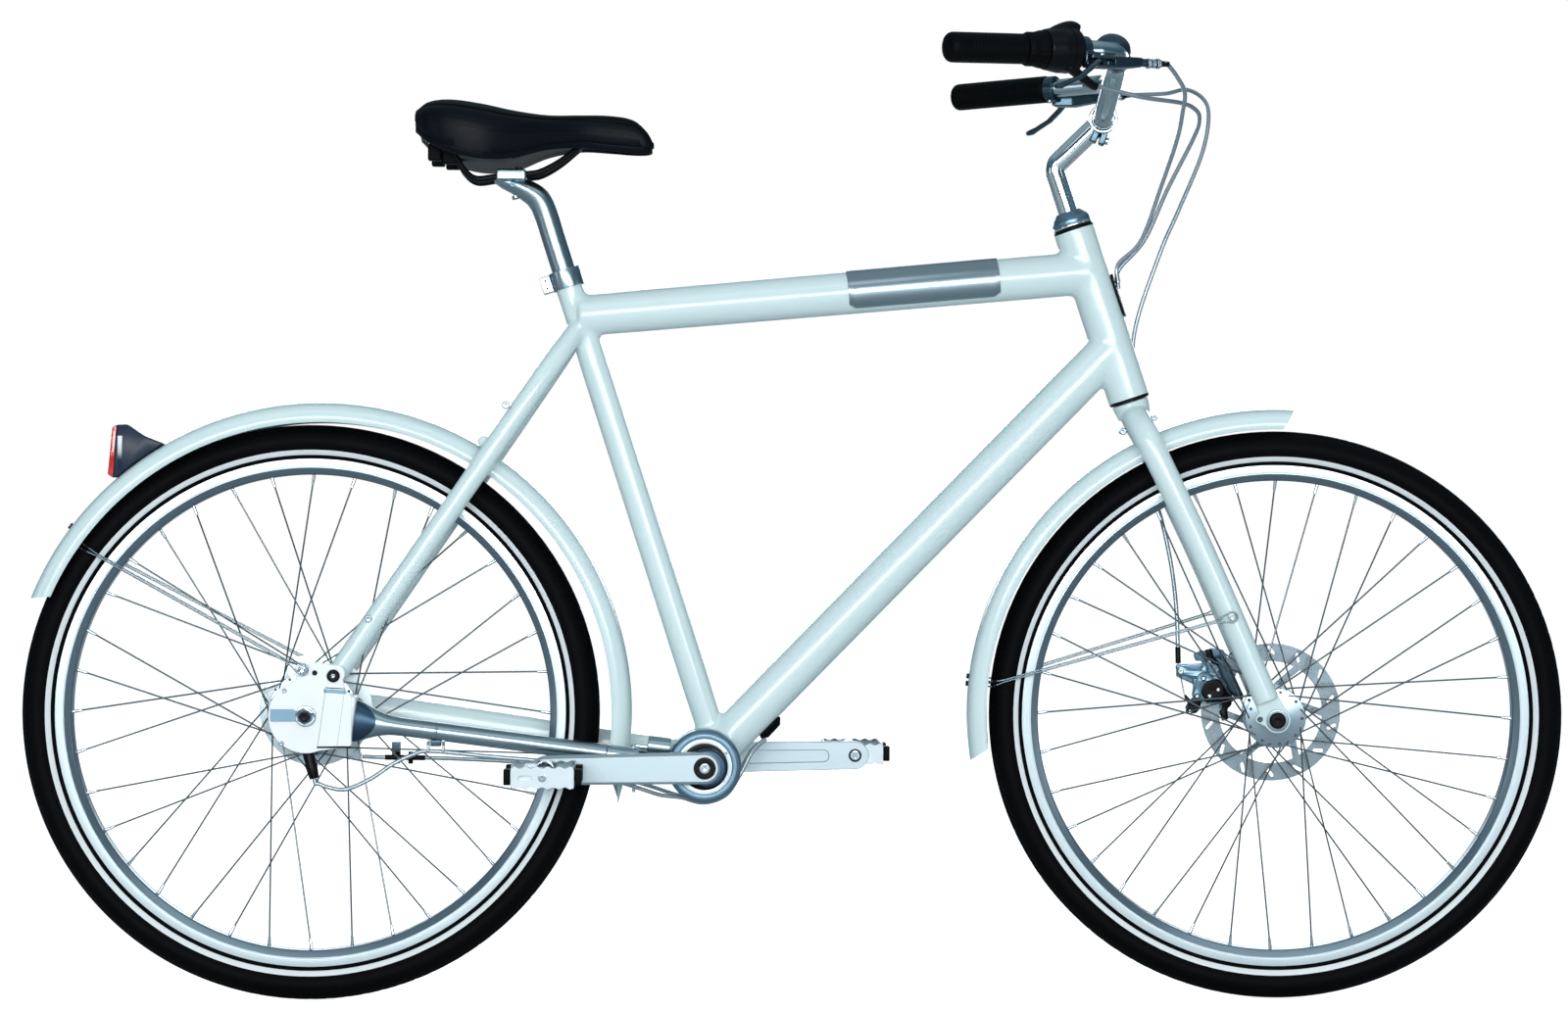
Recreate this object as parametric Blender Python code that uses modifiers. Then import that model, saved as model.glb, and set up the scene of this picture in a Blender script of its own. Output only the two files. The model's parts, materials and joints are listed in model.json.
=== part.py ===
"""City bike with a closed shaft drive, a disc brake in front and a hub brake behind.

Metres. +X points forward, +Y to the rider's left and +Z up. The origin is on the ground, midway between
the wheel axles. The steering is modelled straight ahead and then turned by STEER_TURN about its axis.
"""

import math

import bmesh
import bpy
from mathutils import Matrix, Vector

# Clearances
GAP = 0.0003
WELD = 0.000002

# Wheels
WHEELBASE = 1.100
RIM_RADIUS = 0.288
TYRE_HEIGHT = 0.0385
TYRE_RADIUS = RIM_RADIUS + TYRE_HEIGHT
TYRE_WIDTH = 0.047
RIM_WIDTH = 0.028
RIM_DEPTH = 0.018
RIM_BED_WIDTH = 0.016
WHEEL_STEPS = 40
TYRE_POINTS = 5
HUB_STEPS = 16
SPOKES_PER_SIDE = 18
SPOKE_CROSSINGS = 3
SPOKE_RADIUS = 0.0010
SPOKE_RIM_OFFSET = 0.0035
FLANGE_THICKNESS = 0.0035
LACE_OFFSET = 0.0022
AXLE_RADIUS = 0.005

FRONT_FLANGE_RADIUS = 0.0343
FRONT_HOLE_CIRCLE = 0.0300
FRONT_FLANGE_RIGHT = 0.0315
FRONT_FLANGE_LEFT = 0.0235
FRONT_BARREL_RADIUS = 0.0150
FRONT_DROPOUT_INNER = 0.0500
FORK_DROPOUT_THICKNESS = 0.0080
ROTOR_RADIUS = 0.080
ROTOR_THICKNESS = 0.0020
ROTOR_SIDE = 0.0365
ROTOR_BAND = 0.0205
ROTOR_ARMS = 6
ROTOR_SLOTS = 14
ROTOR_STEPS = 28
ROTOR_SPIGOT_RADIUS = 0.0170

REAR_FLANGE_RADIUS = 0.0475
REAR_HOLE_CIRCLE = 0.0445
REAR_FLANGE_SIDE = 0.0290
REAR_BARREL_RADIUS = 0.0350
BRAKE_DISC_RADIUS = 0.0645
BRAKE_DISC_SIDE = 0.0405
BRAKE_DISC_THICKNESS = 0.002
HUB_GEAR_FACE = 0.0345

# Frame
BRACKET_AHEAD = 0.445
BRACKET_DROP = 0.0565
BRACKET_SHELL_RADIUS = 0.0380
BRACKET_SHELL_RIGHT = 0.0300
BRACKET_SHELL_LEFT = 0.0400
HEAD_ANGLE = math.radians(71.5)
FORK_OFFSET = 0.0445
CROWN_RISE = 0.0488
HEAD_LENGTH = 0.203
HEAD_TUBE_RADIUS = 0.0235
SEAT_ANGLE = math.radians(72.0)
SEAT_TUBE_AHEAD = 0.020
SEAT_TUBE_LENGTH = 0.5895
SEAT_TUBE_RADIUS = 0.0155
TOP_TUBE_BELOW_COLLAR = 0.0540
TOP_TUBE_DROP = 0.051
TOP_TUBE_REAR_RADIUS = 0.0232
TOP_TUBE_FRONT_RADIUS = 0.0246
DOWN_TUBE_RISE = 0.062
DOWN_TUBE_RADIUS = 0.0240
STAY_BELOW_COLLAR = 0.0655
STAY_RADIUS = 0.0118
STAY_FOOT_AHEAD = 0.0335
STAY_FOOT_RISE = 0.0475
RIGHT_STAY_FOOT = 0.0530
LEFT_STAY_FOOT = 0.0585
STAY_BULGE_SIDE = 0.0440
CHAINSTAY_HEIGHT = 0.040
CHAINSTAY_WIDTH = 0.018
DROPOUT_THICKNESS = 0.006
CUP_SKIRT_RADIUS = 0.0180
CUP_FLANGE = 0.0035
BEARING_RADIUS = 0.0150
BRIDGE_RADIUS = 0.006
STAY_BRIDGE_LEAD = math.radians(2.2)
TUBE_SIDES = 16
PLATE_SHARES = (0.526, 0.822)
PORT_TOP_DROP = 0.061
PORT_FOOT_DROP = 0.112
PORT_WALL = 0.0028
BOOT_START = 0.068
BOOT_END = 0.096

# Seat
POST_RADIUS = 0.0136
POST_INSERTION = 0.170
POST_SHOWN = 0.072
POST_TRAVEL = 0.060
CLAMP_HEIGHT = 0.0210
CLAMP_WALL = 0.0025
SADDLE_LENGTH = 0.266
SADDLE_WIDTH = 0.176
SADDLE_DEPTH = 0.072
SADDLE_RISE = 0.1026
SADDLE_BEHIND = 0.1062
SADDLE_SHARES = (0.0, 0.05, 0.14, 0.27, 0.41, 0.55, 0.69, 0.82, 0.92, 0.98, 1.0)
PAD_SHARE = 0.52
RAIL_RADIUS = 0.0035
RAIL_HALF_GAP = 0.022
RAIL_SLOPE = 0.10
POST_HEAD_RADIUS = 0.0125
POST_HEAD_UP = 0.0306
POST_HEAD_BACK = 0.0296

# Steering
STEER_TURN = math.radians(-6.76)
STEERER_RADIUS = 0.0143
STEERER_BORE = 0.0116
CAP_HEIGHT = 0.0225
QUILL_RADIUS = 0.0111
QUILL_SHOWN = 0.054
QUILL_INSERTION = 0.070
STEM_REACH_AHEAD = 0.0560
STEM_REACH_UP = 0.0540
STEM_RADIUS = 0.0115
BAR_CLAMP_RADIUS = 0.0127
BAR_CLAMP_WIDTH = 0.040
BAR_RADIUS = 0.0111
BAR_HALF_WIDTH = 0.285
BAR_SWEEP = math.radians(60.0)
BAR_STRAIGHT = 0.183
BAR_BACK = 0.1713
BAR_RISE = 0.0527
GRIP_RADIUS = 0.0163
GRIP_LENGTH = 0.128
SHORT_GRIP_LENGTH = 0.091
TWIST_LENGTH = 0.024
SHIFTER_LENGTH = 0.042
SHIFTER_RADIUS = 0.0250
LEVER_CLAMP_WIDTH = 0.012
LEVER_ROOT = 0.0060
LEVER_PIVOT_OUT = 0.0255
LEVER_PIVOT_IN = 0.010
LEVER_LEVEL = -0.0145
LEVER_PIN_RADIUS = 0.0020
BARREL_END = 0.092
BLADE_TOP_RADIUS = 0.0158
BLADE_FOOT_RADIUS = 0.0140
BLADE_SIDE = 0.0512
CROWN_SIDE = 0.0455
CALIPER_TURN = math.radians(159)
CALIPER_REACH = 0.0715
CALIPER_INNER = 0.0115
CALIPER_OUTER = 0.0160

# Mudguards
GUARD_CLEARANCE = 0.0255
GUARD_RADIUS = TYRE_RADIUS + GUARD_CLEARANCE
GUARD_WIDTH = 0.057
GUARD_DEPTH = 0.0215
GUARD_WALL = 0.0014
GUARD_STEPS = 18
GUARD_POINTS = 7
GUARD_SLANT = 0.46
REAR_GUARD_AHEAD = 0.011
REAR_GUARD_TAIL = math.radians(158.6)
REAR_GUARD_FOOT = math.radians(-16.8)
FRONT_GUARD_NOSE = math.radians(87.0)
FRONT_GUARD_TAIL = math.radians(189.0)
STAY_WIRE_RADIUS = 0.0016
LIGHT_WIDTH = 0.040
STAY_SPREAD = math.radians(1.2)
REAR_STAY_TURN = math.radians(145)
FRONT_STAY_TURN = math.radians(174)
FRONT_EYE_SIDE = 0.0665
FRONT_EYE_UP = 0.128
FRONT_EYE_AHEAD = 0.0315

# Drive
SHAFT_SIDE = 0.047
SHAFT_TUBE_RADIUS = 0.0102
SHAFT_BORE = 0.0066
SHAFT_RADIUS = 0.0060
SHAFT_CONE_RADIUS = 0.0236
SHAFT_CONE_HALF_WIDTH = 0.0135
SHAFT_CONE_LENGTH = 0.058
SOCKET_END = 0.1115
CASE_FRONT = 0.0530
COVER_RADIUS = 0.0260
HOUSING_RADIUS = 0.0415
HOUSING_INNER_SIDE = 0.0303
HOUSING_OUTER_SIDE = 0.0610
HOUSING_WALL = 0.0030
CASE_RADIUS = 0.0415
CASE_OUTER_SIDE = 0.0725
CROWN_GEAR_RADIUS = 0.0280
CROWN_GEAR_TEETH = 28
PINION_TEETH = 10
HUB_GEAR_TEETH = 20
CRANK_LENGTH = 0.178
CRANK_INNER_SIDE = 0.0680
CRANK_THICKNESS = 0.0140
CRANK_HEIGHT = 0.033
CRANK_HEAD_RADIUS = 0.0210
CRANK_AXLE_RADIUS = 0.0085
CRANK_TILT = math.radians(1.0)
PEDAL_LENGTH = 0.085
PEDAL_WIDTH = 0.088
PEDAL_HEIGHT = 0.025
SPINDLE_RADIUS = 0.0045

# Cables
CABLE_RADIUS = 0.0025

# Places worked out from the driving dimensions
UPRIGHT = Matrix.Rotation(math.radians(90), 4, "X")
REAR_AXLE = Vector((-WHEELBASE / 2, 0, TYRE_RADIUS))
FRONT_AXLE = Vector((WHEELBASE / 2, 0, TYRE_RADIUS))
BRACKET = REAR_AXLE + Vector((BRACKET_AHEAD, 0, -BRACKET_DROP))
STEER_UP = Vector((-math.cos(HEAD_ANGLE), 0, math.sin(HEAD_ANGLE)))
STEER_AHEAD = Vector((math.sin(HEAD_ANGLE), 0, math.cos(HEAD_ANGLE)))
STEER_FOOT = FRONT_AXLE - FORK_OFFSET * STEER_AHEAD
CROWN_HEIGHT = math.sqrt(GUARD_RADIUS**2 - FORK_OFFSET**2) + CROWN_RISE
SEAT_UP = Vector((-math.cos(SEAT_ANGLE), 0, math.sin(SEAT_ANGLE)))
SEAT_BACK = Vector((-math.sin(SEAT_ANGLE), 0, -math.cos(SEAT_ANGLE)))
RIGHT = -1
LEFT = 1
TOP_TUBE_UP_SEAT = SEAT_TUBE_LENGTH - TOP_TUBE_BELOW_COLLAR
STAY_UP_SEAT = SEAT_TUBE_LENGTH - STAY_BELOW_COLLAR
POST_TOP = BRACKET + Vector((SEAT_TUBE_AHEAD, 0, 0)) + (SEAT_TUBE_LENGTH + POST_SHOWN) * SEAT_UP
CLAMP_CENTRE = POST_TOP + SEAT_UP * POST_HEAD_UP + SEAT_BACK * POST_HEAD_BACK
RAIL_LEVEL = CLAMP_CENTRE.z + POST_HEAD_RADIUS + GAP + RAIL_RADIUS + 0.0015
SADDLE_TOP = CLAMP_CENTRE.z + SADDLE_RISE
SADDLE_REAR = CLAMP_CENTRE.x - SADDLE_BEHIND

PARTS = bpy.data.collections.new("city_bike")
CUTTERS = bpy.data.collections.new("cutters")


def clear_scene():
    for obj in list(bpy.data.objects):
        bpy.data.objects.remove(obj, do_unlink=True)
    for collection in (PARTS, CUTTERS):
        bpy.context.scene.collection.children.link(collection)


def side(distance):
    """A vector along the bike's Y axis."""
    return Vector((0, distance, 0))


def on_steerer(height, ahead=0.0, across=0.0):
    """A point at a height along the steering axis above its foot beside the front axle."""
    return STEER_FOOT + height * STEER_UP + ahead * STEER_AHEAD + side(across)


def on_seat_tube(height, back=0.0, across=0.0):
    return BRACKET + Vector((SEAT_TUBE_AHEAD, 0, 0)) + height * SEAT_UP + back * SEAT_BACK + side(across)


def smooth_route(points, steps):
    """Points on the curve through the given ones, with the same count of steps in each span."""
    ends = [points[0] * 2 - points[1], *points, points[-1] * 2 - points[-2]]
    route = []
    for a, b, c, d in zip(ends, ends[1:], ends[2:], ends[3:]):
        for step in range(steps):
            t = step / steps
            square, cube = 2 * a - 5 * b + 4 * c - d, 3 * b - a - 3 * c + d
            route.append(0.5 * (2 * b + (c - a) * t + square * t**2 + cube * t**3))
    return [*route, points[-1]]


def arc(centre, radius, start, end, count):
    """Points on an arc of a plane outline, both ends included; angles in degrees."""
    turns = [math.radians(start + (end - start) * k / (count - 1)) for k in range(count)]
    return [(centre[0] + radius * math.cos(a), centre[1] + radius * math.sin(a)) for a in turns]


# Materials


def material(name, colour, roughness, metallic=0.0):
    made = bpy.data.materials.new(name)
    made.use_nodes = True
    shader = made.node_tree.nodes["Principled BSDF"]
    shader.inputs["Base Color"].default_value = (*colour, 1.0)
    shader.inputs["Roughness"].default_value = roughness
    shader.inputs["Metallic"].default_value = metallic
    return made


PAINT = ((0.72, 0.83, 0.83), 0.22, 0.0)
SATIN_ALLOY = ((0.42, 0.50, 0.53), 0.35, 0.9)
CHROME = ((0.75, 0.78, 0.80), 0.08, 1.0)
STEEL = ((0.55, 0.57, 0.58), 0.30, 1.0)
WHITE_COVER = ((0.85, 0.89, 0.90), 0.30, 0.0)
BLACK_PLASTIC = ((0.012, 0.013, 0.015), 0.40, 0.0)
BLACK_RUBBER = ((0.010, 0.010, 0.012), 0.70, 0.0)
DARK_ALLOY = ((0.16, 0.22, 0.26), 0.30, 0.8)
RED_LENS = ((0.55, 0.02, 0.02), 0.15, 0.0)
BRAIDED = ((0.45, 0.52, 0.56), 0.40, 0.6)


# Modelling helpers


def keep(obj, finish, smooth_angle=40.0):
    """Puts an object in the part's collection with its own material and smooth round faces."""
    for collection in list(obj.users_collection):
        collection.objects.unlink(obj)
    PARTS.objects.link(obj)
    obj.data.materials.clear()
    obj.data.materials.append(material(obj.name, *finish))
    if obj.type == "MESH" and obj.data.polygons:
        obj.data.shade_smooth()
        obj.data.set_sharp_from_angle(angle=math.radians(smooth_angle))
    return obj


def mesh_object(name, bm, matrix=None):
    mesh = bpy.data.meshes.new(name)
    bm.to_mesh(mesh)
    bm.free()
    obj = bpy.data.objects.new(name, mesh)
    obj.matrix_world = matrix or Matrix()
    PARTS.objects.link(obj)
    return obj


def baked(obj):
    """The welded mesh that an object's curve or modifiers make, in place of the object."""
    bpy.context.view_layer.update()
    graph = bpy.context.evaluated_depsgraph_get()
    mesh = bpy.data.meshes.new_from_object(obj.evaluated_get(graph))
    bm = bmesh.new()
    bm.from_mesh(mesh)
    bmesh.ops.remove_doubles(bm, verts=bm.verts, dist=WELD)
    bmesh.ops.recalc_face_normals(bm, faces=bm.faces)
    bm.to_mesh(mesh)
    bm.free()
    name = obj.name
    made = bpy.data.objects.new(name, mesh)
    made.matrix_world = obj.matrix_world
    bpy.data.objects.remove(obj, do_unlink=True)
    made.name = name
    PARTS.objects.link(made)
    return made


def combine(target, others, operation):
    """Joins the other solids to the target, or cuts them from it."""
    for other in others:
        modifier = target.modifiers.new(other.name, "BOOLEAN")
        modifier.operation = operation
        modifier.solver = "EXACT"
        modifier.object = other
    made = baked(target)
    for other in others:
        bpy.data.objects.remove(other, do_unlink=True)
    return made


def fused(name, solids):
    """One solid made of touching or crossing ones."""
    made = combine(solids[0], [baked(s) for s in solids[1:]], "UNION")
    made.name = name
    return made


def cut(target, cutters):
    cutters = [baked(c) for c in cutters]
    for cutter in cutters:
        PARTS.objects.unlink(cutter)
        CUTTERS.objects.link(cutter)
        cutter.hide_render = True
        cutter.display_type = "WIRE"
    return combine(target, cutters, "DIFFERENCE")


def towards(start, end):
    """The matrix that puts local Z on the line between two points, at its middle."""
    turn = (end - start).to_track_quat("Z", "Y").to_matrix().to_4x4()
    return Matrix.Translation((start + end) / 2) @ turn


def rod(name, start, end, radius, end_radius=None, sides=TUBE_SIDES):
    """A round bar or cone between two points."""
    bm = bmesh.new()
    bmesh.ops.create_cone(
        bm,
        cap_ends=True,
        segments=sides,
        radius1=radius,
        radius2=radius if end_radius is None else end_radius,
        depth=(end - start).length,
    )
    return mesh_object(name, bm, towards(start, end))


def block(name, centre, size, turn=None, bevel=0.0):
    """A box with its edges rounded off by a flat bevel."""
    bm = bmesh.new()
    bmesh.ops.create_cube(bm, size=1.0)
    bmesh.ops.scale(bm, vec=size, verts=bm.verts)
    if bevel:
        bmesh.ops.bevel(bm, geom=bm.edges, offset=bevel, segments=1, affect="EDGES")
    return mesh_object(name, bm, Matrix.Translation(centre) @ (turn or Matrix()))


def turned(name, profile, matrix, steps=TUBE_SIDES, ring=False, angle=2 * math.pi):
    """A profile of radius and height points, down its outer side, turned about local Z."""
    mesh = bpy.data.meshes.new(name)
    edges = [(k, k + 1) for k in range(len(profile) - 1)]
    if ring:
        edges.append((len(profile) - 1, 0))
    mesh.from_pydata([(radius, 0, height) for radius, height in profile], edges, [])
    obj = bpy.data.objects.new(name, mesh)
    obj.matrix_world = matrix
    PARTS.objects.link(obj)
    screw = obj.modifiers.new("turn", "SCREW")
    screw.angle = angle
    screw.steps = steps
    screw.render_steps = steps
    screw.use_merge_vertices = angle == 2 * math.pi
    screw.merge_threshold = WELD
    return obj


def across_axle(centre, distance=0.0):
    """Local Z points to the bike's right side, at a distance to the left of the centre."""
    return Matrix.Translation(centre + side(distance)) @ UPRIGHT


def plate(name, outlines, thickness, matrix):
    """A flat plate from closed outlines, the first its edge and the others its holes."""
    curve = bpy.data.curves.new(name, "CURVE")
    curve.dimensions = "2D"
    curve.fill_mode = "BOTH"
    curve.extrude = thickness / 2
    for outline in outlines:
        spline = curve.splines.new("POLY")
        spline.points.add(len(outline) - 1)
        for point, (x, y) in zip(spline.points, outline):
            point.co = (x, y, 0, 1)
        spline.use_cyclic_u = True
    obj = bpy.data.objects.new(name, curve)
    obj.matrix_world = matrix
    PARTS.objects.link(obj)
    return baked(obj)


def pipe(name, points, radius, radii=None, resolution=2, cyclic=False):
    """A round tube, wire or cable along points; radii gives each point's share of the radius."""
    curve = bpy.data.curves.new(name, "CURVE")
    curve.dimensions = "3D"
    curve.bevel_depth = radius
    curve.bevel_resolution = resolution
    curve.use_fill_caps = True
    spline = curve.splines.new("POLY")
    spline.points.add(len(points) - 1)
    for index, (place, point) in enumerate(zip(points, spline.points)):
        point.co = (*place, 1)
        point.radius = radii[index] / radius if radii else 1.0
    spline.use_cyclic_u = cyclic
    obj = bpy.data.objects.new(name, curve)
    PARTS.objects.link(obj)
    return baked(obj)


def loft(name, rings):
    """A closed skin over rings of points, each ring with the same count."""
    bm = bmesh.new()
    rows = [[bm.verts.new(point) for point in ring] for ring in rings]
    for row, following in zip(rows, rows[1:]):
        for k in range(len(row)):
            j = (k + 1) % len(row)
            bm.faces.new((row[k], row[j], following[j], following[k]))
    bm.faces.new(rows[0])
    bm.faces.new(list(reversed(rows[-1])))
    bmesh.ops.recalc_face_normals(bm, faces=bm.faces)
    return mesh_object(name, bm)


def oval(centre, along, height, width, count=12):
    """A ring of points round an upright oval section, square to the direction along."""
    outward = Vector((0, 0, 1)).cross(along).normalized()
    upward = along.cross(outward).normalized()
    angles = [2 * math.pi * k / count for k in range(count)]
    return [
        centre + outward * (width / 2 * math.cos(a)) + upward * (height / 2 * math.sin(a)) for a in angles
    ]


# Frame


def head_point(height):
    """A point on the steering axis at a height above the head tube's lower end."""
    return on_steerer(CROWN_HEIGHT + height)


def stay_foot(across):
    foot = RIGHT_STAY_FOOT if across == RIGHT else LEFT_STAY_FOOT
    return REAR_AXLE + Vector((STAY_FOOT_AHEAD, foot * across, STAY_FOOT_RISE))


def seat_stay(across):
    """One seat stay, bowed out round the mudguard."""
    top = on_seat_tube(STAY_UP_SEAT, back=0.002, across=0.006 * across)
    foot = stay_foot(across)
    shoulder = top.lerp(foot, 0.12)
    shoulder.y = STAY_BULGE_SIDE * 0.72 * across
    waist = top.lerp(foot, 0.33)
    waist.y = STAY_BULGE_SIDE * across
    return pipe("seat_stay", smooth_route([top, shoulder, waist, foot], 3), STAY_RADIUS, resolution=3)


def chainstay():
    """The left chainstay, an upright oval that bows round the tyre."""
    middle = (REAR_AXLE + BRACKET) / 2
    stations = [
        (BRACKET + Vector((-0.008, 0.022, 0.004)), 0.95, 1.0),
        (BRACKET + Vector((-0.075, 0.0425, 0.010)), 0.95, 1.0),
        (middle + Vector((0, 0.049, 0.003)), 1.0, 1.0),
        (REAR_AXLE + Vector((0.060, 0.0595, -0.004)), 1.05, 0.85),
        (REAR_AXLE + Vector((0.016, 0.0600, -0.001)), 0.80, 0.60),
    ]
    rings = []
    for index, (centre, tall, wide) in enumerate(stations):
        before = stations[max(index - 1, 0)][0]
        after = stations[min(index + 1, len(stations) - 1)][0]
        direction = (after - before).normalized()
        rings.append(oval(centre, direction, CHAINSTAY_HEIGHT * tall, CHAINSTAY_WIDTH * wide))
    return loft("chainstay", rings)


def left_dropout():
    """The plate that holds the axle on the left, under the seat stay's foot."""
    foot = stay_foot(LEFT) - REAR_AXLE
    outline = [
        *arc((0, 0), 0.017, 150, 290, 6),
        (0.030, -0.018),
        (0.042, 0.012),
        *arc((foot.x, foot.z), 0.0115, -20, 130, 5),
    ]
    hole = arc((0, 0), AXLE_RADIUS + GAP, 0, 330, 12)
    place = across_axle(REAR_AXLE, LEFT_STAY_FOOT)
    return plate("left_dropout", [outline, hole], DROPOUT_THICKNESS, place)


def stay_crossing(reach):
    """The angle round the mudguard's centre at which the seat stays come within reach of it."""
    foot, top = stay_foot(RIGHT), on_seat_tube(STAY_UP_SEAT)
    foot.y = 0
    along = (foot - top).normalized()
    start = top - rear_guard_centre()
    nearest = start.dot(along)
    crossing = start - along * (nearest + math.sqrt(nearest**2 - start.length_squared + reach**2))
    return math.atan2(crossing.z, crossing.x)


def stay_bridge():
    """The cross tube between the seat stays, just above the mudguard."""
    reach = GUARD_RADIUS + GAP + BRIDGE_RADIUS
    middle = guard_point(rear_guard_centre(), stay_crossing(reach) + STAY_BRIDGE_LEAD, reach, 0)
    ends = [middle + side(STAY_BULGE_SIDE * across) for across in (RIGHT, LEFT)]
    return rod("stay_bridge", *ends, BRIDGE_RADIUS, sides=12)


def guard_bridge():
    """The bent strip on the left chainstay that holds the rear mudguard's lower end."""
    edge = rear_guard_centre().x + GUARD_RADIUS + GAP
    strip = block("guard_bridge", Vector((edge + 0.0022, 0.014, BRACKET.z + 0.009)), (0.0044, 0.054, 0.018))
    tab = block("tab", Vector((edge + 0.0022, 0, BRACKET.z - 0.008)), (0.0040, 0.020, 0.051))
    return [strip, tab]


def main_frame():
    top_tube_front = head_point(HEAD_LENGTH - TOP_TUBE_DROP)
    tubes = [
        rod("head_tube", head_point(0), head_point(HEAD_LENGTH), HEAD_TUBE_RADIUS),
        rod(
            "top_tube",
            on_seat_tube(TOP_TUBE_UP_SEAT),
            top_tube_front,
            TOP_TUBE_REAR_RADIUS,
            TOP_TUBE_FRONT_RADIUS,
        ),
        rod("down_tube", BRACKET, head_point(DOWN_TUBE_RISE), DOWN_TUBE_RADIUS),
        rod("seat_tube", on_seat_tube(0), on_seat_tube(SEAT_TUBE_LENGTH), SEAT_TUBE_RADIUS),
        rod(
            "bracket_shell",
            BRACKET + side(-BRACKET_SHELL_RIGHT),
            BRACKET + side(BRACKET_SHELL_LEFT),
            BRACKET_SHELL_RADIUS,
            sides=20,
        ),
        chainstay(),
        seat_stay(RIGHT),
        seat_stay(LEFT),
        left_dropout(),
        stay_bridge(),
        *guard_bridge(),
    ]
    frame = fused("main_frame", tubes)
    bore_top = on_seat_tube(SEAT_TUBE_LENGTH + 0.01)
    bore_foot = on_seat_tube(SEAT_TUBE_LENGTH - POST_INSERTION - POST_TRAVEL - 0.004)
    cutters = [
        rod("seat_bore", bore_foot, bore_top, POST_RADIUS + GAP),
        rod("head_bore", head_point(-0.01), head_point(HEAD_LENGTH + 0.01), CUP_SKIRT_RADIUS + GAP),
        rod("bracket_bore", BRACKET + side(-0.06), BRACKET + side(0.06), BEARING_RADIUS),
    ]
    return keep(cut(frame, cutters), PAINT)


def headset_cup(name, seat, outward):
    """A ring pressed in an end of the head tube; its flange shows as a thin dark line."""
    matrix = towards(seat, seat + outward * 0.001)
    matrix.translation = seat
    profile = [
        (STEERER_RADIUS + GAP, GAP + CUP_FLANGE),
        (HEAD_TUBE_RADIUS, GAP + CUP_FLANGE),
        (HEAD_TUBE_RADIUS, GAP),
        (CUP_SKIRT_RADIUS, GAP),
        (CUP_SKIRT_RADIUS, -0.012),
        (STEERER_RADIUS + GAP, -0.012),
    ]
    keep(turned(name, profile, matrix, ring=True), BLACK_PLASTIC)


def curved_plate(name, start, end, radii, wall, first, last, steps=8):
    """A plate bent round a tube, between two angles from the bike's right towards its front or underside."""
    along = (end - start).normalized()
    rightward = side(-1)
    upward = along.cross(rightward)
    basis = Matrix((rightward, upward, along)).transposed().to_4x4()
    matrix = Matrix.Translation(start) @ basis @ Matrix.Rotation(math.radians(first), 4, "Z")
    profile = [(radii[1], (end - start).length), (radii[0], 0)]
    shell = turned(name, profile, matrix, steps=steps, angle=math.radians(last - first))
    thick = shell.modifiers.new("wall", "SOLIDIFY")
    thick.thickness = wall
    thick.offset = 1.0
    return baked(shell)


def frame_fittings():
    headset_cup("lower_headset", head_point(0), -STEER_UP)
    headset_cup("upper_headset", head_point(HEAD_LENGTH), STEER_UP)
    rear = on_seat_tube(TOP_TUBE_UP_SEAT)
    front = head_point(HEAD_LENGTH - TOP_TUBE_DROP)
    radii = []
    for share in PLATE_SHARES:
        tube = TOP_TUBE_REAR_RADIUS + (TOP_TUBE_FRONT_RADIUS - TOP_TUBE_REAR_RADIUS) * share
        radii.append(tube + GAP)
    start, end = [rear.lerp(front, share) for share in PLATE_SHARES]
    keep(curved_plate("top_tube_plate", start, end, radii, 0.0012, -98, 48, steps=12), SATIN_ALLOY)
    low = head_point(HEAD_LENGTH - PORT_FOOT_DROP)
    high = head_point(HEAD_LENGTH - PORT_TOP_DROP)
    radius = HEAD_TUBE_RADIUS + GAP
    keep(curved_plate("cable_port", low, high, (radius, radius), PORT_WALL, 62, 118, steps=5), BLACK_PLASTIC)
    grommet()


def down_tube_under(distance, proud=0.0):
    """A point under the down tube at a distance up it from the bracket."""
    axis = (head_point(DOWN_TUBE_RISE) - BRACKET).normalized()
    below = Vector((axis.z, 0, -axis.x))
    return BRACKET + axis * distance + below * (DOWN_TUBE_RADIUS + proud)


def grommet():
    """The rubber boot where the two rear cables leave the down tube."""
    points = [
        down_tube_under(BOOT_START, -0.002),
        down_tube_under(BOOT_START + 0.006, 0.001),
        down_tube_under(BOOT_END - 0.006, 0.0005),
        down_tube_under(BOOT_END, -0.003),
    ]
    boot = pipe("down_tube_grommet", points, 0.0085, [0.0065, 0.0085, 0.0085, 0.0060])
    hollow = rod("tube_space", BRACKET, head_point(DOWN_TUBE_RISE), DOWN_TUBE_RADIUS + GAP)
    return keep(cut(boot, [hollow]), BLACK_RUBBER)


def boot_exit(across):
    """Where a cable leaves the grommet's lower end."""
    return down_tube_under(BOOT_START + 0.001, 0.0075) + side(0.0045 * across)


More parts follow.
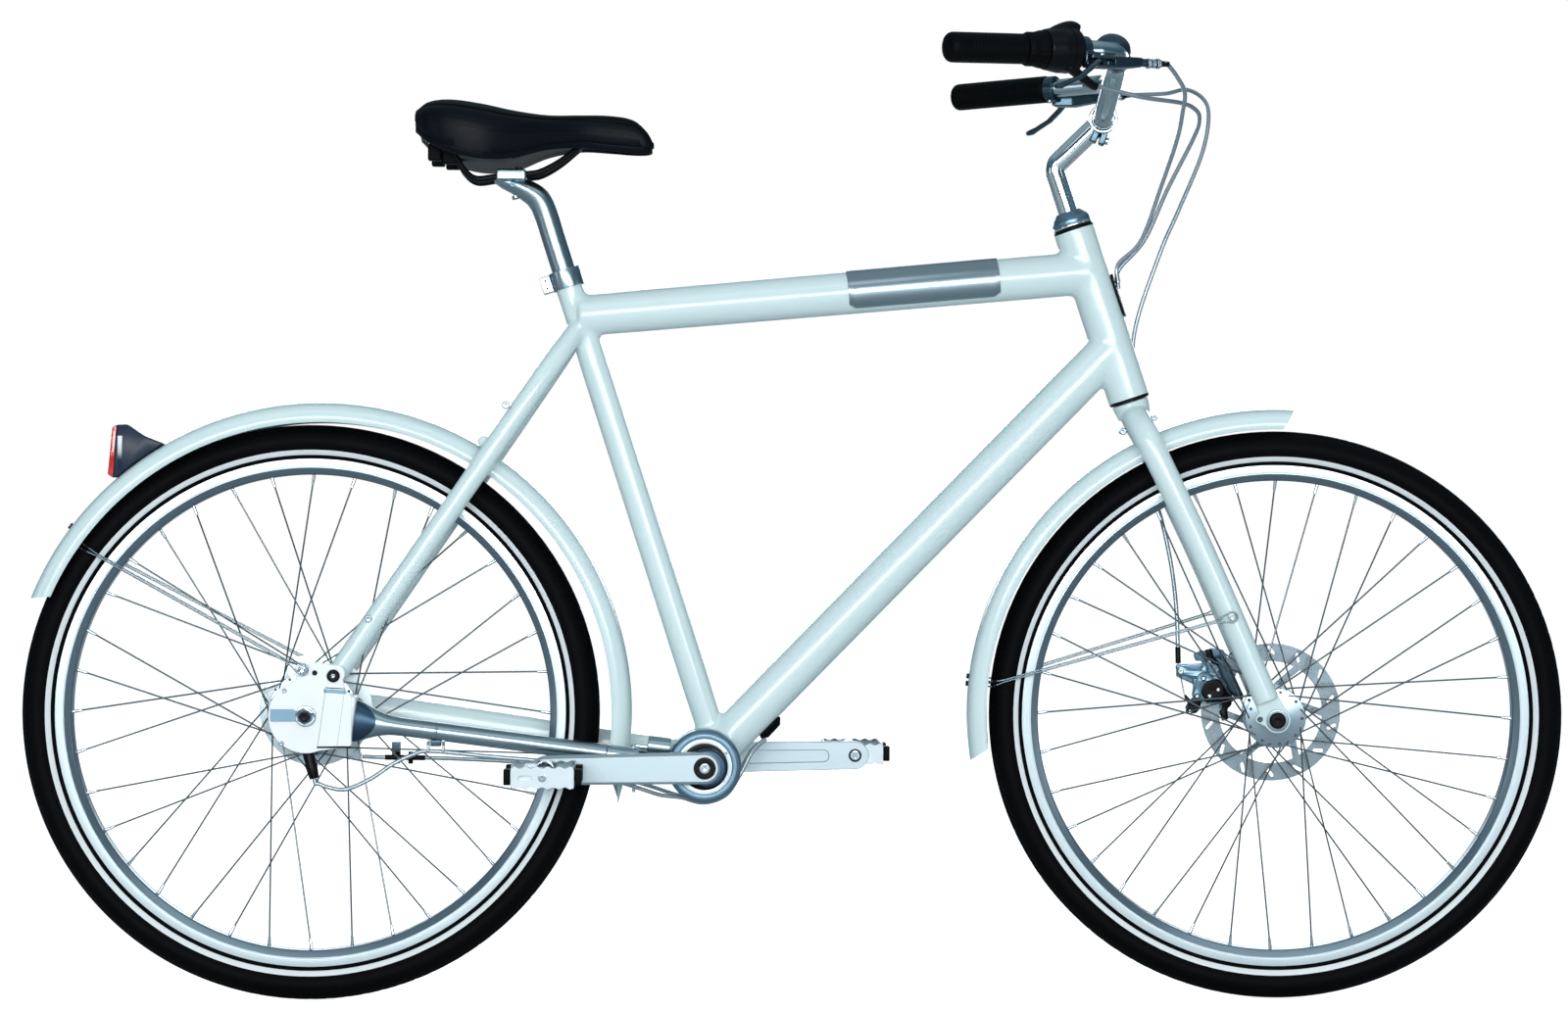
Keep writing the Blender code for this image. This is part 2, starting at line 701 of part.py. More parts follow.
def seat_clamp():
    """A slotted collar round the top of the seat tube, with a two-bolt ear behind it."""
    inner = SEAT_TUBE_RADIUS + GAP
    foot = on_seat_tube(SEAT_TUBE_LENGTH - CLAMP_HEIGHT + 0.001)
    top = on_seat_tube(SEAT_TUBE_LENGTH + 0.001)
    ear_centre = (foot + top) / 2 + SEAT_BACK * (inner + 0.008)
    turn = rolled(SEAT_UP, SEAT_BACK)
    collar = rod("collar", foot, top, inner + CLAMP_WALL)
    ear = block("ear", ear_centre, (0.012, 0.013, CLAMP_HEIGHT * 0.92), turn, bevel=0.0015)
    collar = fused("seat_clamp", [collar, ear])
    bore = rod("bore", foot - SEAT_UP * 0.01, top + SEAT_UP * 0.01, inner)
    slot = block("slot", ear_centre, (0.022, 0.0016, CLAMP_HEIGHT * 1.5), turn)
    return keep(cut(collar, [bore, slot]), SATIN_ALLOY)


def rolled(up, ahead):
    """A turn with local Z along up and local X along ahead."""
    z = up.normalized()
    y = z.cross(ahead).normalized()
    x = y.cross(z)
    return Matrix((x, y, z)).transposed().to_4x4()


# Mudguards


def guard_profile():
    """The mudguard's open cross section, from one edge over the crown to the other."""
    half = GUARD_WIDTH / 2 - GUARD_WALL
    points = []
    for k in range(GUARD_POINTS):
        angle = math.pi / 2 - math.pi * k / (GUARD_POINTS - 1)
        share = math.copysign(abs(math.sin(angle)) ** 0.7, math.sin(angle))
        drop = (1 - abs(math.cos(angle)) ** 0.7) * GUARD_DEPTH
        points.append((GUARD_RADIUS - GUARD_WALL - drop, half * share))
    return points


def rear_guard_centre():
    return REAR_AXLE + Vector((REAR_GUARD_AHEAD, 0, 0))


def slant_cutter(centre, end, sense):
    """A block that trims a mudguard's end on a slant."""
    turn = Matrix.Rotation(math.radians(90), 4, "X") @ Matrix.Rotation(end + sense * GUARD_SLANT, 4, "Z")
    outward = turn.to_3x3() @ Vector((0, sense, 0))
    edge = guard_point(centre, end, GUARD_RADIUS, 0)
    return block("slant", edge + outward * 0.03, (0.12, 0.06, 0.1), turn)


def tongue_cutter(centre):
    """What is cut from the rear mudguard's lower end to leave a narrow tongue."""
    foot = GUARD_RADIUS * math.sin(REAR_GUARD_FOOT)
    reach = GUARD_RADIUS * math.cos(REAR_GUARD_FOOT)
    outline = [
        (reach - 0.060, foot - 0.020),
        (reach - 0.004, foot - 0.020),
        (reach - 0.005, foot + 0.019),
        (reach - 0.012, foot + 0.027),
        (reach - 0.060, foot + 0.052),
    ]
    return plate("tongue", [outline], 0.1, across_axle(centre))


def mudguard(name, centre, nose, tail, cutters):
    """An arched shell round the tyre from angle nose to angle tail."""
    matrix = Matrix.Translation(centre) @ UPRIGHT @ Matrix.Rotation(nose, 4, "Z")
    shell = turned(name, guard_profile(), matrix, steps=GUARD_STEPS, angle=tail - nose)
    wall = shell.modifiers.new("wall", "SOLIDIFY")
    wall.thickness = GUARD_WALL
    wall.offset = 1.0
    wall.use_even_offset = True
    return keep(cut(baked(shell), cutters), PAINT)


def mudguards():
    centre = rear_guard_centre()
    cutters = [slant_cutter(centre, REAR_GUARD_TAIL, 1), tongue_cutter(centre)]
    mudguard("rear_mudguard", centre, REAR_GUARD_FOOT, REAR_GUARD_TAIL, cutters)
    cutters = [slant_cutter(FRONT_AXLE, FRONT_GUARD_NOSE, -1), slant_cutter(FRONT_AXLE, FRONT_GUARD_TAIL, 1)]
    mudguard("front_mudguard", FRONT_AXLE, FRONT_GUARD_NOSE, FRONT_GUARD_TAIL, cutters)


def guard_point(centre, angle, radius, across):
    return centre + Vector((radius * math.cos(angle), across, radius * math.sin(angle)))


def guard_stay(name, centre, eyes, turn):
    """A wire from an eye on one side, up inside the mudguard, over to the other eye and back."""
    crossing = GUARD_RADIUS - GUARD_WALL - 0.0047
    edge = GUARD_RADIUS - GUARD_DEPTH - 0.006
    runs = []
    for across, eye in zip((RIGHT, LEFT), eyes):
        near = (GUARD_WIDTH / 2 - 0.0135) * across
        low = (GUARD_WIDTH / 2 - 0.0045) * across
        outward = guard_point(centre, turn, edge, low) - eye
        outward.y = 0
        outward.normalize()
        upward = Vector((-outward.z, 0, outward.x))
        if upward.dot(Vector((-math.sin(turn), 0, math.cos(turn)))) < 0:
            upward = -upward
        ring = [eye + upward * 0.0045, eye - outward * 0.0045, eye - upward * 0.0045]
        there = [guard_point(centre, turn + STAY_SPREAD, crossing, near)]
        there.append(guard_point(centre, turn + STAY_SPREAD, edge, low))
        back = [guard_point(centre, turn - STAY_SPREAD, edge, low)]
        back.append(guard_point(centre, turn - STAY_SPREAD, crossing, near))
        runs.append(there + ring + back)
    right, left = runs
    return keep(pipe(name, right + left[::-1], STAY_WIRE_RADIUS, resolution=1, cyclic=True), STEEL)


def mudguard_stays():
    rear = REAR_AXLE + Vector((-0.0035, 0, 0.0520))
    right_side = -(CASE_OUTER_SIDE + STAY_WIRE_RADIUS + 0.0020)
    left_side = LEFT_STAY_FOOT + DROPOUT_THICKNESS / 2 + STAY_WIRE_RADIUS + 2 * GAP
    eyes = (rear + side(right_side), rear + side(left_side))
    guard_stay("rear_mudguard_stay", rear_guard_centre(), eyes, REAR_STAY_TURN)
    front = on_steerer(FRONT_EYE_UP, FRONT_EYE_AHEAD)
    eyes = (front + side(-FRONT_EYE_SIDE), front + side(FRONT_EYE_SIDE))
    guard_stay("front_mudguard_stay", FRONT_AXLE, eyes, FRONT_STAY_TURN)


# Saddle and post


def seat_post():
    """A post that bends back under the saddle and carries a round head across it."""
    bend = ((0.288, 0.101), (0.601, 0.280), (0.915, 0.709))
    route = [
        on_seat_tube(SEAT_TUBE_LENGTH - POST_INSERTION),
        POST_TOP,
        *[POST_TOP + SEAT_UP * POST_HEAD_UP * up + SEAT_BACK * POST_HEAD_BACK * back for up, back in bend],
    ]
    radii = [POST_RADIUS * share for share in (1, 1, 0.98, 0.88, 0.66)]
    arm = pipe("arm", route, POST_RADIUS, radii, resolution=6)
    head = rod("head", CLAMP_CENTRE + side(-0.017), CLAMP_CENTRE + side(0.017), POST_HEAD_RADIUS)
    return keep(fused("seat_post", [arm, head]), SATIN_ALLOY)


def rail_route(across):
    """One saddle rail from its socket in the nose to its socket at the back."""
    slope = 0.068 * SADDLE_LENGTH / SADDLE_DEPTH * RAIL_SLOPE
    knots = [
        (0.288, 0.455, 0.479),
        (0.207, 0.773, 0.236),
        (0.128, 1.0, 0.069),
        (0.068, 1.0, slope),
        (-0.068, 1.0, -slope),
        (-0.150, 1.068, -0.056),
        (-0.199, 1.318, 0.069),
        (-0.241, 1.591, 0.312),
    ]
    start = Vector((CLAMP_CENTRE.x, 0, RAIL_LEVEL))
    return [
        start + Vector((SADDLE_LENGTH * x, RAIL_HALF_GAP * y * across, SADDLE_DEPTH * z)) for x, y, z in knots
    ]


def rail_wire(spare=0.0):
    """Both rails as one bent wire that bows under the nose; its ends may run on by a spare length."""
    points = smooth_route(rail_route(RIGHT)[::-1], 2) + smooth_route(rail_route(LEFT), 2)
    points[0] += (points[0] - points[1]).normalized() * spare
    points[-1] += (points[-1] - points[-2]).normalized() * spare
    return points


def saddle_rails():
    return keep(pipe("saddle_rails", rail_wire(), RAIL_RADIUS, resolution=1), BLACK_PLASTIC)


def saddle_clamp():
    """The clamp that grips both rails on top of the post head."""
    centre = Vector((CLAMP_CENTRE.x, 0, RAIL_LEVEL))
    half = RAIL_HALF_GAP + RAIL_RADIUS + 0.004
    body = block("saddle_clamp", centre + Vector((0, 0, 0.0005)), (0.034, 2 * half, 0.0130), bevel=0.002)
    reach = Vector((0.05, 0, 0.05 * RAIL_SLOPE))
    cutters = []
    for across in (RIGHT, LEFT):
        rail = centre + side(RAIL_HALF_GAP * across)
        cutters.append(rod("groove", rail - reach, rail + reach, RAIL_RADIUS + 3 * GAP, sides=8))
    cutters.append(rod("seat", CLAMP_CENTRE + side(-0.05), CLAMP_CENTRE + side(0.05), POST_HEAD_RADIUS + GAP))
    return keep(cut(body, cutters), SATIN_ALLOY)


def saddle_station(share):
    """Half width, top and underside of the saddle at a share of its length from the back."""
    knots = [
        (0.00, 0.625, -0.167, -0.556),
        (0.05, 0.841, -0.042, -0.722),
        (0.14, 0.977, 0.000, -0.889),
        (0.27, 1.000, -0.056, -1.000),
        (0.41, 0.841, -0.153, -0.972),
        (0.55, 0.568, -0.208, -0.806),
        (0.69, 0.352, -0.194, -0.736),
        (0.82, 0.261, -0.194, -0.764),
        (0.92, 0.239, -0.264, -0.792),
        (0.98, 0.205, -0.458, -0.792),
        (1.00, 0.125, -0.597, -0.778),
    ]
    for (s0, *low), (s1, *high) in zip(knots, knots[1:]):
        if share <= s1:
            blend = (share - s0) / (s1 - s0)
            break
    half, top, under = [a + (b - a) * blend for a, b in zip(low, high)]
    return half * SADDLE_WIDTH / 2, top * SADDLE_DEPTH, under * SADDLE_DEPTH


def saddle_section(share, upper):
    """A ring of points: the padded crown above the parting line, or the shell below it."""
    half, top, under = saddle_station(share)
    parting = top + (under - top) * PAD_SHARE
    bulge = parting + (under - parting) * 0.45
    hollow = under + 0.055 * SADDLE_DEPTH
    if upper:
        points = []
        for k in range(13):
            angle = math.pi * k / 12
            across = math.copysign(abs(math.cos(angle)) ** 0.8, math.cos(angle))
            rise = math.sin(angle) ** 0.75
            points.append((half * across, parting + GAP + (top - parting - GAP) * rise))
        points += [(-half * 0.45, parting + GAP), (half * 0.45, parting + GAP)]
    else:
        right = [(0.97, parting), (0.90, bulge), (0.62, under), (0.20, hollow)]
        points = [(half * 0.45, parting), (-half * 0.45, parting)]
        points += [(-half * y, z) for y, z in right]
        points += [(half * y, z) for y, z in reversed(right)]
    x = SADDLE_REAR + SADDLE_LENGTH * share
    return [Vector((x, y, SADDLE_TOP + z)) for y, z in points]


def saddle():
    keep(loft("saddle_cover", [saddle_section(s, True) for s in SADDLE_SHARES]), BLACK_PLASTIC, 60)
    base = loft("saddle_base", [saddle_section(s, False) for s in SADDLE_SHARES])
    pocket = pipe("pocket", rail_wire(0.001), RAIL_RADIUS + 2 * GAP, resolution=1)
    keep(cut(base, [pocket]), BLACK_PLASTIC)


# Wheels


def tyre(name, axle):
    """A tyre that sits on the rim's edges."""
    section_centre = RIM_RADIUS + (TYRE_RADIUS - RIM_RADIUS) * 0.52
    height = TYRE_RADIUS - section_centre
    profile = [(RIM_RADIUS + GAP, RIM_WIDTH * 0.44)]
    for k in range(TYRE_POINTS):
        angle = math.radians(105 - 210 * k / (TYRE_POINTS - 1))
        profile.append((section_centre + height * math.cos(angle), TYRE_WIDTH / 2 * math.sin(angle)))
    profile.append((RIM_RADIUS + GAP, -RIM_WIDTH * 0.44))
    return keep(turned(name, profile, across_axle(axle), WHEEL_STEPS, ring=True), BLACK_RUBBER)


def rim(name, axle):
    inner = RIM_RADIUS - RIM_DEPTH
    wall_foot = RIM_RADIUS - RIM_DEPTH * 0.56
    half = RIM_WIDTH / 2
    bed = RIM_BED_WIDTH / 2
    right = [(RIM_RADIUS, half), (wall_foot, half), (inner, bed)]
    profile = [(radius, -distance) for radius, distance in right] + right[::-1]
    return keep(turned(name, profile, across_axle(axle), WHEEL_STEPS, ring=True), SATIN_ALLOY)


def spokes(axle, hole_circle, right_flange, left_flange):
    """All spokes of a wheel: each pair of neighbours leans opposite ways and crosses others three times."""
    pitch = 2 * math.pi / SPOKES_PER_SIDE
    lean = SPOKE_CROSSINGS * pitch
    end_radius = (RIM_RADIUS - RIM_DEPTH) * math.cos(math.pi / WHEEL_STEPS) - 2 * GAP
    bm = bmesh.new()
    for across, flange in ((RIGHT, right_flange), (LEFT, left_flange)):
        for k in range(SPOKES_PER_SIDE):
            at_rim = pitch * (k + (0.5 if across == LEFT else 0.0))
            leading = k % 2 == 0
            at_hub = at_rim + (lean if leading else -lean)
            lace = LACE_OFFSET if leading else -LACE_OFFSET
            start = guard_point(axle, at_hub, hole_circle, (flange + lace) * across)
            end = guard_point(axle, at_rim, end_radius, SPOKE_RIM_OFFSET * across)
            bmesh.ops.create_cone(
                bm,
                cap_ends=True,
                segments=3,
                radius1=SPOKE_RADIUS,
                radius2=SPOKE_RADIUS,
                depth=(end - start).length,
                matrix=towards(start, end),
            )
    return mesh_object("spokes", bm)


def front_hub():
    """The front hub: a barrel between two flanges, with a spigot for the brake rotor on the left."""
    bore = AXLE_RADIUS + GAP
    right = FRONT_FLANGE_RIGHT
    left = -FRONT_FLANGE_LEFT
    half = FLANGE_THICKNESS / 2
    end = FRONT_DROPOUT_INNER - 2 * GAP
    rotor_face = -(ROTOR_SIDE - ROTOR_THICKNESS / 2 - GAP)
    neck = 0.0115
    profile = [
        (bore, end),
        (neck, end),
        (neck, right + 0.006),
        (FRONT_FLANGE_RADIUS, right + half),
        (FRONT_FLANGE_RADIUS, right - half),
        (FRONT_BARREL_RADIUS, right - 0.010),
        (FRONT_BARREL_RADIUS, left + 0.008),
        (FRONT_FLANGE_RADIUS, left + half),
        (FRONT_FLANGE_RADIUS, left - half),
        (ROTOR_SPIGOT_RADIUS + 0.006, left - half - 0.001),
        (ROTOR_SPIGOT_RADIUS + 0.006, rotor_face),
        (ROTOR_SPIGOT_RADIUS, rotor_face),
        (ROTOR_SPIGOT_RADIUS, rotor_face - 0.006),
        (neck, rotor_face - 0.006),
        (neck, -end),
        (bore, -end),
    ]
    shell = baked(turned("shell", profile, across_axle(FRONT_AXLE), HUB_STEPS, ring=True))
    web = spokes(FRONT_AXLE, FRONT_HOLE_CIRCLE, FRONT_FLANGE_RIGHT, FRONT_FLANGE_LEFT)
    return keep(fused("front_hub", [shell, web]), STEEL)


def rear_hub():
    """The rear gear hub: a wide barrel between large flanges."""
    bore = AXLE_RADIUS + GAP
    flange = REAR_FLANGE_SIDE
    half = FLANGE_THICKNESS / 2
    disc_face = -(BRAKE_DISC_SIDE - BRAKE_DISC_THICKNESS / 2 - GAP)
    profile = [
        (bore, HUB_GEAR_FACE),
        (0.0200, HUB_GEAR_FACE),
        (REAR_FLANGE_RADIUS, flange + half),
        (REAR_FLANGE_RADIUS, flange - half),
        (REAR_BARREL_RADIUS, flange - half - 0.003),
        (REAR_BARREL_RADIUS, -flange + half + 0.003),
        (REAR_FLANGE_RADIUS, -flange + half),
        (REAR_FLANGE_RADIUS, -flange - half),
        (0.0300, -flange - half - 0.0005),
        (0.0300, disc_face),
        (bore, disc_face),
    ]
    shell = baked(turned("shell", profile, across_axle(REAR_AXLE), HUB_STEPS, ring=True))
    web = spokes(REAR_AXLE, REAR_HOLE_CIRCLE, REAR_FLANGE_SIDE, REAR_FLANGE_SIDE)
    return keep(fused("rear_hub", [shell, web]), STEEL)


def brake_rotor():
    """The slotted disc: a band on slanted arms, with slots that sweep the pads."""
    outer = arc((0, 0), ROTOR_RADIUS, 0, 360 - 360 / ROTOR_STEPS, ROTOR_STEPS)
    bore = arc((0, 0), ROTOR_SPIGOT_RADIUS + GAP, 0, 360 - 360 / HUB_STEPS, HUB_STEPS)
    holes = []
    pitch = 360 / ROTOR_ARMS
    for k in range(ROTOR_ARMS):
        rim_side = arc((0, 0), ROTOR_RADIUS - ROTOR_BAND, k * pitch + 4, (k + 1) * pitch - 4, 5)
        hub_side = arc((0, 0), ROTOR_SPIGOT_RADIUS + 0.009, (k + 1) * pitch + 18, k * pitch + 42, 2)
        holes.append(rim_side + hub_side)
    for k in range(ROTOR_SLOTS):
        middle = math.radians(360 / ROTOR_SLOTS * (k + 0.5))
        tilt = middle + math.radians(38)
        radius = ROTOR_RADIUS - ROTOR_BAND * (0.38 if k % 2 else 0.46)
        centre = Vector((math.cos(middle), math.sin(middle))) * radius
        along = Vector((math.cos(tilt), math.sin(tilt))) * 0.0058
        wide = Vector((-along.y, along.x)) * 0.36
        corners = (along + wide, along - wide, -along - wide, -along + wide)
        holes.append([tuple(centre + corner) for corner in corners])
    disc = plate("brake_rotor", [outer, bore, *holes], ROTOR_THICKNESS, across_axle(FRONT_AXLE, ROTOR_SIDE))
    return keep(disc, STEEL)


def rear_brake_disc():
    """The hub brake's cooling disc, which turns with the wheel."""
    near = -BRAKE_DISC_SIDE + BRAKE_DISC_THICKNESS / 2
    far = -BRAKE_DISC_SIDE - BRAKE_DISC_THICKNESS / 2
    profile = [(BRAKE_DISC_RADIUS, near - 0.0003), (BRAKE_DISC_RADIUS, far), (0.0200, far), (0.0200, near)]
    return keep(turned("rear_brake_disc", profile, across_axle(REAR_AXLE), 24, ring=True), STEEL)


def hex_nut(axle, near, far, width):
    return rod("nut", axle + side(near), axle + side(far), width / math.sqrt(3), sides=6)


def axles():
    """The front and rear axles, each fused with its nuts."""
    end = FRONT_DROPOUT_INNER + FORK_DROPOUT_THICKNESS + 2 * GAP
    spindle = rod("spindle", FRONT_AXLE + side(-end), FRONT_AXLE + side(end), AXLE_RADIUS)
    heads = [
        rod("head", FRONT_AXLE + side(s * (end - 0.0002)), FRONT_AXLE + side(s * (end + 0.007)), 0.0093)
        for s in (RIGHT, LEFT)
    ]
    keep(fused("front_axle", [spindle, *heads]), BLACK_PLASTIC)
    right_face = CASE_OUTER_SIDE + GAP
    left_face = LEFT_STAY_FOOT + DROPOUT_THICKNESS / 2 + GAP
    start = REAR_AXLE + side(-right_face - 0.013)
    spindle = rod("spindle", start, REAR_AXLE + side(left_face + 0.013), AXLE_RADIUS)
    right_nut = hex_nut(REAR_AXLE, -right_face - 0.0020, -right_face - 0.0095, 0.0155)
    left_nut = hex_nut(REAR_AXLE, left_face, left_face + 0.008, 0.0155)
    outline = [
        (-0.0385, 0.0075),
        (-0.0385, -0.0055),
        (-0.012, -0.0055),
        *arc((0, 0), 0.0115, -150, 150, 9),
        (-0.012, 0.0075),
    ]
    washer = plate("washer", [outline], 0.0026, across_axle(REAR_AXLE, -right_face - 0.0013))
    keep(fused("rear_axle", [spindle, right_nut, left_nut, washer]), STEEL)


# Shaft drive


def shaft_axis():
    """Where the shaft's axis meets the crank axle, and its direction towards the back."""
    start = BRACKET + side(-SHAFT_SIDE)
    return start, (REAR_AXLE - BRACKET).normalized()


def on_shaft(distance):
    start, back = shaft_axis()
    return start + back * distance


def shaft_length():
    return (REAR_AXLE - BRACKET).length


def bracket_housing():
    """The round housing of the front bevel gears, with the socket that the shaft tube plugs into."""
    inner, outer, wall = HOUSING_INNER_SIDE, HOUSING_OUTER_SIDE, HOUSING_WALL
    opening = COVER_RADIUS + GAP
    profile = [
        (opening, outer),
        (HOUSING_RADIUS - 0.004, outer),
        (HOUSING_RADIUS, outer - 0.004),
        (HOUSING_RADIUS, inner),
        (HOUSING_RADIUS - wall, inner),
        (HOUSING_RADIUS - wall, outer - wall),
        (opening, outer - wall),
    ]
    cup = baked(turned("cup", profile, across_axle(BRACKET), 24, ring=True))
    start = HOUSING_RADIUS - wall
    socket = rod("socket", on_shaft(start), on_shaft(SOCKET_END), SHAFT_TUBE_RADIUS)
    lift = Vector((0, 0, 0.0125))
    neck = rod("neck", on_shaft(start) + lift, on_shaft(HOUSING_RADIUS + 0.0230) + lift, 0.0115)
    cup = fused("bracket_housing", [cup, socket, neck])
    bore = rod("bore", on_shaft(start - wall), on_shaft(SOCKET_END + 0.01), SHAFT_BORE, sides=12)
    keep(cut(cup, [bore]), SATIN_ALLOY)
    seal = [
        (CRANK_AXLE_RADIUS + GAP, outer + 0.0015),
        (COVER_RADIUS, outer + 0.0015),
        (COVER_RADIUS, outer - wall),
        (CRANK_AXLE_RADIUS + GAP, outer - wall),
    ]
    keep(turned("bracket_cover", seal, across_axle(BRACKET), 24, ring=True), BLACK_PLASTIC)


def along_shaft():
    """Local Z runs along the shaft towards the front wheel, with its zero on the crank axle."""
    start, back = shaft_axis()
    matrix = (-back).to_track_quat("Z", "Y").to_matrix().to_4x4()
    matrix.translation = start
    return matrix


def shaft_tube():
    """The tube over the drive shaft, which flares up and down where it meets the gear case."""
    rear = shaft_length() - CASE_FRONT - GAP
    back = shaft_axis()[1]
    flare = [(0.0, 0.0), (0.28, 0.05), (0.50, 0.24), (0.67, 0.50), (0.81, 0.76), (0.92, 0.94), (1.0, 1.0)]
    rings = [oval(on_shaft(SOCKET_END + GAP), back, 2 * SHAFT_TUBE_RADIUS, 2 * SHAFT_TUBE_RADIUS, 16)]
    for along, share in flare:
        centre = on_shaft(rear - SHAFT_CONE_LENGTH * (1 - along))
        tall = SHAFT_TUBE_RADIUS + (SHAFT_CONE_RADIUS - SHAFT_TUBE_RADIUS) * share
        wide = SHAFT_TUBE_RADIUS + (SHAFT_CONE_HALF_WIDTH - SHAFT_TUBE_RADIUS) * share
        rings.append(oval(centre, back, 2 * tall, 2 * wide, 16))
    bore = rod("bore", on_shaft(SOCKET_END - 0.01), on_shaft(rear + 0.01), SHAFT_BORE, sides=12)
    return keep(cut(loft("shaft_tube", rings), [bore]), SATIN_ALLOY)


def hub_boot(below=0.0):
    """A point on the axis of the boot under the gear case, measured below its mouth."""
    mouth = REAR_AXLE + Vector((0.0090, -0.060, -CASE_RADIUS - 0.0290))
    return mouth + Vector((0.24, 0, -0.97)) * below


def gear_case():
    """The white rear case: a drum open to the hub, an outer plate and the block that takes the shaft."""
    outer = CASE_OUTER_SIDE
    drum_radius = CASE_RADIUS - 0.0025
    open_side = HUB_GEAR_FACE + 0.001
    ends = (REAR_AXLE + side(-open_side), REAR_AXLE + side(-(outer - 0.002)))
    drum = rod("drum", *ends, drum_radius, sides=20)
    foot = stay_foot(RIGHT) - REAR_AXLE
    outline = [
        *arc((0, 0), CASE_RADIUS, 285, 105, 15),
        *arc((-0.002, 0.0525), 0.0092, 165, 60, 4),
        *arc((foot.x, foot.z), 0.0100, 100, -40, 5),
        (0.0450, 0.0280),
        (0.0510, 0.0240),
        (0.0510, -0.0340),
        (0.0160, -0.0385),
    ]
    face = plate("face", [outline[::-1]], 0.0062, across_axle(REAR_AXLE, -(outer - 0.0031)))
    back = shaft_axis()[1]
    height, depth = 0.058, outer - 0.001 - open_side
    centre = on_shaft(shaft_length() - CASE_FRONT + 0.018)
    centre.y = -(open_side + depth / 2)
    body = block("body", centre, (0.036, depth, height), rolled(Vector((back.z, 0, -back.x)), -back), 0.004)
    boot = rod("boot", hub_boot(-0.036), hub_boot(), 0.0070, 0.0050, sides=12)
    case = fused("gear_case", [drum, face, body, boot])
    cavity_start = REAR_AXLE + side(-open_side + 0.01)
    cavity = rod("cavity", cavity_start, REAR_AXLE + side(-(outer - 0.009)), drum_radius - 0.003, sides=20)
    axle_hole = rod("hole", REAR_AXLE + side(-0.03), REAR_AXLE + side(-0.09), AXLE_RADIUS + GAP)
    hole_start = on_shaft(shaft_length() - CASE_FRONT - 0.02)
    shaft_hole = rod("shaft_hole", hole_start, on_shaft(shaft_length() - 0.01), 0.0105, sides=12)
    return keep(cut(case, [cavity, axle_hole, shaft_hole]), WHITE_COVER)


def pinion_radius():
    return CROWN_GEAR_RADIUS * PINION_TEETH / CROWN_GEAR_TEETH


def hub_gear_radius():
    return pinion_radius() * HUB_GEAR_TEETH / PINION_TEETH


def drive_shaft():
    """The shaft with a bevel pinion at each end."""
    big, small = pinion_radius() * 0.92, pinion_radius() * 0.62
    front = CROWN_GEAR_RADIUS + 0.003
    rear = shaft_length() - hub_gear_radius() - 0.003
    profile = [
        (0.0, -CROWN_GEAR_RADIUS * 0.72),
        (small, -CROWN_GEAR_RADIUS * 0.72),
        (big, -front),
        (SHAFT_RADIUS, -front - 0.003),
        (SHAFT_RADIUS, -rear + 0.003),
        (big, -rear),
        (small, -shaft_length() + hub_gear_radius() * 0.72),
        (0.0, -shaft_length() + hub_gear_radius() * 0.72),
    ]
    return keep(turned("drive_shaft", profile, along_shaft(), 12), STEEL)


def hub_gear():
    """The driven bevel gear on the rear hub, outboard of the shaft."""
    plane = SHAFT_SIDE + pinion_radius() + 0.0008
    radius = hub_gear_radius()
    sleeve = 0.0095
    profile = [
        (AXLE_RADIUS + GAP, plane + 0.004),
        (radius * 0.8, plane + 0.004),
        (radius, plane),
        (sleeve, plane),
        (sleeve, HUB_GEAR_FACE + GAP),
        (AXLE_RADIUS + GAP, HUB_GEAR_FACE + GAP),
    ]
    return keep(turned("rear_drive_gear", profile, across_axle(REAR_AXLE), 20, ring=True), STEEL)


def crank_axle():
    """The crank axle with the driving bevel gear, inboard of the shaft."""
    plane = SHAFT_SIDE - pinion_radius() - 0.0008
    end = CRANK_INNER_SIDE + CRANK_THICKNESS - 0.001
    r = CRANK_AXLE_RADIUS
    profile = [
        (0.0, end),
        (r, end),
        (r, plane + 0.0005),
        (CROWN_GEAR_RADIUS, plane),
        (0.018, HOUSING_INNER_SIDE + 0.001),
        (r + 0.002, HOUSING_INNER_SIDE + 0.0005),
        (r, HOUSING_INNER_SIDE - 0.003),
        (r, -end),
        (0.0, -end),
    ]
    return keep(turned("crank_axle", profile, across_axle(BRACKET), 20), STEEL)


def crank_direction(across):
    """The unit vector from the crank axle to a pedal: the right one points back."""
    angle = CRANK_TILT + (math.pi if across == RIGHT else 0)
    return Vector((math.cos(angle), 0, math.sin(angle)))


def pedal_centre(across):
    return BRACKET + crank_direction(across) * CRANK_LENGTH + side(CRANK_INNER_SIDE * across)


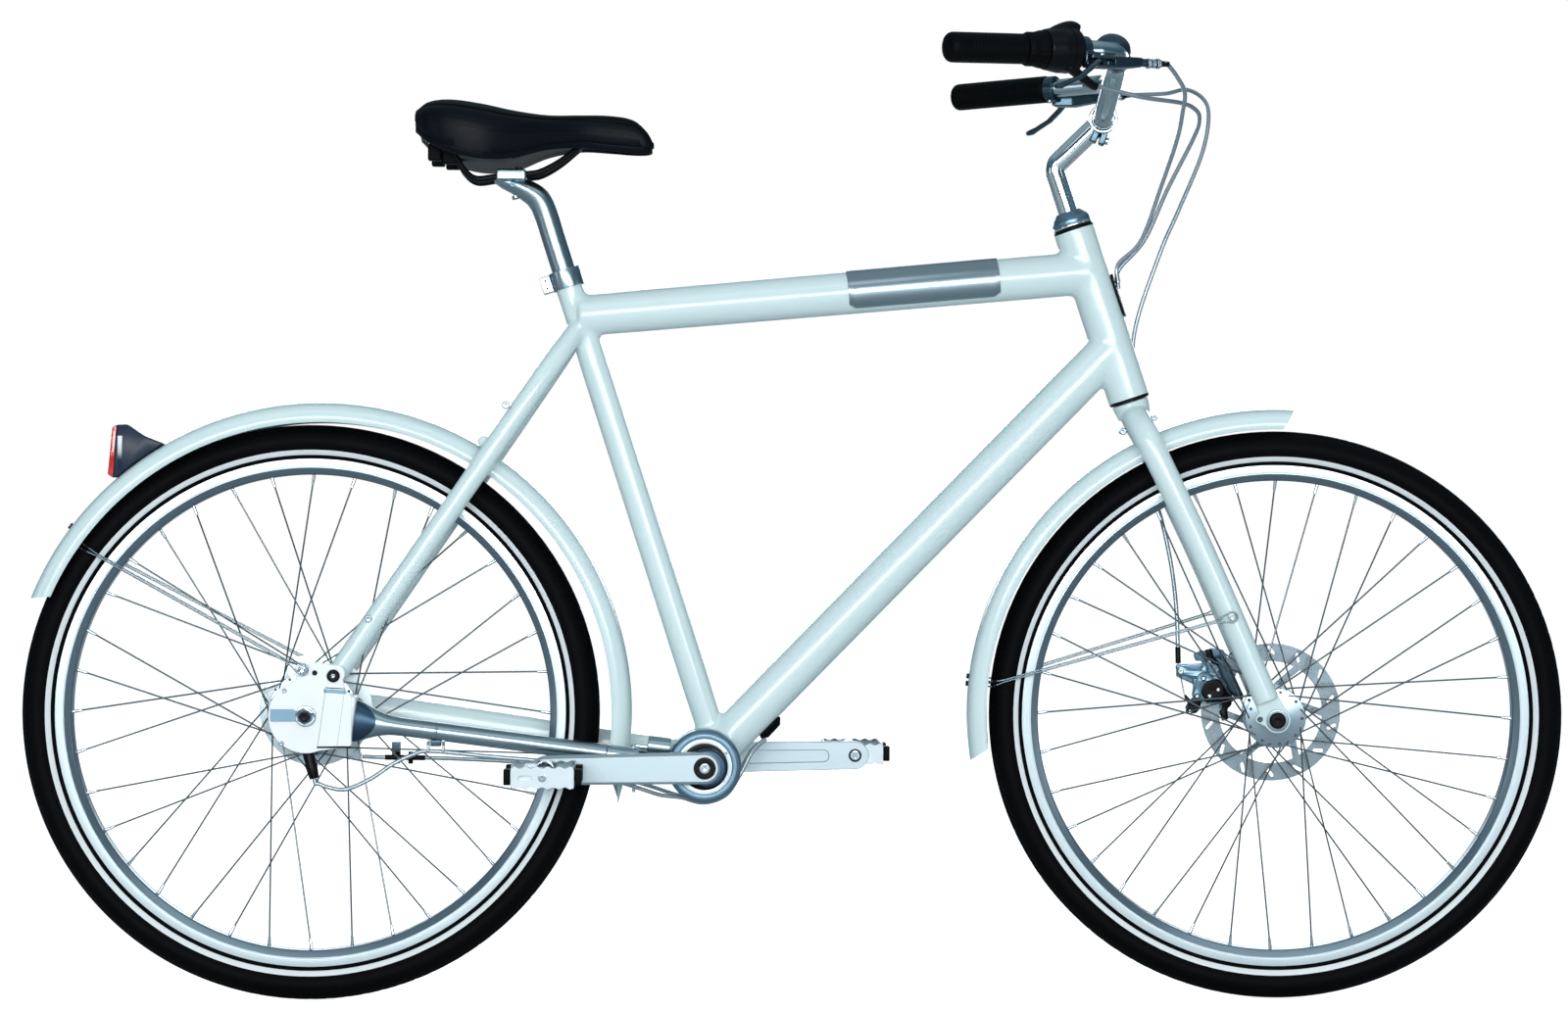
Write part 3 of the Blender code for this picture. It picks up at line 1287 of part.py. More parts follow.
def crank(name, across):
    """A flat arm with a round head, a long groove on its inner face and the pedal's spindle."""
    end_radius = CRANK_HEIGHT / 2
    taper = math.degrees(math.asin((CRANK_HEAD_RADIUS - end_radius) / CRANK_LENGTH))
    outline = [
        *arc((0, 0), CRANK_HEAD_RADIUS, 90 - taper, 270 + taper, 10),
        *arc((CRANK_LENGTH, 0), end_radius, -90, 90, 7),
    ]
    direction = crank_direction(across)
    middle = BRACKET + side((CRANK_INNER_SIDE + CRANK_THICKNESS / 2) * across)
    turn = UPRIGHT @ Matrix.Rotation(math.atan2(direction.z, direction.x), 4, "Z")
    arm = plate("arm", [outline], CRANK_THICKNESS, Matrix.Translation(middle) @ turn)
    pedal_eye = pedal_centre(across)
    end = pedal_eye + side((CRANK_THICKNESS + 0.004 + PEDAL_WIDTH) * across)
    spindle = rod("spindle", pedal_eye + side(0.5 * CRANK_THICKNESS * across), end, SPINDLE_RADIUS, sides=12)
    arm = fused(name, [arm, spindle])
    centre = BRACKET + direction * (CRANK_LENGTH * 0.53) + side((CRANK_INNER_SIDE + 0.0012) * across)
    lengthwise = rolled(Vector((-direction.z, 0, direction.x)), direction)
    groove = block("groove", centre, (CRANK_LENGTH * 0.56, 0.0034, CRANK_HEIGHT * 0.46), lengthwise)
    start = BRACKET + side(0.05 * across)
    hole = rod("hole", start, BRACKET + side(0.10 * across), CRANK_AXLE_RADIUS + GAP, sides=20)
    return keep(cut(arm, [groove, hole]), SATIN_ALLOY)


def pedal(name, across):
    """A cage pedal: two side plates on a round barrel, joined by a block at each end."""
    start = pedal_centre(across) + side((CRANK_THICKNESS + 0.0025) * across)
    half, tall, wall = PEDAL_LENGTH / 2, PEDAL_HEIGHT / 2, 0.0022
    outline = [
        (-half * 0.86, tall),
        (-half * 0.94, tall * 0.2),
        (-half * 0.80, -tall),
        (half * 0.80, -tall),
        (half * 0.94, tall * 0.2),
        (half * 0.86, tall),
    ]
    plates = [
        plate("cage", [outline], wall, across_axle(start, (wall / 2 + inset) * across))
        for inset in (0.003, PEDAL_WIDTH - wall)
    ]
    barrel = rod("barrel", start, start + side((PEDAL_WIDTH - 0.001) * across), 0.0105, sides=12)
    inner, outer = 0.0040, PEDAL_WIDTH - 0.0012
    ends = []
    for sense in (-1, 1):
        centre = start + Vector((sense * (half - 0.0055), (inner + outer) / 2 * across, 0))
        ends.append(block("end", centre, (0.011, outer - inner, PEDAL_HEIGHT * 0.66)))
    body = fused(name, [barrel, *plates, *ends])
    reach = side((PEDAL_WIDTH + 0.01) * across)
    bore = rod("bore", start - side(0.01 * across), start + reach, SPINDLE_RADIUS + GAP, sides=12)
    return keep(cut(body, [bore]), STEEL)


# Steering


def bar_direction(across):
    """Along a grip, from its outer end towards the stem."""
    return Vector((math.sin(BAR_SWEEP), -math.cos(BAR_SWEEP) * across, 0.030)).normalized()


def clamp_centre():
    elbow = head_point(HEAD_LENGTH + CAP_HEIGHT + QUILL_SHOWN)
    return elbow + Vector((STEM_REACH_AHEAD, 0, STEM_REACH_UP))


def grip_end(across):
    return clamp_centre() + Vector((-BAR_BACK, BAR_HALF_WIDTH * across, BAR_RISE))


def on_grip(across, along, out=0.0, up=0.0):
    """A point beside a grip: along from its outer end, out to the front and up."""
    ahead = bar_direction(across)
    outward = Vector((abs(ahead.y), abs(ahead.x) * across, 0)).normalized()
    return grip_end(across) + ahead * along + outward * out + Vector((0, 0, up))


def bar_half(across):
    """One half of the handlebar, from the clamp out to the grip's end."""
    centre = clamp_centre()
    knee = on_grip(across, BAR_STRAIGHT)
    outer = centre + Vector((0.012, 0.138 * across, 0.058))
    points = [
        centre + side(BAR_CLAMP_WIDTH / 2 * across),
        centre + Vector((0.001, 0.034 * across, 0.006)),
        centre + Vector((0.006, 0.056 * across, 0.026)),
        centre + Vector((0.011, 0.078 * across, 0.047)),
        centre + Vector((0.013, 0.104 * across, 0.056)),
        outer,
        knee.lerp(outer, 0.45) + Vector((0.006, 0.004 * across, 0)),
        knee,
    ]
    return smooth_route(points, 2) + [on_grip(across, 0.002)]


def handlebar():
    right = bar_half(RIGHT)
    left = bar_half(LEFT)
    points = right[::-1] + left
    ends = len(right)
    radii = [BAR_RADIUS] * (ends - 1) + [BAR_CLAMP_RADIUS] * 2 + [BAR_RADIUS] * (len(left) - 1)
    keep(pipe("handlebar", points, BAR_RADIUS, radii), CHROME)


def stem():
    """The quill, its forward arm and the clamp round the handlebar."""
    foot = head_point(HEAD_LENGTH + CAP_HEIGHT - QUILL_INSERTION)
    elbow = head_point(HEAD_LENGTH + CAP_HEIGHT + QUILL_SHOWN)
    centre = clamp_centre()
    inside = centre - (centre - elbow).normalized() * 0.004
    radii = [QUILL_RADIUS, QUILL_RADIUS, STEM_RADIUS]
    quill = pipe("quill", [foot, elbow, inside], QUILL_RADIUS, radii, resolution=3)
    half = BAR_CLAMP_WIDTH / 2
    ring = rod("ring", centre + side(-half), centre + side(half), BAR_CLAMP_RADIUS + 0.0038)
    size = (0.017, BAR_CLAMP_WIDTH * 0.62, 0.016)
    lug = block("lug", centre + Vector((0.002, 0, -0.020)), size, bevel=0.002)
    body = fused("stem", [quill, ring, lug])
    bore = rod("bore", centre + side(-half - 0.01), centre + side(half + 0.01), BAR_CLAMP_RADIUS + 2 * GAP)
    split = block("split", centre + Vector((0.003, 0, -0.021)), (0.0016, BAR_CLAMP_WIDTH + 0.02, 0.022))
    return keep(cut(body, [bore, split]), CHROME)


def headset_cap():
    """The cone over the upper bearing."""
    foot = head_point(HEAD_LENGTH + GAP * 2 + CUP_FLANGE)
    matrix = towards(foot, foot + STEER_UP * 0.001)
    matrix.translation = foot
    inner = QUILL_RADIUS + 2 * GAP
    height = CAP_HEIGHT - CUP_FLANGE - 2 * GAP
    profile = [
        (inner, height),
        (0.0150, height),
        (0.0165, height * 0.72),
        (0.0215, height * 0.45),
        (0.0225, 0.0015),
        (0.0215, 0),
        (STEERER_RADIUS + GAP, 0),
        (STEERER_RADIUS + GAP, height * 0.6),
        (inner, height * 0.6),
    ]
    keep(turned("headset_cap", profile, matrix, ring=True), DARK_ALLOY)


def blade_route(across):
    """A fork blade's centre line from the crown to above the dropout."""
    return [
        on_steerer(CROWN_HEIGHT - 0.019, 0.000, 0.006 * across),
        on_steerer(CROWN_HEIGHT - 0.030, 0.001, 0.024 * across),
        on_steerer(CROWN_HEIGHT - 0.044, 0.004, 0.039 * across),
        on_steerer(CROWN_HEIGHT - 0.072, 0.008, CROWN_SIDE * across),
        on_steerer(0.200, 0.024, (CROWN_SIDE + BLADE_SIDE) / 2 * across),
        on_steerer(0.024, 0.0405, (BLADE_SIDE + 0.0025) * across),
    ]


def blade(across, clearance=0.0):
    route = smooth_route(blade_route(across), 2)
    taper = (BLADE_FOOT_RADIUS - BLADE_TOP_RADIUS) / (len(route) - 1)
    radii = [BLADE_TOP_RADIUS + taper * k + clearance for k in range(len(route))]
    return pipe("blade", route, BLADE_TOP_RADIUS, radii)


def fork():
    """The steerer, a rounded crown, two straight blades and their dropouts."""
    steerer_top = head_point(HEAD_LENGTH + CUP_FLANGE + 0.010)
    neck = head_point(-CUP_FLANGE - 2 * GAP)
    under_crown = math.sqrt((GUARD_RADIUS + GAP) ** 2 - (FORK_OFFSET - BRIDGE_RADIUS) ** 2)
    pieces = [
        rod("steerer", head_point(-0.010), steerer_top, STEERER_RADIUS),
        rod("race", head_point(-0.022), neck, 0.0185, 0.0215),
        rod("guard_lug", on_steerer(under_crown), head_point(-0.020), BRIDGE_RADIUS, sides=12),
        blade(RIGHT),
        blade(LEFT),
        fork_dropout(RIGHT),
        fork_dropout(LEFT),
    ]
    body = fused("fork", pieces)
    bore = rod("bore", head_point(HEAD_LENGTH - 0.120), head_point(HEAD_LENGTH + 0.04), STEERER_BORE)
    axle_hole = rod("hole", FRONT_AXLE + side(-0.08), FRONT_AXLE + side(0.08), AXLE_RADIUS + GAP)
    return keep(cut(body, [bore, axle_hole]), PAINT)


def fork_dropout(across):
    """The round dropout with an eyelet behind it."""
    shoulder = on_steerer(0.040, 0.039) - FRONT_AXLE
    outline = [
        *arc((0, 0), 0.0150, -150, 40, 9),
        (shoulder.x + 0.011, shoulder.z + 0.004),
        (shoulder.x - 0.011, shoulder.z - 0.002),
        *arc((-0.0195, 0.001), 0.0052, 100, 260, 4),
    ]
    centre = (FRONT_DROPOUT_INNER + FORK_DROPOUT_THICKNESS / 2 + GAP) * across
    return plate("dropout", [outline], FORK_DROPOUT_THICKNESS, across_axle(FRONT_AXLE, centre))


def grip(name, across, length):
    """A rubber sleeve with a rounded closed end."""
    inner = BAR_RADIUS + GAP
    profile = [
        (0.0, 0.0015),
        (inner, 0.0015),
        (inner, length),
        (GRIP_RADIUS, length),
        (GRIP_RADIUS, 0.006),
        (GRIP_RADIUS * 0.90, 0.000),
        (GRIP_RADIUS * 0.70, -0.003),
        (0.0, -0.003),
    ]
    return keep(baked(turned(name, profile, along_grip(across, 0), 16)), BLACK_RUBBER)


def along_grip(across, start):
    """Local Z runs inwards along a grip from a distance from its outer end."""
    place = on_grip(across, start)
    matrix = towards(place, place + bar_direction(across) * 0.001)
    matrix.translation = place
    return matrix


def sleeve(name, across, start, profile):
    """A ring on the bar whose profile is measured from start along the grip."""
    return baked(turned(name, profile, along_grip(across, start), 16, ring=True))


def shifter():
    """The twist ring that the rider turns, and the housing beside it."""
    inner = BAR_RADIUS + GAP
    start = SHORT_GRIP_LENGTH + GAP
    r, n = GRIP_RADIUS, TWIST_LENGTH
    ridge = [
        (inner, n),
        (r + 0.0044, n),
        (r + 0.0022, n * 0.5),
        (r + 0.0024, n * 0.18),
        (r + 0.0004, 0.0),
        (inner, 0.0),
    ]
    keep(sleeve("twist_ring", RIGHT, start, ridge), BLACK_RUBBER)
    start += n + GAP
    r, n = SHIFTER_RADIUS, SHIFTER_LENGTH
    shape = [(inner, n), (r * 0.84, n), (r, n * 0.86), (r, n * 0.42), (r * 0.86, 0.0), (inner, 0.0)]
    body = sleeve("body", RIGHT, start, shape)
    turn = rolled(Vector((0, 0, 1)), bar_direction(RIGHT))
    hump_centre = on_grip(RIGHT, start + n * 0.62, 0.004, r + 0.0005)
    hump = block("hump", hump_centre, (n * 0.60, 0.020, 0.012), turn, 0.003)
    boot_start = on_grip(RIGHT, start + n * 0.55, 0.012, -r * 0.72)
    outlet = SHIFT_CABLE[0]
    onward = (SHIFT_CABLE[1] - outlet).normalized()
    boot_points = [boot_start, outlet - onward * 0.008, outlet - onward * 0.001]
    boot = pipe("boot", boot_points, 0.0052, [0.0052, 0.0044, 0.0040])
    return keep(fused("shifter_housing", [body, hump, boot]), BLACK_PLASTIC)


def lever_frame(across, clamp_at):
    """Where a brake lever's clamp sits on the bar."""
    return lambda along, out, up: on_grip(across, clamp_at + along, out, up)


def clamp_place(across):
    if across == RIGHT:
        return SHORT_GRIP_LENGTH + TWIST_LENGTH + SHIFTER_LENGTH + 3 * GAP + LEVER_CLAMP_WIDTH / 2
    return GRIP_LENGTH + GAP + LEVER_CLAMP_WIDTH / 2


def barrel_mouth(across, proud):
    """A point on the axis of a lever's cable barrel, proud of its mouth."""
    return lever_frame(across, clamp_place(across))(BARREL_END + proud, 0.0145, -0.014)


def lever_bracket(name, across):
    """The clamp ring, the arm in front of it that holds the lever, and the cable's barrel."""
    at = lever_frame(across, clamp_place(across))
    half = LEVER_CLAMP_WIDTH / 2
    upright = rolled(Vector((0, 0, 1)), bar_direction(across))
    outward = (at(0, 1, 0) - at(0, 0, 0)).normalized()
    sections = [
        (-0.004, 0.018, -0.013, 0.022, 0.016),
        (0.020, 0.024, -0.015, 0.018, 0.015),
        (0.050, 0.018, -0.014, 0.013, 0.013),
        (0.066, 0.014, -0.013, 0.010, 0.011),
    ]
    corners = ((-0.5, -0.4), (0, -0.5), (0.5, -0.4), (0.5, 0.4), (0, 0.5), (-0.5, 0.4))
    rings = []
    for along, out, up, width, height in sections:
        centre = at(along, out, up)
        rings.append([centre + outward * (width * a) + Vector((0, 0, height * b)) for a, b in corners])
    pieces = [
        rod("ring", at(-half, 0, 0), at(half, 0, 0), BAR_RADIUS + 0.0045),
        block("neck", at(0, 0.012, -0.008), (LEVER_CLAMP_WIDTH * 0.96, 0.014, 0.012), upright),
        loft("arm", rings),
        rod("barrel", at(0.060, 0.0145, -0.013), barrel_mouth(across, 0), 0.0046, sides=10),
    ]
    body = fused(name, pieces)
    bore = rod("bore", at(-0.03, 0, 0), at(0.03, 0, 0), BAR_RADIUS + GAP)
    slot = block("slot", at(0.006, 0.034, LEVER_LEVEL), (0.034, 0.030, LEVER_ROOT + 2 * GAP), upright)
    body = cut(body, [bore, slot])
    reach = LEVER_ROOT / 2 + 0.002
    foot = at(LEVER_PIVOT_IN, LEVER_PIVOT_OUT, LEVER_LEVEL - reach)
    top = at(LEVER_PIVOT_IN, LEVER_PIVOT_OUT, LEVER_LEVEL + reach)
    return keep(fused(name, [body, rod("pin", foot, top, LEVER_PIN_RADIUS, sides=8)]), DARK_ALLOY)


def brake_lever(name, across):
    """The lever: a flat blade from its pivot out beside the grip, with a rounded tip."""
    at = lever_frame(across, clamp_place(across))
    stations = [
        (LEVER_PIVOT_IN, LEVER_PIVOT_OUT, LEVER_LEVEL, 0.0085, LEVER_ROOT * 0.9),
        (0.000, 0.034, LEVER_LEVEL, 0.0090, LEVER_ROOT * 0.9),
        (-0.014, 0.044, -0.0220, 0.0090, 0.0058),
        (-0.032, 0.051, -0.0330, 0.0095, 0.0055),
        (-0.052, 0.056, -0.0410, 0.0100, 0.0055),
        (-0.062, 0.060, -0.0440, 0.0110, 0.0075),
        (-0.069, 0.062, -0.0450, 0.0070, 0.0060),
    ]
    rings = []
    for index, (along, out, up, width, height) in enumerate(stations):
        before = at(*stations[max(index - 1, 0)][:3])
        after = at(*stations[min(index + 1, len(stations) - 1)][:3])
        direction = (after - before).normalized()
        if index < 2:
            direction.z = 0
            direction.normalize()
        rings.append(oval(at(along, out, up), direction, height, width, 8))
    foot = at(LEVER_PIVOT_IN, LEVER_PIVOT_OUT, LEVER_LEVEL - LEVER_ROOT / 2)
    top = at(LEVER_PIVOT_IN, LEVER_PIVOT_OUT, LEVER_LEVEL + LEVER_ROOT / 2)
    body = fused(name, [rod("eye", foot, top, 0.0055, sides=12), loft("blade", rings)])
    spare = Vector((0, 0, 0.01))
    hole = rod("hole", foot - spare, top + spare, LEVER_PIN_RADIUS + GAP, sides=8)
    return keep(cut(body, [hole]), DARK_ALLOY)


def bell():
    """A domed bell on a ring round the bar's middle stretch on the right."""
    near, far = bar_half(RIGHT)[8:10]
    centre = (near + far) / 2
    along = (far - near).normalized()
    ring = rod("ring", centre - along * 0.005, centre + along * 0.005, BAR_RADIUS + 0.0028)
    foot = centre + Vector((-0.002, 0, BAR_RADIUS + 0.002))
    profile = [(0.0, 0.017), (0.009, 0.0155), (0.0165, 0.010), (0.0205, 0.002), (0.0205, 0.0), (0.0, 0.0)]
    lean = Matrix.Rotation(math.radians(12), 4, "Y")
    dome = turned("dome", profile, Matrix.Translation(foot) @ lean, 12)
    body = fused("bell", [ring, dome])
    hole = rod("hole", centre - along * 0.03, centre + along * 0.03, BAR_RADIUS + 2 * GAP)
    return keep(cut(body, [hole]), DARK_ALLOY)


# Front brake


def caliper_point(across=0.0, out=0.0, up=0.0):
    centre = guard_point(FRONT_AXLE, CALIPER_TURN, CALIPER_REACH, 0)
    return centre + Vector((out, across, up))


def front_caliper():
    """The caliper straddles the rotor's edge behind the left blade; a tab holds the cable's end."""
    outer = ROTOR_SIDE + CALIPER_OUTER
    outline = [
        (-0.012, -0.020),
        (0.016, -0.030),
        (0.024, -0.006),
        (0.020, 0.030),
        (0.012, 0.046),
        (-0.004, 0.048),
        (-0.002, 0.030),
        (-0.042, 0.028),
        (-0.042, 0.014),
        (-0.020, 0.004),
    ]
    lug = on_steerer(0.080, 0.030, BLADE_SIDE * 0.98)
    pieces = [
        rod("body", caliper_point(ROTOR_SIDE - CALIPER_INNER), caliper_point(outer), 0.0165),
        plate("bracket", [outline], 0.006, across_axle(caliper_point(), outer - 0.008)),
        block("bridge", caliper_point(ROTOR_SIDE, -0.0165, 0.0), (0.012, 0.022, 0.026)),
        rod("mount", caliper_point(outer - 0.008, 0.020, 0.016), lug, 0.0070, sides=12),
    ]
    made = fused("front_caliper", pieces)
    half = ROTOR_THICKNESS / 2 + 2 * GAP
    start = FRONT_AXLE + side(ROTOR_SIDE - half)
    slot = rod("slot", start, FRONT_AXLE + side(ROTOR_SIDE + half), ROTOR_RADIUS + 0.001, sides=36)
    spokes_space = rod("spokes_space", FRONT_AXLE, FRONT_AXLE + side(ROTOR_SIDE - 0.0095), 0.12)
    return keep(cut(made, [slot, blade(LEFT, GAP), spokes_space]), DARK_ALLOY)


def caliper_arm():
    """The arm that the front brake cable pulls, on the caliper's outer face."""
    outline = [
        *arc((0, 0), 0.0115, -30, 190, 8),
        (-0.026, -0.015),
        (-0.031, -0.024),
        (-0.022, -0.027),
        *arc((0, 0), 0.0115, 250, 290, 2),
    ]
    middle = ROTOR_SIDE + CALIPER_OUTER + GAP + 0.002
    return keep(plate("caliper_arm", [outline], 0.004, across_axle(caliper_point(), middle)), BLACK_PLASTIC)


# Tail light and rear brake


def tail_light():
    """A wedge on the rear mudguard with a lens at its back."""
    centre = rear_guard_centre()
    seat = arc((centre.x, centre.z), GUARD_RADIUS + GAP, 131.0, 120.4, 5)
    low = (seat[0][0] - 0.0030, seat[0][1] - 0.0010)
    high = (low[0] + 0.0040, low[1] + 0.0600)
    outline = [low, *seat, (high[0] + 0.0300, high[1] - 0.0125), (high[0] + 0.0110, high[1] + 0.0005), high]
    flat = across_axle(Vector((0, 0, 0)))
    keep(plate("tail_light_body", [outline], LIGHT_WIDTH, flat), BLACK_PLASTIC)
    lens = [
        (low[0] - GAP, low[1]),
        (high[0] - GAP, high[1]),
        (high[0] - GAP - 0.0050, high[1] - 0.0030),
        (low[0] - GAP - 0.0060, low[1] + 0.0040),
    ]
    keep(plate("tail_light_lens", [lens], LIGHT_WIDTH, flat), RED_LENS)


def rear_brake():
    """The hub brake's fixed unit on the left: a drum cover with an arm held along the chainstay."""
    inner = BRAKE_DISC_SIDE + BRAKE_DISC_THICKNESS / 2 + 2 * GAP
    outer = LEFT_STAY_FOOT - DROPOUT_THICKNESS / 2 - GAP
    drum_end = REAR_AXLE + side(inner + 0.0075)
    outline = [
        (-0.010, -0.030),
        (0.012, -0.044),
        (0.040, -0.058),
        (0.052, -0.058),
        (0.052, -0.050),
        (0.036, -0.030),
        (0.010, -0.020),
    ]
    pieces = [
        rod("drum", REAR_AXLE + side(inner), drum_end, 0.0440, 0.0400, sides=20),
        rod("boss", REAR_AXLE + side(inner + 0.004), REAR_AXLE + side(outer), 0.0120),
        plate("arm", [outline], 0.004, across_axle(REAR_AXLE, inner + 0.003)),
    ]
    body = fused("rear_brake_unit", pieces)
    hole = rod("hole", REAR_AXLE + side(0.03), REAR_AXLE + side(0.08), AXLE_RADIUS + GAP)
    return keep(cut(body, [hole]), SATIN_ALLOY)


# Cables


def route_from(origin, points):
    return [origin + Vector(point) for point in points]


FRONT_BRAKE_CABLE = [
    *route_from(
        head_point(HEAD_LENGTH),
        [
            (0.1109, 0.158, 0.1717),
            (0.1349, 0.132, 0.1737),
            (0.1539, 0.106, 0.1587),
            (0.1579, 0.090, 0.1337),
            (0.1489, 0.075, 0.0907),
            (0.1229, 0.060, 0.0277),
            (0.1004, 0.052, -0.0253),
            (0.0719, 0.047, -0.1163),
        ],
    ),
    *route_from(
        head_point(0),
        [
            (0.0095, 0.0505, 0.0002),
            (0.0235, 0.0690, -0.0798),
            (0.0430, 0.0700, -0.1448),
        ],
    ),
    *route_from(
        FRONT_AXLE,
        [
            (-0.1140, 0.0620, 0.1635),
            (-0.1085, 0.0520, 0.1135),
            (-0.1070, 0.0470, 0.0735),
            (-0.1065, 0.0450, 0.0547),
        ],
    ),
]
BAR_BRAKE_CABLE = route_from(
    head_point(HEAD_LENGTH),
    [
        (0.1077, -0.150, 0.1612),
        (0.1176, -0.130, 0.1457),
        (0.1170, -0.105, 0.1267),
        (0.1122, -0.080, 0.0972),
        (0.0970, -0.045, 0.0481),
        (0.0759, -0.018, -0.0123),
    ],
)
SHIFT_CABLE = route_from(
    head_point(HEAD_LENGTH),
    [
        (0.0201, -0.186, 0.1473),
        (0.0689, -0.150, 0.1388),
        (0.1151, -0.100, 0.1369),
        (0.1332, -0.070, 0.1320),
        (0.1389, -0.050, 0.1227),
        (0.1337, -0.030, 0.1034),
        (0.1057, -0.005, 0.0462),
        (0.0809, 0.008, -0.0103),
    ],
)
REAR_SHIFT_CABLE = [
    *route_from(
        BRACKET,
        [
            (0.0550, -0.014, 0.0130),
            (0.0405, -0.020, -0.0134),
            (0.0250, -0.022, -0.0352),
            (0.0000, -0.023, -0.0438),
            (-0.0264, -0.026, -0.0375),
            (-0.0486, -0.032, -0.0344),
            (-0.0710, -0.038, -0.0269),
        ],
    ),
    *route_from(
        REAR_AXLE,
        [
            (0.3139, -0.047, -0.0635),
            (0.2699, -0.047, -0.0525),
            (0.2038, -0.047, -0.0465),
            (0.1368, -0.047, -0.0405),
            (0.1162, -0.050, -0.0450),
            (0.0958, -0.054, -0.0545),
            (0.0711, -0.058, -0.0710),
            (0.0440, -0.060, -0.0825),
            (0.0244, -0.060, -0.0803),
            (0.0140, -0.060, -0.0765),
        ],
    ),
]
REAR_BRAKE_CABLE = [
    *route_from(
        BRACKET,
        [
            (0.0550, 0.008, 0.0130),
            (0.0405, 0.007, -0.0134),
            (0.0250, 0.007, -0.0352),
            (0.0000, 0.009, -0.0438),
            (-0.0264, 0.015, -0.0395),
            (-0.0704, 0.030, -0.0269),
        ],
    ),
    *route_from(
        REAR_AXLE,
        [
            (0.3124, 0.0400, -0.0680),
            (0.2670, 0.0460, -0.0625),
            (0.1987, 0.0520, -0.0587),
            (0.1247, 0.0550, -0.0562),
            (0.0770, 0.0520, -0.0555),
            (0.0530, 0.0455, -0.0543),
        ],
    ),
]


def before_turn(point):
    """Where a point of the frame lies in the steering's own straight-ahead frame."""
    pivot = head_point(0)
    return pivot + Matrix.Rotation(-STEER_TURN, 3, STEER_UP) @ (point - pivot)


def port_mouth(across, drop, proud):
    """Where a handlebar cable enters the port, a drop below its top and proud of its face."""
    face = HEAD_TUBE_RADIUS + PORT_WALL + proud
    height = HEAD_LENGTH - PORT_TOP_DROP - drop
    return before_turn(head_point(height) + STEER_AHEAD * face + side(0.006 * across))


def cable(name, points, steps=2):
    return keep(pipe(name, smooth_route(points, steps), CABLE_RADIUS, resolution=1), BRAIDED)


def cables():
    cable("front_brake_cable", [barrel_mouth(LEFT, 3 * GAP), barrel_mouth(LEFT, 0.008), *FRONT_BRAKE_CABLE])
    start = [barrel_mouth(RIGHT, 3 * GAP), barrel_mouth(RIGHT, 0.008)]
    end = [port_mouth(RIGHT, -0.008, 0.0090), port_mouth(RIGHT, 0.012, 0.0026)]
    cable("bar_brake_cable", [*start, *BAR_BRAKE_CABLE, *end])
    end = [port_mouth(LEFT, -0.002, 0.0095), port_mouth(LEFT, 0.018, 0.0026)]
    cable("bar_shift_cable", [*SHIFT_CABLE, *end])
    end = [hub_boot(0.006), hub_boot(2 * GAP)]
    cable("rear_shift_cable", [boot_exit(RIGHT), *REAR_SHIFT_CABLE, *end], 1)
    cable("rear_brake_cable", [boot_exit(LEFT), *REAR_BRAKE_CABLE], 1)


# Assembly

STEERING = (
    "fork",
    "headset_cap",
    "stem",
    "handlebar",
    "right_grip",
    "left_grip",
    "twist_ring",
    "shifter_housing",
    "right_lever_bracket",
    "left_lever_bracket",
    "right_brake_lever",
    "left_brake_lever",
    "bell",
    "front_mudguard",
    "front_mudguard_stay",
    "front_axle",
    "front_hub",
    "front_rim",
    "front_tyre",
    "brake_rotor",
    "front_caliper",
    "caliper_arm",
    "front_brake_cable",
    "bar_brake_cable",
    "bar_shift_cable",
)


def turn_steering():
    """Hangs every steering piece on an empty on the steering axis and turns it."""
    pivot = bpy.data.objects.new("steering_axis", None)
    pivot.location = head_point(0)
    pivot.rotation_mode = "QUATERNION"
    pivot.rotation_quaternion = Matrix.Rotation(STEER_TURN, 4, STEER_UP).to_quaternion()
    PARTS.objects.link(pivot)
    for name in STEERING:
        piece = bpy.data.objects[name]
        piece.parent = pivot
        piece.matrix_parent_inverse = Matrix.Translation(-pivot.location)


def build():
    clear_scene()
    main_frame()
    frame_fittings()
    seat_clamp()
    mudguards()
    mudguard_stays()
    seat_post()
    saddle_clamp()
    saddle_rails()
    saddle()
    for name, axle in (("front", FRONT_AXLE), ("rear", REAR_AXLE)):
        tyre(name + "_tyre", axle)
        rim(name + "_rim", axle)
    front_hub()
    rear_hub()
    brake_rotor()
    rear_brake_disc()
    axles()
    bracket_housing()
    shaft_tube()
    gear_case()
    drive_shaft()
    hub_gear()
    crank_axle()
    for name, across in (("right", RIGHT), ("left", LEFT)):
        crank(name + "_crank", across)
        pedal(name + "_pedal", across)
        lever_bracket(name + "_lever_bracket", across)
        brake_lever(name + "_brake_lever", across)
    grip("right_grip", RIGHT, SHORT_GRIP_LENGTH)
    grip("left_grip", LEFT, GRIP_LENGTH)
    shifter()
    bell()
    handlebar()
    stem()
    headset_cap()
    fork()
    front_caliper()
    caliper_arm()
    tail_light()
    rear_brake()
    cables()
    turn_steering()


build()
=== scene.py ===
"""Looks of the city bike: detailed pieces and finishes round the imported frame, in metres and its axes."""

import json
import math

import bmesh
import bpy
from mathutils import Matrix, Vector

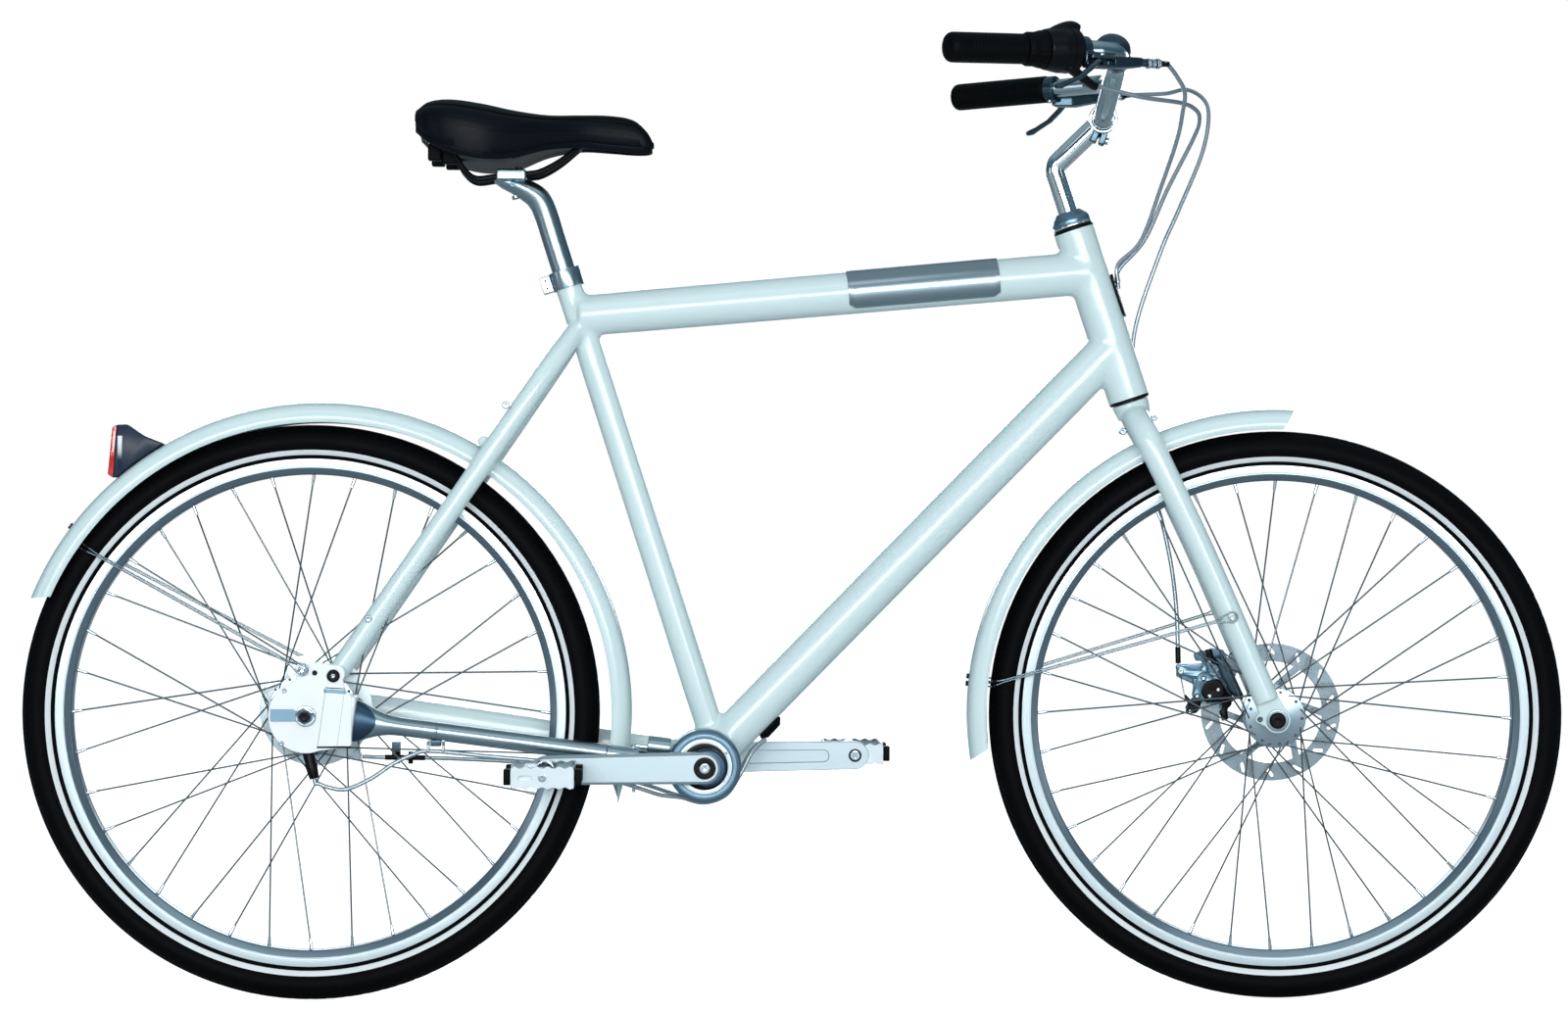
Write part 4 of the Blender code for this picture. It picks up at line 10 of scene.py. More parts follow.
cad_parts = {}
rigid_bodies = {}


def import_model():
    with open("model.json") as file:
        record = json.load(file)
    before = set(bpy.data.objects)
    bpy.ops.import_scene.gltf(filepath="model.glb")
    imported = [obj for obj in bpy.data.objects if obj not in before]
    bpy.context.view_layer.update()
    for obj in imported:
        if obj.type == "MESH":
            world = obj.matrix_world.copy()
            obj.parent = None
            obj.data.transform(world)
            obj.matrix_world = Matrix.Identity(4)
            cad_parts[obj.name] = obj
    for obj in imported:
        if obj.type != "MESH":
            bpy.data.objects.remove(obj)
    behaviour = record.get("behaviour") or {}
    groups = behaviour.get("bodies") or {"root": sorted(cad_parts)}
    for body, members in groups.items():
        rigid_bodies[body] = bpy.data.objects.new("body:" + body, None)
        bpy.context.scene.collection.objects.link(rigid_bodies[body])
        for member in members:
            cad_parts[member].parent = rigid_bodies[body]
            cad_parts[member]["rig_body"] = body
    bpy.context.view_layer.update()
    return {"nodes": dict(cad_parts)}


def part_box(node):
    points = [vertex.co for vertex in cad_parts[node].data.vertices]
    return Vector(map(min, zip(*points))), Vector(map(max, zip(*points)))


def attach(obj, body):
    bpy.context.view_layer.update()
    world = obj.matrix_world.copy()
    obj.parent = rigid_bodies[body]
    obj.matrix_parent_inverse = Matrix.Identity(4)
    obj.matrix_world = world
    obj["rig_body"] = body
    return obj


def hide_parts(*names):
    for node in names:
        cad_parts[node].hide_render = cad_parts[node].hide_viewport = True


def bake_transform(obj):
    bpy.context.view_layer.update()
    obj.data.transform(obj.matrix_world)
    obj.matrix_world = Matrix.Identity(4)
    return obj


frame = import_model()

# Places and sizes of the bike, as its solids have them
GAP = 0.0003
RIGHT, LEFT = -1, 1
RIM_RADIUS = 0.288
TYRE_RADIUS = 0.3265
TYRE_WIDTH = 0.047
WHEELBASE = 1.1
REAR_AXLE = Vector((-WHEELBASE / 2, 0, TYRE_RADIUS))
FRONT_AXLE = Vector((WHEELBASE / 2, 0, TYRE_RADIUS))
BRACKET = REAR_AXLE + Vector((0.445, 0, -0.0565))
HEAD_ANGLE = math.radians(71.5)
SEAT_ANGLE = math.radians(72.0)
STEER_UP = Vector((-math.cos(HEAD_ANGLE), 0, math.sin(HEAD_ANGLE)))
STEER_AHEAD = Vector((math.sin(HEAD_ANGLE), 0, math.cos(HEAD_ANGLE)))
SEAT_UP = Vector((-math.cos(SEAT_ANGLE), 0, math.sin(SEAT_ANGLE)))
SEAT_BACK = Vector((-math.sin(SEAT_ANGLE), 0, -math.cos(SEAT_ANGLE)))
STEERING_TURN = math.radians(-6.76)
FORK_OFFSET = 0.0445
GUARD_RADIUS = 0.352
GUARD_WALL = 0.0014
GUARD_DEPTH = 0.0215
GUARD_WIDTH = 0.057
GUARD_SLANT = 0.46
REAR_STAY_TURN, FRONT_STAY_TURN = math.radians(145), math.radians(174)
CROWN_HEIGHT = math.sqrt(GUARD_RADIUS**2 - FORK_OFFSET**2) + 0.0488
HEAD_LENGTH = 0.203
HEAD_TUBE_RADIUS, HEAD_BORE = 0.0235, 0.0180
SEAT_TUBE_LENGTH = 0.5895
TOP_TUBE_HEIGHT, STAYS_HEIGHT = 0.5355, 0.524
TOP_TUBE_RADIUS, TOP_TUBE_TAPER = 0.0232, 0.0014
DOWN_TUBE_HEIGHT, DOWN_TUBE_RADIUS = 0.062, 0.0240
STAY_SPREAD, RIGHT_STAY_FOOT, LEFT_STAY_FOOT = 0.0440, 0.0530, 0.0585
STEERER_RADIUS = 0.0143
CAP_HEIGHT = 0.0225
BAR_RADIUS = 0.0111
BAR_CLAMP_RADIUS = 0.0127
BAR_SWEEP = math.radians(60.0)
GRIP_RADIUS, GRIP_BORE = 0.0163, 0.0114
SHORT_GRIP, LONG_GRIP = 0.091, 0.128
TWIST_LENGTH = 0.024
SHIFTER_LENGTH = 0.042
SHIFTER_RADIUS = 0.0250
LEVER_CLAMP = 0.012
SHAFT_SIDE = 0.047
HOUSING_RADIUS = 0.0415
HOUSING_OUTER = 0.0610
CASE_RADIUS = 0.0415
CASE_OUTER = 0.0725
CASE_REACH = 0.0530
BOOT_MOUTH = REAR_AXLE + Vector((0.0090, -0.060, -CASE_RADIUS - 0.0290))
BOOT_DOWN = Vector((0.24, 0, -0.97))
CRANK_LENGTH = 0.178
CRANK_INNER = 0.0680
CRANK_THICKNESS = 0.0140
ROTOR_SIDE = 0.0365
ROTOR_RADIUS = 0.080
FLANGE_SPOKES, CROSSINGS = 18, 3
SPOKE_RADIUS, SPOKE_REACH = 0.00095, 0.2698
AXLE_BORE = 0.0053
CABLE_RADIUS = 0.0024
UPRIGHT = Matrix.Rotation(math.radians(90), 4, "X")
UP = Vector((0, 0, 1))


def side(distance):
    return Vector((0, distance, 0))


def on_steerer(height, ahead=0.0, across=0.0):
    foot = FRONT_AXLE - FORK_OFFSET * STEER_AHEAD
    return foot + height * STEER_UP + ahead * STEER_AHEAD + side(across)


def head_point(height):
    return on_steerer(CROWN_HEIGHT + height)


def on_seat_tube(height, back=0.0, across=0.0):
    return BRACKET + Vector((0.020, 0, 0)) + height * SEAT_UP + back * SEAT_BACK + side(across)


PIVOT = head_point(0)
STEERED = Matrix.Translation(PIVOT) @ Matrix.Rotation(STEERING_TURN, 4, STEER_UP)
STEERED = STEERED @ Matrix.Translation(-PIVOT)
STEERED_BODIES = {
    "steering", "twist_shifter", "brake_lever_right", "brake_lever_left", "brake_arm", "front_wheel"
}
HEAD_TOP = head_point(HEAD_LENGTH)
TOP_TUBE_FRONT = head_point(HEAD_LENGTH - 0.051)
POST_TOP = on_seat_tube(SEAT_TUBE_LENGTH + 0.072)
CLAMP_CENTRE = POST_TOP + SEAT_UP * 0.0306 + SEAT_BACK * 0.0296
RAIL_LEVEL = CLAMP_CENTRE.z + 0.0178
SADDLE_TOP = CLAMP_CENTRE.z + 0.1026
SADDLE_REAR = CLAMP_CENTRE.x - 0.1062
SADDLE_LENGTH, SADDLE_WIDTH, SADDLE_DEPTH = 0.266, 0.176, 0.072
ELBOW = head_point(HEAD_LENGTH + CAP_HEIGHT + 0.054)
BAR_CENTRE = ELBOW + Vector((0.056, 0, 0.054))
GUARD_CENTRE = REAR_AXLE + Vector((0.011, 0, 0))


# Materials


def fill(tree, made, inputs):
    """Sets a node's inputs, each to a value or to another node's output."""
    for socket, value in inputs.items():
        if isinstance(value, bpy.types.NodeSocket):
            tree.links.new(value, made.inputs[socket])
        else:
            made.inputs[socket].default_value = value


def node(tree, kind, inputs=None, **settings):
    made = tree.nodes.new("ShaderNode" + kind)
    for name, value in settings.items():
        setattr(made, name, value)
    fill(tree, made, inputs or {})
    return made


def between(tree, factor, first, second):
    """A colour between two, by a factor."""
    return node(tree, "Mix", {"Factor": factor, "A": first, "B": second}, data_type="RGBA").outputs["Result"]


LOOKS = {}


def look(
    name, colour, rough, metallic=0.0, vary=0.05, spread=0.05, grain=500.0, bump=0.05, wear=0.0, cells=False,
    **sockets,
):
    """A procedural finish: drifting colour, a fine grain in gloss and relief, and paler worn edges."""
    made = bpy.data.materials.new(name)
    made.use_nodes = True
    tree = made.node_tree
    place = node(tree, "TexCoord").outputs["Object"]
    drift = node(tree, "TexNoise", {"Vector": place, "Scale": 14.0, "Detail": 5.0}).outputs["Fac"]
    if cells:
        fine = node(tree, "TexVoronoi", {"Vector": place, "Scale": grain}, feature="SMOOTH_F1")
        fine = fine.outputs["Distance"]
    else:
        fine = node(tree, "TexNoise", {"Vector": place, "Scale": grain, "Detail": 3.0}).outputs["Fac"]
    dark, pale = [(*[min(c * share, 1) for c in colour], 1) for share in (1 - vary, 1 + vary)]
    result = between(tree, drift, dark, pale)
    if wear:
        shape = node(tree, "NewGeometry").outputs["Pointiness"]
        edge = node(tree, "MapRange", {"Value": shape, "From Min": 0.53, "From Max": 0.62, "To Max": wear})
        result = between(tree, edge.outputs["Result"], result, (*[0.35 + 0.6 * c for c in colour], 1))
    low, high = max(rough - spread, 0.02), rough + spread
    gloss = node(tree, "MapRange", {"Value": fine, "To Min": low, "To Max": high})
    relief = node(tree, "Bump", {"Height": fine, "Strength": bump, "Distance": 0.0004})
    inputs = {socket.replace("_", " "): value for socket, value in sockets.items()}
    inputs |= {"Metallic": metallic, "Base Color": result}
    inputs |= {"Roughness": gloss.outputs["Result"], "Normal": relief.outputs["Normal"]}
    fill(tree, tree.nodes["Principled BSDF"], inputs)
    LOOKS[name] = made
    return made


def braid():
    """Woven wire round a cable: crossing diagonals, drawn along the tube's own unwrapped length."""
    made = look("braided_wire", (0.50, 0.56, 0.60), 0.35, 0.8, vary=0.1, grain=900)
    tree = made.node_tree
    unwrapped = node(tree, "UVMap", uv_map="unwrap").outputs["UV"]
    split = node(tree, "SeparateXYZ", {"Vector": unwrapped})
    strands = []
    for sense in (1, -1):
        along = node(tree, "Math", {0: split.outputs["Y"], 1: 4200.0}, operation="MULTIPLY").outputs["Value"]
        turn = {0: split.outputs["X"], 1: 6 * math.tau * sense, 2: along}
        turn = node(tree, "Math", turn, operation="MULTIPLY_ADD").outputs["Value"]
        strands.append(node(tree, "Math", {0: turn}, operation="SINE").outputs["Value"])
    over = node(tree, "Math", dict(enumerate(strands)), operation="MAXIMUM").outputs["Value"]
    shade = node(tree, "MapRange", {"Value": over, "From Min": -0.6}).outputs["Result"]
    colour = between(tree, shade, (0.16, 0.22, 0.26, 1), (0.50, 0.58, 0.62, 1))
    fill(tree, tree.nodes["Principled BSDF"], {"Base Color": colour})
    fill(tree, tree.nodes["Bump"], {"Height": shade})
    return made


def painted_reflection(name, low, high, dark, pale):
    """A glossy strip whose colour is a painted reflection, running from dark below to pale above between two
    heights.
    """
    made = look(name, pale, 0.10, vary=0.0, spread=0.02, bump=0.01)
    tree = made.node_tree
    split = node(tree, "SeparateXYZ", {"Vector": tree.nodes["Texture Coordinate"].outputs["Object"]})
    share = node(tree, "MapRange", {"Value": split.outputs["Z"], "From Min": low, "From Max": high})
    colour = between(tree, share.outputs["Result"], (*dark, 1), (*pale, 1))
    fill(tree, tree.nodes["Principled BSDF"], {"Base Color": colour})
    return made


CALM = {"spread": 0.02, "bump": 0.01}
BARE = {"spread": 0.03, "bump": 0.01}
POROUS = {"vary": 0.2, "bump": 0.15, "cells": True}
LACQUER = {"Coat_Weight": 0.35, "Coat_Roughness": 0.10}
look("paint", (0.60, 0.74, 0.75), 0.27, vary=0.02, spread=0.01, bump=0.004, **LACQUER)
look("white_cover", (0.80, 0.85, 0.87), 0.34, vary=0.02, grain=900, **CALM)
look("satin_alloy", (0.31, 0.40, 0.45), 0.29, 1.0, vary=0.06, grain=420, **BARE)
look("dark_alloy", (0.055, 0.095, 0.125), 0.25, 0.9, vary=0.12, **BARE)
look("chrome", (0.70, 0.77, 0.80), 0.09, 1.0, vary=0.03, spread=0.02, bump=0.004)
look("steel", (0.27, 0.34, 0.38), 0.26, 1.0, vary=0.08, wear=0.25, **BARE)
look("black_plastic", (0.003, 0.0035, 0.005), 0.34, vary=0.2, grain=1500, Specular_IOR_Level=0.12)
look(
    "cushion", (0.0012, 0.0016, 0.0028), 0.40, vary=0.25, grain=1100, bump=0.18, cells=True,
    Specular_IOR_Level=0.05,
)
look("black_rubber", (0.002, 0.0025, 0.003), 0.50, grain=1300, Specular_IOR_Level=0.05, **POROUS)
look("tyre", (0.0018, 0.0021, 0.0028), 0.55, vary=0.3, grain=800, bump=0.10, Specular_IOR_Level=0.04)
look("red_lens", (0.50, 0.012, 0.012), 0.12, vary=0.15, grain=260, bump=0.5, cells=True, Coat_Weight=0.8)
look("reflective_stripe", (0.78, 0.82, 0.83), 0.35, 0, 0.03, 0.02, 1800, 0.02, cells=True)
look("rim_wall", (0.66, 0.76, 0.80), 0.30, 0.45, vary=0.03, spread=0.02, bump=0.008)
look("rim_bed", (0.20, 0.27, 0.32), 0.30, 0.9, vary=0.08, **CALM)
look("side_panel", (0.0018, 0.0030, 0.0065), 0.42, grain=1100, Specular_IOR_Level=0.10, **POROUS)
look("spoke_wire", (0.13, 0.15, 0.16), 0.24, 0.9, vary=0.15, grain=700, bump=0.01)
look("blue_alloy", (0.15, 0.25, 0.33), 0.32, 0.85, vary=0.08, **BARE)
look("navy_face", (0.030, 0.065, 0.11), 0.36, 0.8, vary=0.10, **BARE)
look("brushed_chrome", (0.50, 0.59, 0.63), 0.20, 1.0, vary=0.04, spread=0.03, grain=600, bump=0.006)
look("light_housing", (0.012, 0.024, 0.048), 0.30, 0, 0.15, grain=1200, bump=0.03, Specular_IOR_Level=0.22)
look("silver_crank", (0.40, 0.49, 0.53), 0.44, 0.75, vary=0.04, grain=700, **BARE)
look("case_seam", (0.30, 0.36, 0.40), 0.4, vary=0.1)
# The clear strip's colour is a painted reflection: dark below, pale above.
painted_reflection("clear_strip", 0.612, 0.646, (0.010, 0.022, 0.045), (0.62, 0.74, 0.85))
LOOKS["braided"] = braid()


# Modelling helpers


def linked(name, data):
    obj = bpy.data.objects.new(name, data)
    bpy.context.scene.collection.objects.link(obj)
    return obj


def stored(name, bm):
    """A built mesh as an object."""
    mesh = bpy.data.meshes.new(name)
    bm.to_mesh(mesh)
    bm.free()
    return linked(name, mesh)


def cleaned(bm):
    bmesh.ops.remove_doubles(bm, verts=bm.verts, dist=0.000002)
    bmesh.ops.dissolve_degenerate(bm, edges=bm.edges, dist=0.000001)
    bmesh.ops.recalc_face_normals(bm, faces=bm.faces)
    return bm


def new_object(name, bm, matrix=None):
    obj = stored(name, cleaned(bm))
    if matrix:
        obj.data.transform(matrix)
    return obj


def applied(obj):
    """The object's evaluated mesh in place of its curve or modifiers."""
    bpy.context.view_layer.update()
    mesh = bpy.data.meshes.new_from_object(obj.evaluated_get(bpy.context.evaluated_depsgraph_get()))
    mesh.transform(obj.matrix_world)
    name = obj.name
    bpy.data.objects.remove(obj, do_unlink=True)
    return linked(name, mesh)


def joined(name, objects):
    """One object of several, each keeping its own material slots."""
    bm = bmesh.new()
    materials = []
    for obj in objects:
        start = len(bm.faces)
        bm.from_mesh(obj.data)
        bm.faces.ensure_lookup_table()
        places = []
        for material in list(obj.data.materials) or [None]:
            if material not in materials:
                materials.append(material)
            places.append(materials.index(material))
        for face in bm.faces[start:]:
            face.material_index = places[min(face.material_index, len(places) - 1)]
        bpy.data.objects.remove(obj, do_unlink=True)
    made = stored(name, bm)
    for material in materials:
        made.data.materials.append(material)
    return made


def painted(obj, finish):
    obj.data.materials.clear()
    obj.data.materials.append(LOOKS[finish])
    return obj


def two_toned(obj, first, second, chosen):
    """A piece in two finishes, the second on the faces that the test picks."""
    painted(obj, first).data.materials.append(LOOKS[second])
    for face in obj.data.polygons:
        if chosen(face):
            face.material_index = 1
    return obj


def add(obj, body, slot, node, finish=None, smooth=35.0, ride=True):
    """Finishes a piece, turns it with the steering where that carries it, and lets it ride on its body."""
    if body in STEERED_BODIES:
        obj.data.transform(STEERED)
    if finish or not [m for m in obj.data.materials if m]:
        painted(obj, finish or slot)
    for index, material in enumerate(obj.data.materials):
        if material is None:
            obj.data.materials[index] = LOOKS[slot]
    obj.data.shade_smooth()
    obj.data.set_sharp_from_angle(angle=math.radians(smooth))
    if ride:
        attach(obj, body)
    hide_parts(node)
    return obj


def skin(name, rings, loop=False, uv=False):
    """A closed skin over rings of points; loop joins the last ring to the first."""
    bm = bmesh.new()
    rows = [[bm.verts.new(point) for point in ring] for ring in rings]
    layer = bm.loops.layers.uv.new("unwrap") if uv else None
    runs = [0.0]
    for a, b in zip(rings, rings[1:]):
        runs.append(runs[-1] + (a[0] - b[0]).length)
    count = len(rows[0])
    pairs = list(zip(rows, rows[1:])) + ([(rows[-1], rows[0])] if loop else [])
    for index, (row, following) in enumerate(pairs):
        for k in range(count):
            j = (k + 1) % count
            face = bm.faces.new((row[k], row[j], following[j], following[k]))
            if uv:
                marks = ((k, index), (k + 1, index), (k + 1, index + 1), (k, index + 1))
                for corner, (u, v) in zip(face.loops, marks):
                    corner[layer].uv = (u / count, runs[v])
    if not loop:
        bm.faces.new(rows[0])
        bm.faces.new(rows[-1][::-1])
    return new_object(name, bm)


def smooth_route(points, steps):
    points = [Vector(p) for p in points]
    ends = [points[0] * 2 - points[1], *points, points[-1] * 2 - points[-2]]
    route = []
    for a, b, c, d in zip(ends, ends[1:], ends[2:], ends[3:]):
        for step in range(steps):
            t = step / steps
            square, cube = 2 * a - 5 * b + 4 * c - d, 3 * b - a - 3 * c + d
            route.append(0.5 * (2 * b + (c - a) * t + square * t**2 + cube * t**3))
    return [*route, points[-1]]


def bend(before, corner, after, reach, count):
    """A corner between two points as a small curve."""
    start = corner + (before - corner).normalized() * reach
    end = corner + (after - corner).normalized() * reach
    shares = [k / count for k in range(count + 1)]
    return [start * (1 - t) ** 2 + corner * 2 * t * (1 - t) + end * t**2 for t in shares]


def bent(points, radius, count=5):
    """A route with each corner turned into a small bend."""
    points = [Vector(p) for p in points]
    route = [points[0]]
    for before, corner, after in zip(points, points[1:], points[2:]):
        reach = min(radius, (before - corner).length * 0.48, (after - corner).length * 0.48)
        route += bend(before, corner, after, reach, count)
    return [*route, points[-1]]


def rounded(profile, radius=0.0006, count=3):
    """A closed profile with each corner turned into a small arc."""
    points = [Vector(p) for p in profile]
    result = []
    for before, corner, after in zip(points[-1:] + points, points, points[1:] + points[:1]):
        reach = min(radius, (before - corner).length * 0.45, (after - corner).length * 0.45)
        arcs = [corner] if reach < 0.00001 else bend(before, corner, after, reach, count)
        result += [tuple(point) for point in arcs]
    return result


def heading(route, index):
    """The direction of a route at one of its points."""
    return (route[min(index + 1, len(route) - 1)] - route[max(index - 1, 0)]).normalized()


def tube(name, points, radius, radii=None, sides=24, uv=False):
    """A round tube along points, its ring turning with the route."""
    points = [Vector(p) for p in points]
    rings = []
    normal = None
    for index, place in enumerate(points):
        along = heading(points, index)
        normal = (normal - along * normal.dot(along) if normal else along.orthogonal()).normalized()
        across = along.cross(normal)
        size = radii[index] if radii else radius
        turns = [math.tau * k / sides for k in range(sides)]
        rings.append([place + (normal * math.cos(a) + across * math.sin(a)) * size for a in turns])
    return skin(name, rings, uv=uv)


def spread_radii(values, count):
    """Radii at even steps between the given ones."""
    radii = []
    for k in range(count):
        place = k / (count - 1) * (len(values) - 1)
        low = min(int(place), len(values) - 2)
        radii.append(values[low] + (values[low + 1] - values[low]) * (place - low))
    return radii


def lathe(name, profile, matrix, steps=96, wave=None, round_by=0.0006):
    """A ring profile of radius and height turned about local Z; wave moves a radius by its angle."""
    if round_by:
        profile = rounded(profile, round_by)
    rings = []
    for step in range(steps):
        a = math.tau * step / steps
        ring = []
        for radius, height in profile:
            r = wave(radius, height, a) if wave else radius
            ring.append(matrix @ Vector((r * math.cos(a), r * math.sin(a), height)))
        rings.append(ring)
    return skin(name, rings, loop=True)


def hoop(inner, outer, low, high):
    """The profile of a plain ring."""
    return [(inner, low), (outer, low), (outer, high), (inner, high)]


def towards(start, end):
    turn = (end - start).to_track_quat("Z", "Y").to_matrix().to_4x4()
    return Matrix.Translation(start) @ turn


def rod(name, start, end, radius, end_radius=None, sides=40, bevel=0.0005):
    """A round bar or cone with softened ends."""
    length = (end - start).length
    top = radius if end_radius is None else end_radius
    profile = [(0.0, 0.0), (radius, 0.0), (top, length), (0.0, length)]
    return lathe(name, profile, towards(start, end), sides, round_by=bevel)


def hexagon(name, start, end, width):
    """A six-sided nut or bolt head."""
    bm = bmesh.new()
    radius, depth = width / math.sqrt(3), (end - start).length
    bmesh.ops.create_cone(bm, cap_ends=True, segments=6, radius1=radius, radius2=radius, depth=depth)
    bmesh.ops.bevel(bm, geom=bm.edges, offset=0.0004, segments=2, affect="EDGES")
    return new_object(name, bm, towards((start + end) / 2, end))


def block(name, centre, size, turn=None, bevel=0.0008):
    bm = bmesh.new()
    bmesh.ops.create_cube(bm, size=1.0)
    bmesh.ops.scale(bm, vec=size, verts=bm.verts)
    if bevel:
        bmesh.ops.bevel(bm, geom=bm.edges, offset=bevel, segments=3, profile=0.6, affect="EDGES")
    return new_object(name, bm, Matrix.Translation(centre) @ (turn or Matrix()))


def across_axle(centre, distance=0.0):
    """Local Z points to the bike's right side, at a distance to the left of the centre."""
    return Matrix.Translation(centre + side(distance)) @ UPRIGHT


def arc(centre, radius, start, end, count):
    turns = [math.radians(start + (end - start) * k / (count - 1)) for k in range(count)]
    return [(centre[0] + radius * math.cos(a), centre[1] + radius * math.sin(a)) for a in turns]


def plate(name, outlines, thickness, matrix, bevel=0.0004):
    """A flat plate with rounded edges from closed outlines, the first its edge and the others its holes."""
    curve = bpy.data.curves.new(name, "CURVE")
    curve.dimensions = "2D"
    curve.fill_mode = "BOTH"
    curve.extrude = thickness / 2 - bevel
    curve.bevel_depth = bevel
    curve.bevel_resolution = 0
    curve.offset = -bevel
    for outline in outlines:
        spline = curve.splines.new("POLY")
        spline.points.add(len(outline) - 1)
        for point, (x, y) in zip(spline.points, outline):
            point.co = (x, y, 0, 1)
        spline.use_cyclic_u = True
    obj = linked(name, curve)
    obj.matrix_world = matrix
    made = applied(obj)
    bm = bmesh.new()
    bm.from_mesh(made.data)
    cleaned(bm).to_mesh(made.data)
    bm.free()
    return made


def rolled(up, ahead):
    """A turn with local Z along up and local X along ahead."""
    z = up.normalized()
    y = z.cross(ahead).normalized()
    return Matrix((y.cross(z), y, z)).transposed().to_4x4()


def melted(obj, voxel, passes, centres=(), reach=0.06, more=30):
    """One smooth skin over crossing solids, with fuller fillets near the given centres."""
    modifier = obj.modifiers.new("voxels", "REMESH")
    modifier.mode = "VOXEL"
    modifier.voxel_size = voxel
    modifier.use_smooth_shade = True
    obj = applied(obj)
    even = obj.modifiers.new("even", "SMOOTH")
    even.factor = 0.5
    even.iterations = passes
    if centres:
        group = obj.vertex_groups.new(name="joints")
        for vertex in obj.data.vertices:
            near = max(1 - (vertex.co - centre).length / reach for centre in centres)
            if near > 0:
                group.add([vertex.index], min(1.0, near * 2), "REPLACE")
        fillet = obj.modifiers.new("fillet", "SMOOTH")
        fillet.factor = 0.5
        fillet.iterations = more
        fillet.vertex_group = "joints"
    return applied(obj)


def copied(node):
    """A welded copy of a CAD node's mesh, in straight-ahead steering like the pieces made here."""
    source = frame["nodes"][node]
    bm = bmesh.new()
    bm.from_mesh(source.data)
    bmesh.ops.remove_doubles(bm, verts=bm.verts, dist=0.000002)
    body = source["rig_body"]
    if body in STEERED_BODIES:
        bmesh.ops.transform(bm, matrix=STEERED.inverted(), verts=bm.verts)
    bmesh.ops.dissolve_limit(bm, angle_limit=math.radians(0.6), verts=bm.verts, edges=bm.edges)
    return new_object(node + "_shape", bm), body


def softened(node, slot, voxel=0.0007, passes=6):
    """A CAD node's own form with its edges and facets smoothed."""
    obj, body = copied(node)
    return add(melted(obj, voxel, passes), body, slot, node, smooth=60)


def eased(node, finish, width, segments=2, limit=30):
    """A CAD node's own form with its sharp edges rounded, and its body."""
    obj, body = copied(node)
    modifier = obj.modifiers.new("edges", "BEVEL")
    modifier.width = width
    modifier.segments = segments
    modifier.limit_method = "ANGLE"
    modifier.angle_limit = math.radians(limit)
    return painted(applied(obj), finish), body


def bevelled(node, slot, width, finish=None):
    """A piece that is only a CAD node with rounded edges."""
    obj, body = eased(node, finish or slot, width, limit=32)
    return add(obj, body, slot, node)


def screw_head(place, outward, radius=0.0028, proud=0.0012, finish="steel"):
    """A round screw head with a socket, standing on a face."""
    inner = radius * 0.45
    profile = [(0.0, -0.001), (radius, -0.001), (radius, proud * 0.7), (radius * 0.8, proud)]
    profile += [(inner, proud), (inner, proud * 0.2), (0.0, proud * 0.2)]
    return painted(lathe("screw", profile, towards(place, place + outward), 24, round_by=0.0002), finish)


# Frame


def guard_point(centre, angle, radius, across=0.0):
    return centre + Vector((radius * math.cos(angle), across, radius * math.sin(angle)))


def stay_foot(across):
    foot = RIGHT_STAY_FOOT if across == RIGHT else LEFT_STAY_FOOT
    return REAR_AXLE + Vector((0.0335, foot * across, 0.0475))


def seat_stay(across):
    top = on_seat_tube(STAYS_HEIGHT, 0.002, 0.006 * across)
    foot = stay_foot(across)
    shoulder = top.lerp(foot, 0.12)
    shoulder.y = STAY_SPREAD * 0.72 * across
    waist = top.lerp(foot, 0.33)
    waist.y = STAY_SPREAD * across
    return tube("stay", smooth_route([top, shoulder, waist, foot], 10), 0.0120, sides=32)


def oval(centre, along, height, width, count=32):
    outward = UP.cross(along).normalized()
    upward = along.cross(outward).normalized()
    ring = []
    for k in range(count):
        a = math.tau * k / count
        ring.append(centre + outward * (width / 2 * math.cos(a)) + upward * (height / 2 * math.sin(a)))
    return ring


def chainstay():
    middle = (REAR_AXLE + BRACKET) / 2
    stations = [
        (BRACKET + Vector((-0.008, 0.022, 0.004)), 0.95, 1.0),
        (BRACKET + Vector((-0.075, 0.0425, 0.010)), 0.95, 1.0),
        (middle + Vector((0, 0.049, 0.003)), 1.0, 1.0),
        (REAR_AXLE + Vector((0.060, 0.0595, -0.004)), 1.05, 0.85),
        (REAR_AXLE + Vector((0.016, 0.0600, -0.001)), 0.80, 0.60),
    ]
    route = smooth_route([s[0] for s in stations], 8)
    tall = spread_radii([s[1] for s in stations], len(route))
    wide = spread_radii([s[2] for s in stations], len(route))
    sizes = [(0.0404 * t, 0.0184 * w) for t, w in zip(tall, wide)]
    return skin("chainstay", [oval(centre, heading(route, k), *sizes[k]) for k, centre in enumerate(route)])


def left_dropout():
    foot = stay_foot(LEFT) - REAR_AXLE
    outline = [
        *arc((0, 0), 0.017, 150, 290, 16), (0.030, -0.018), (0.042, 0.012),
        *arc((foot.x, foot.z), 0.0115, -20, 130, 14),
    ]
    return plate("dropout", [outline], 0.006, across_axle(REAR_AXLE, LEFT_STAY_FOOT))


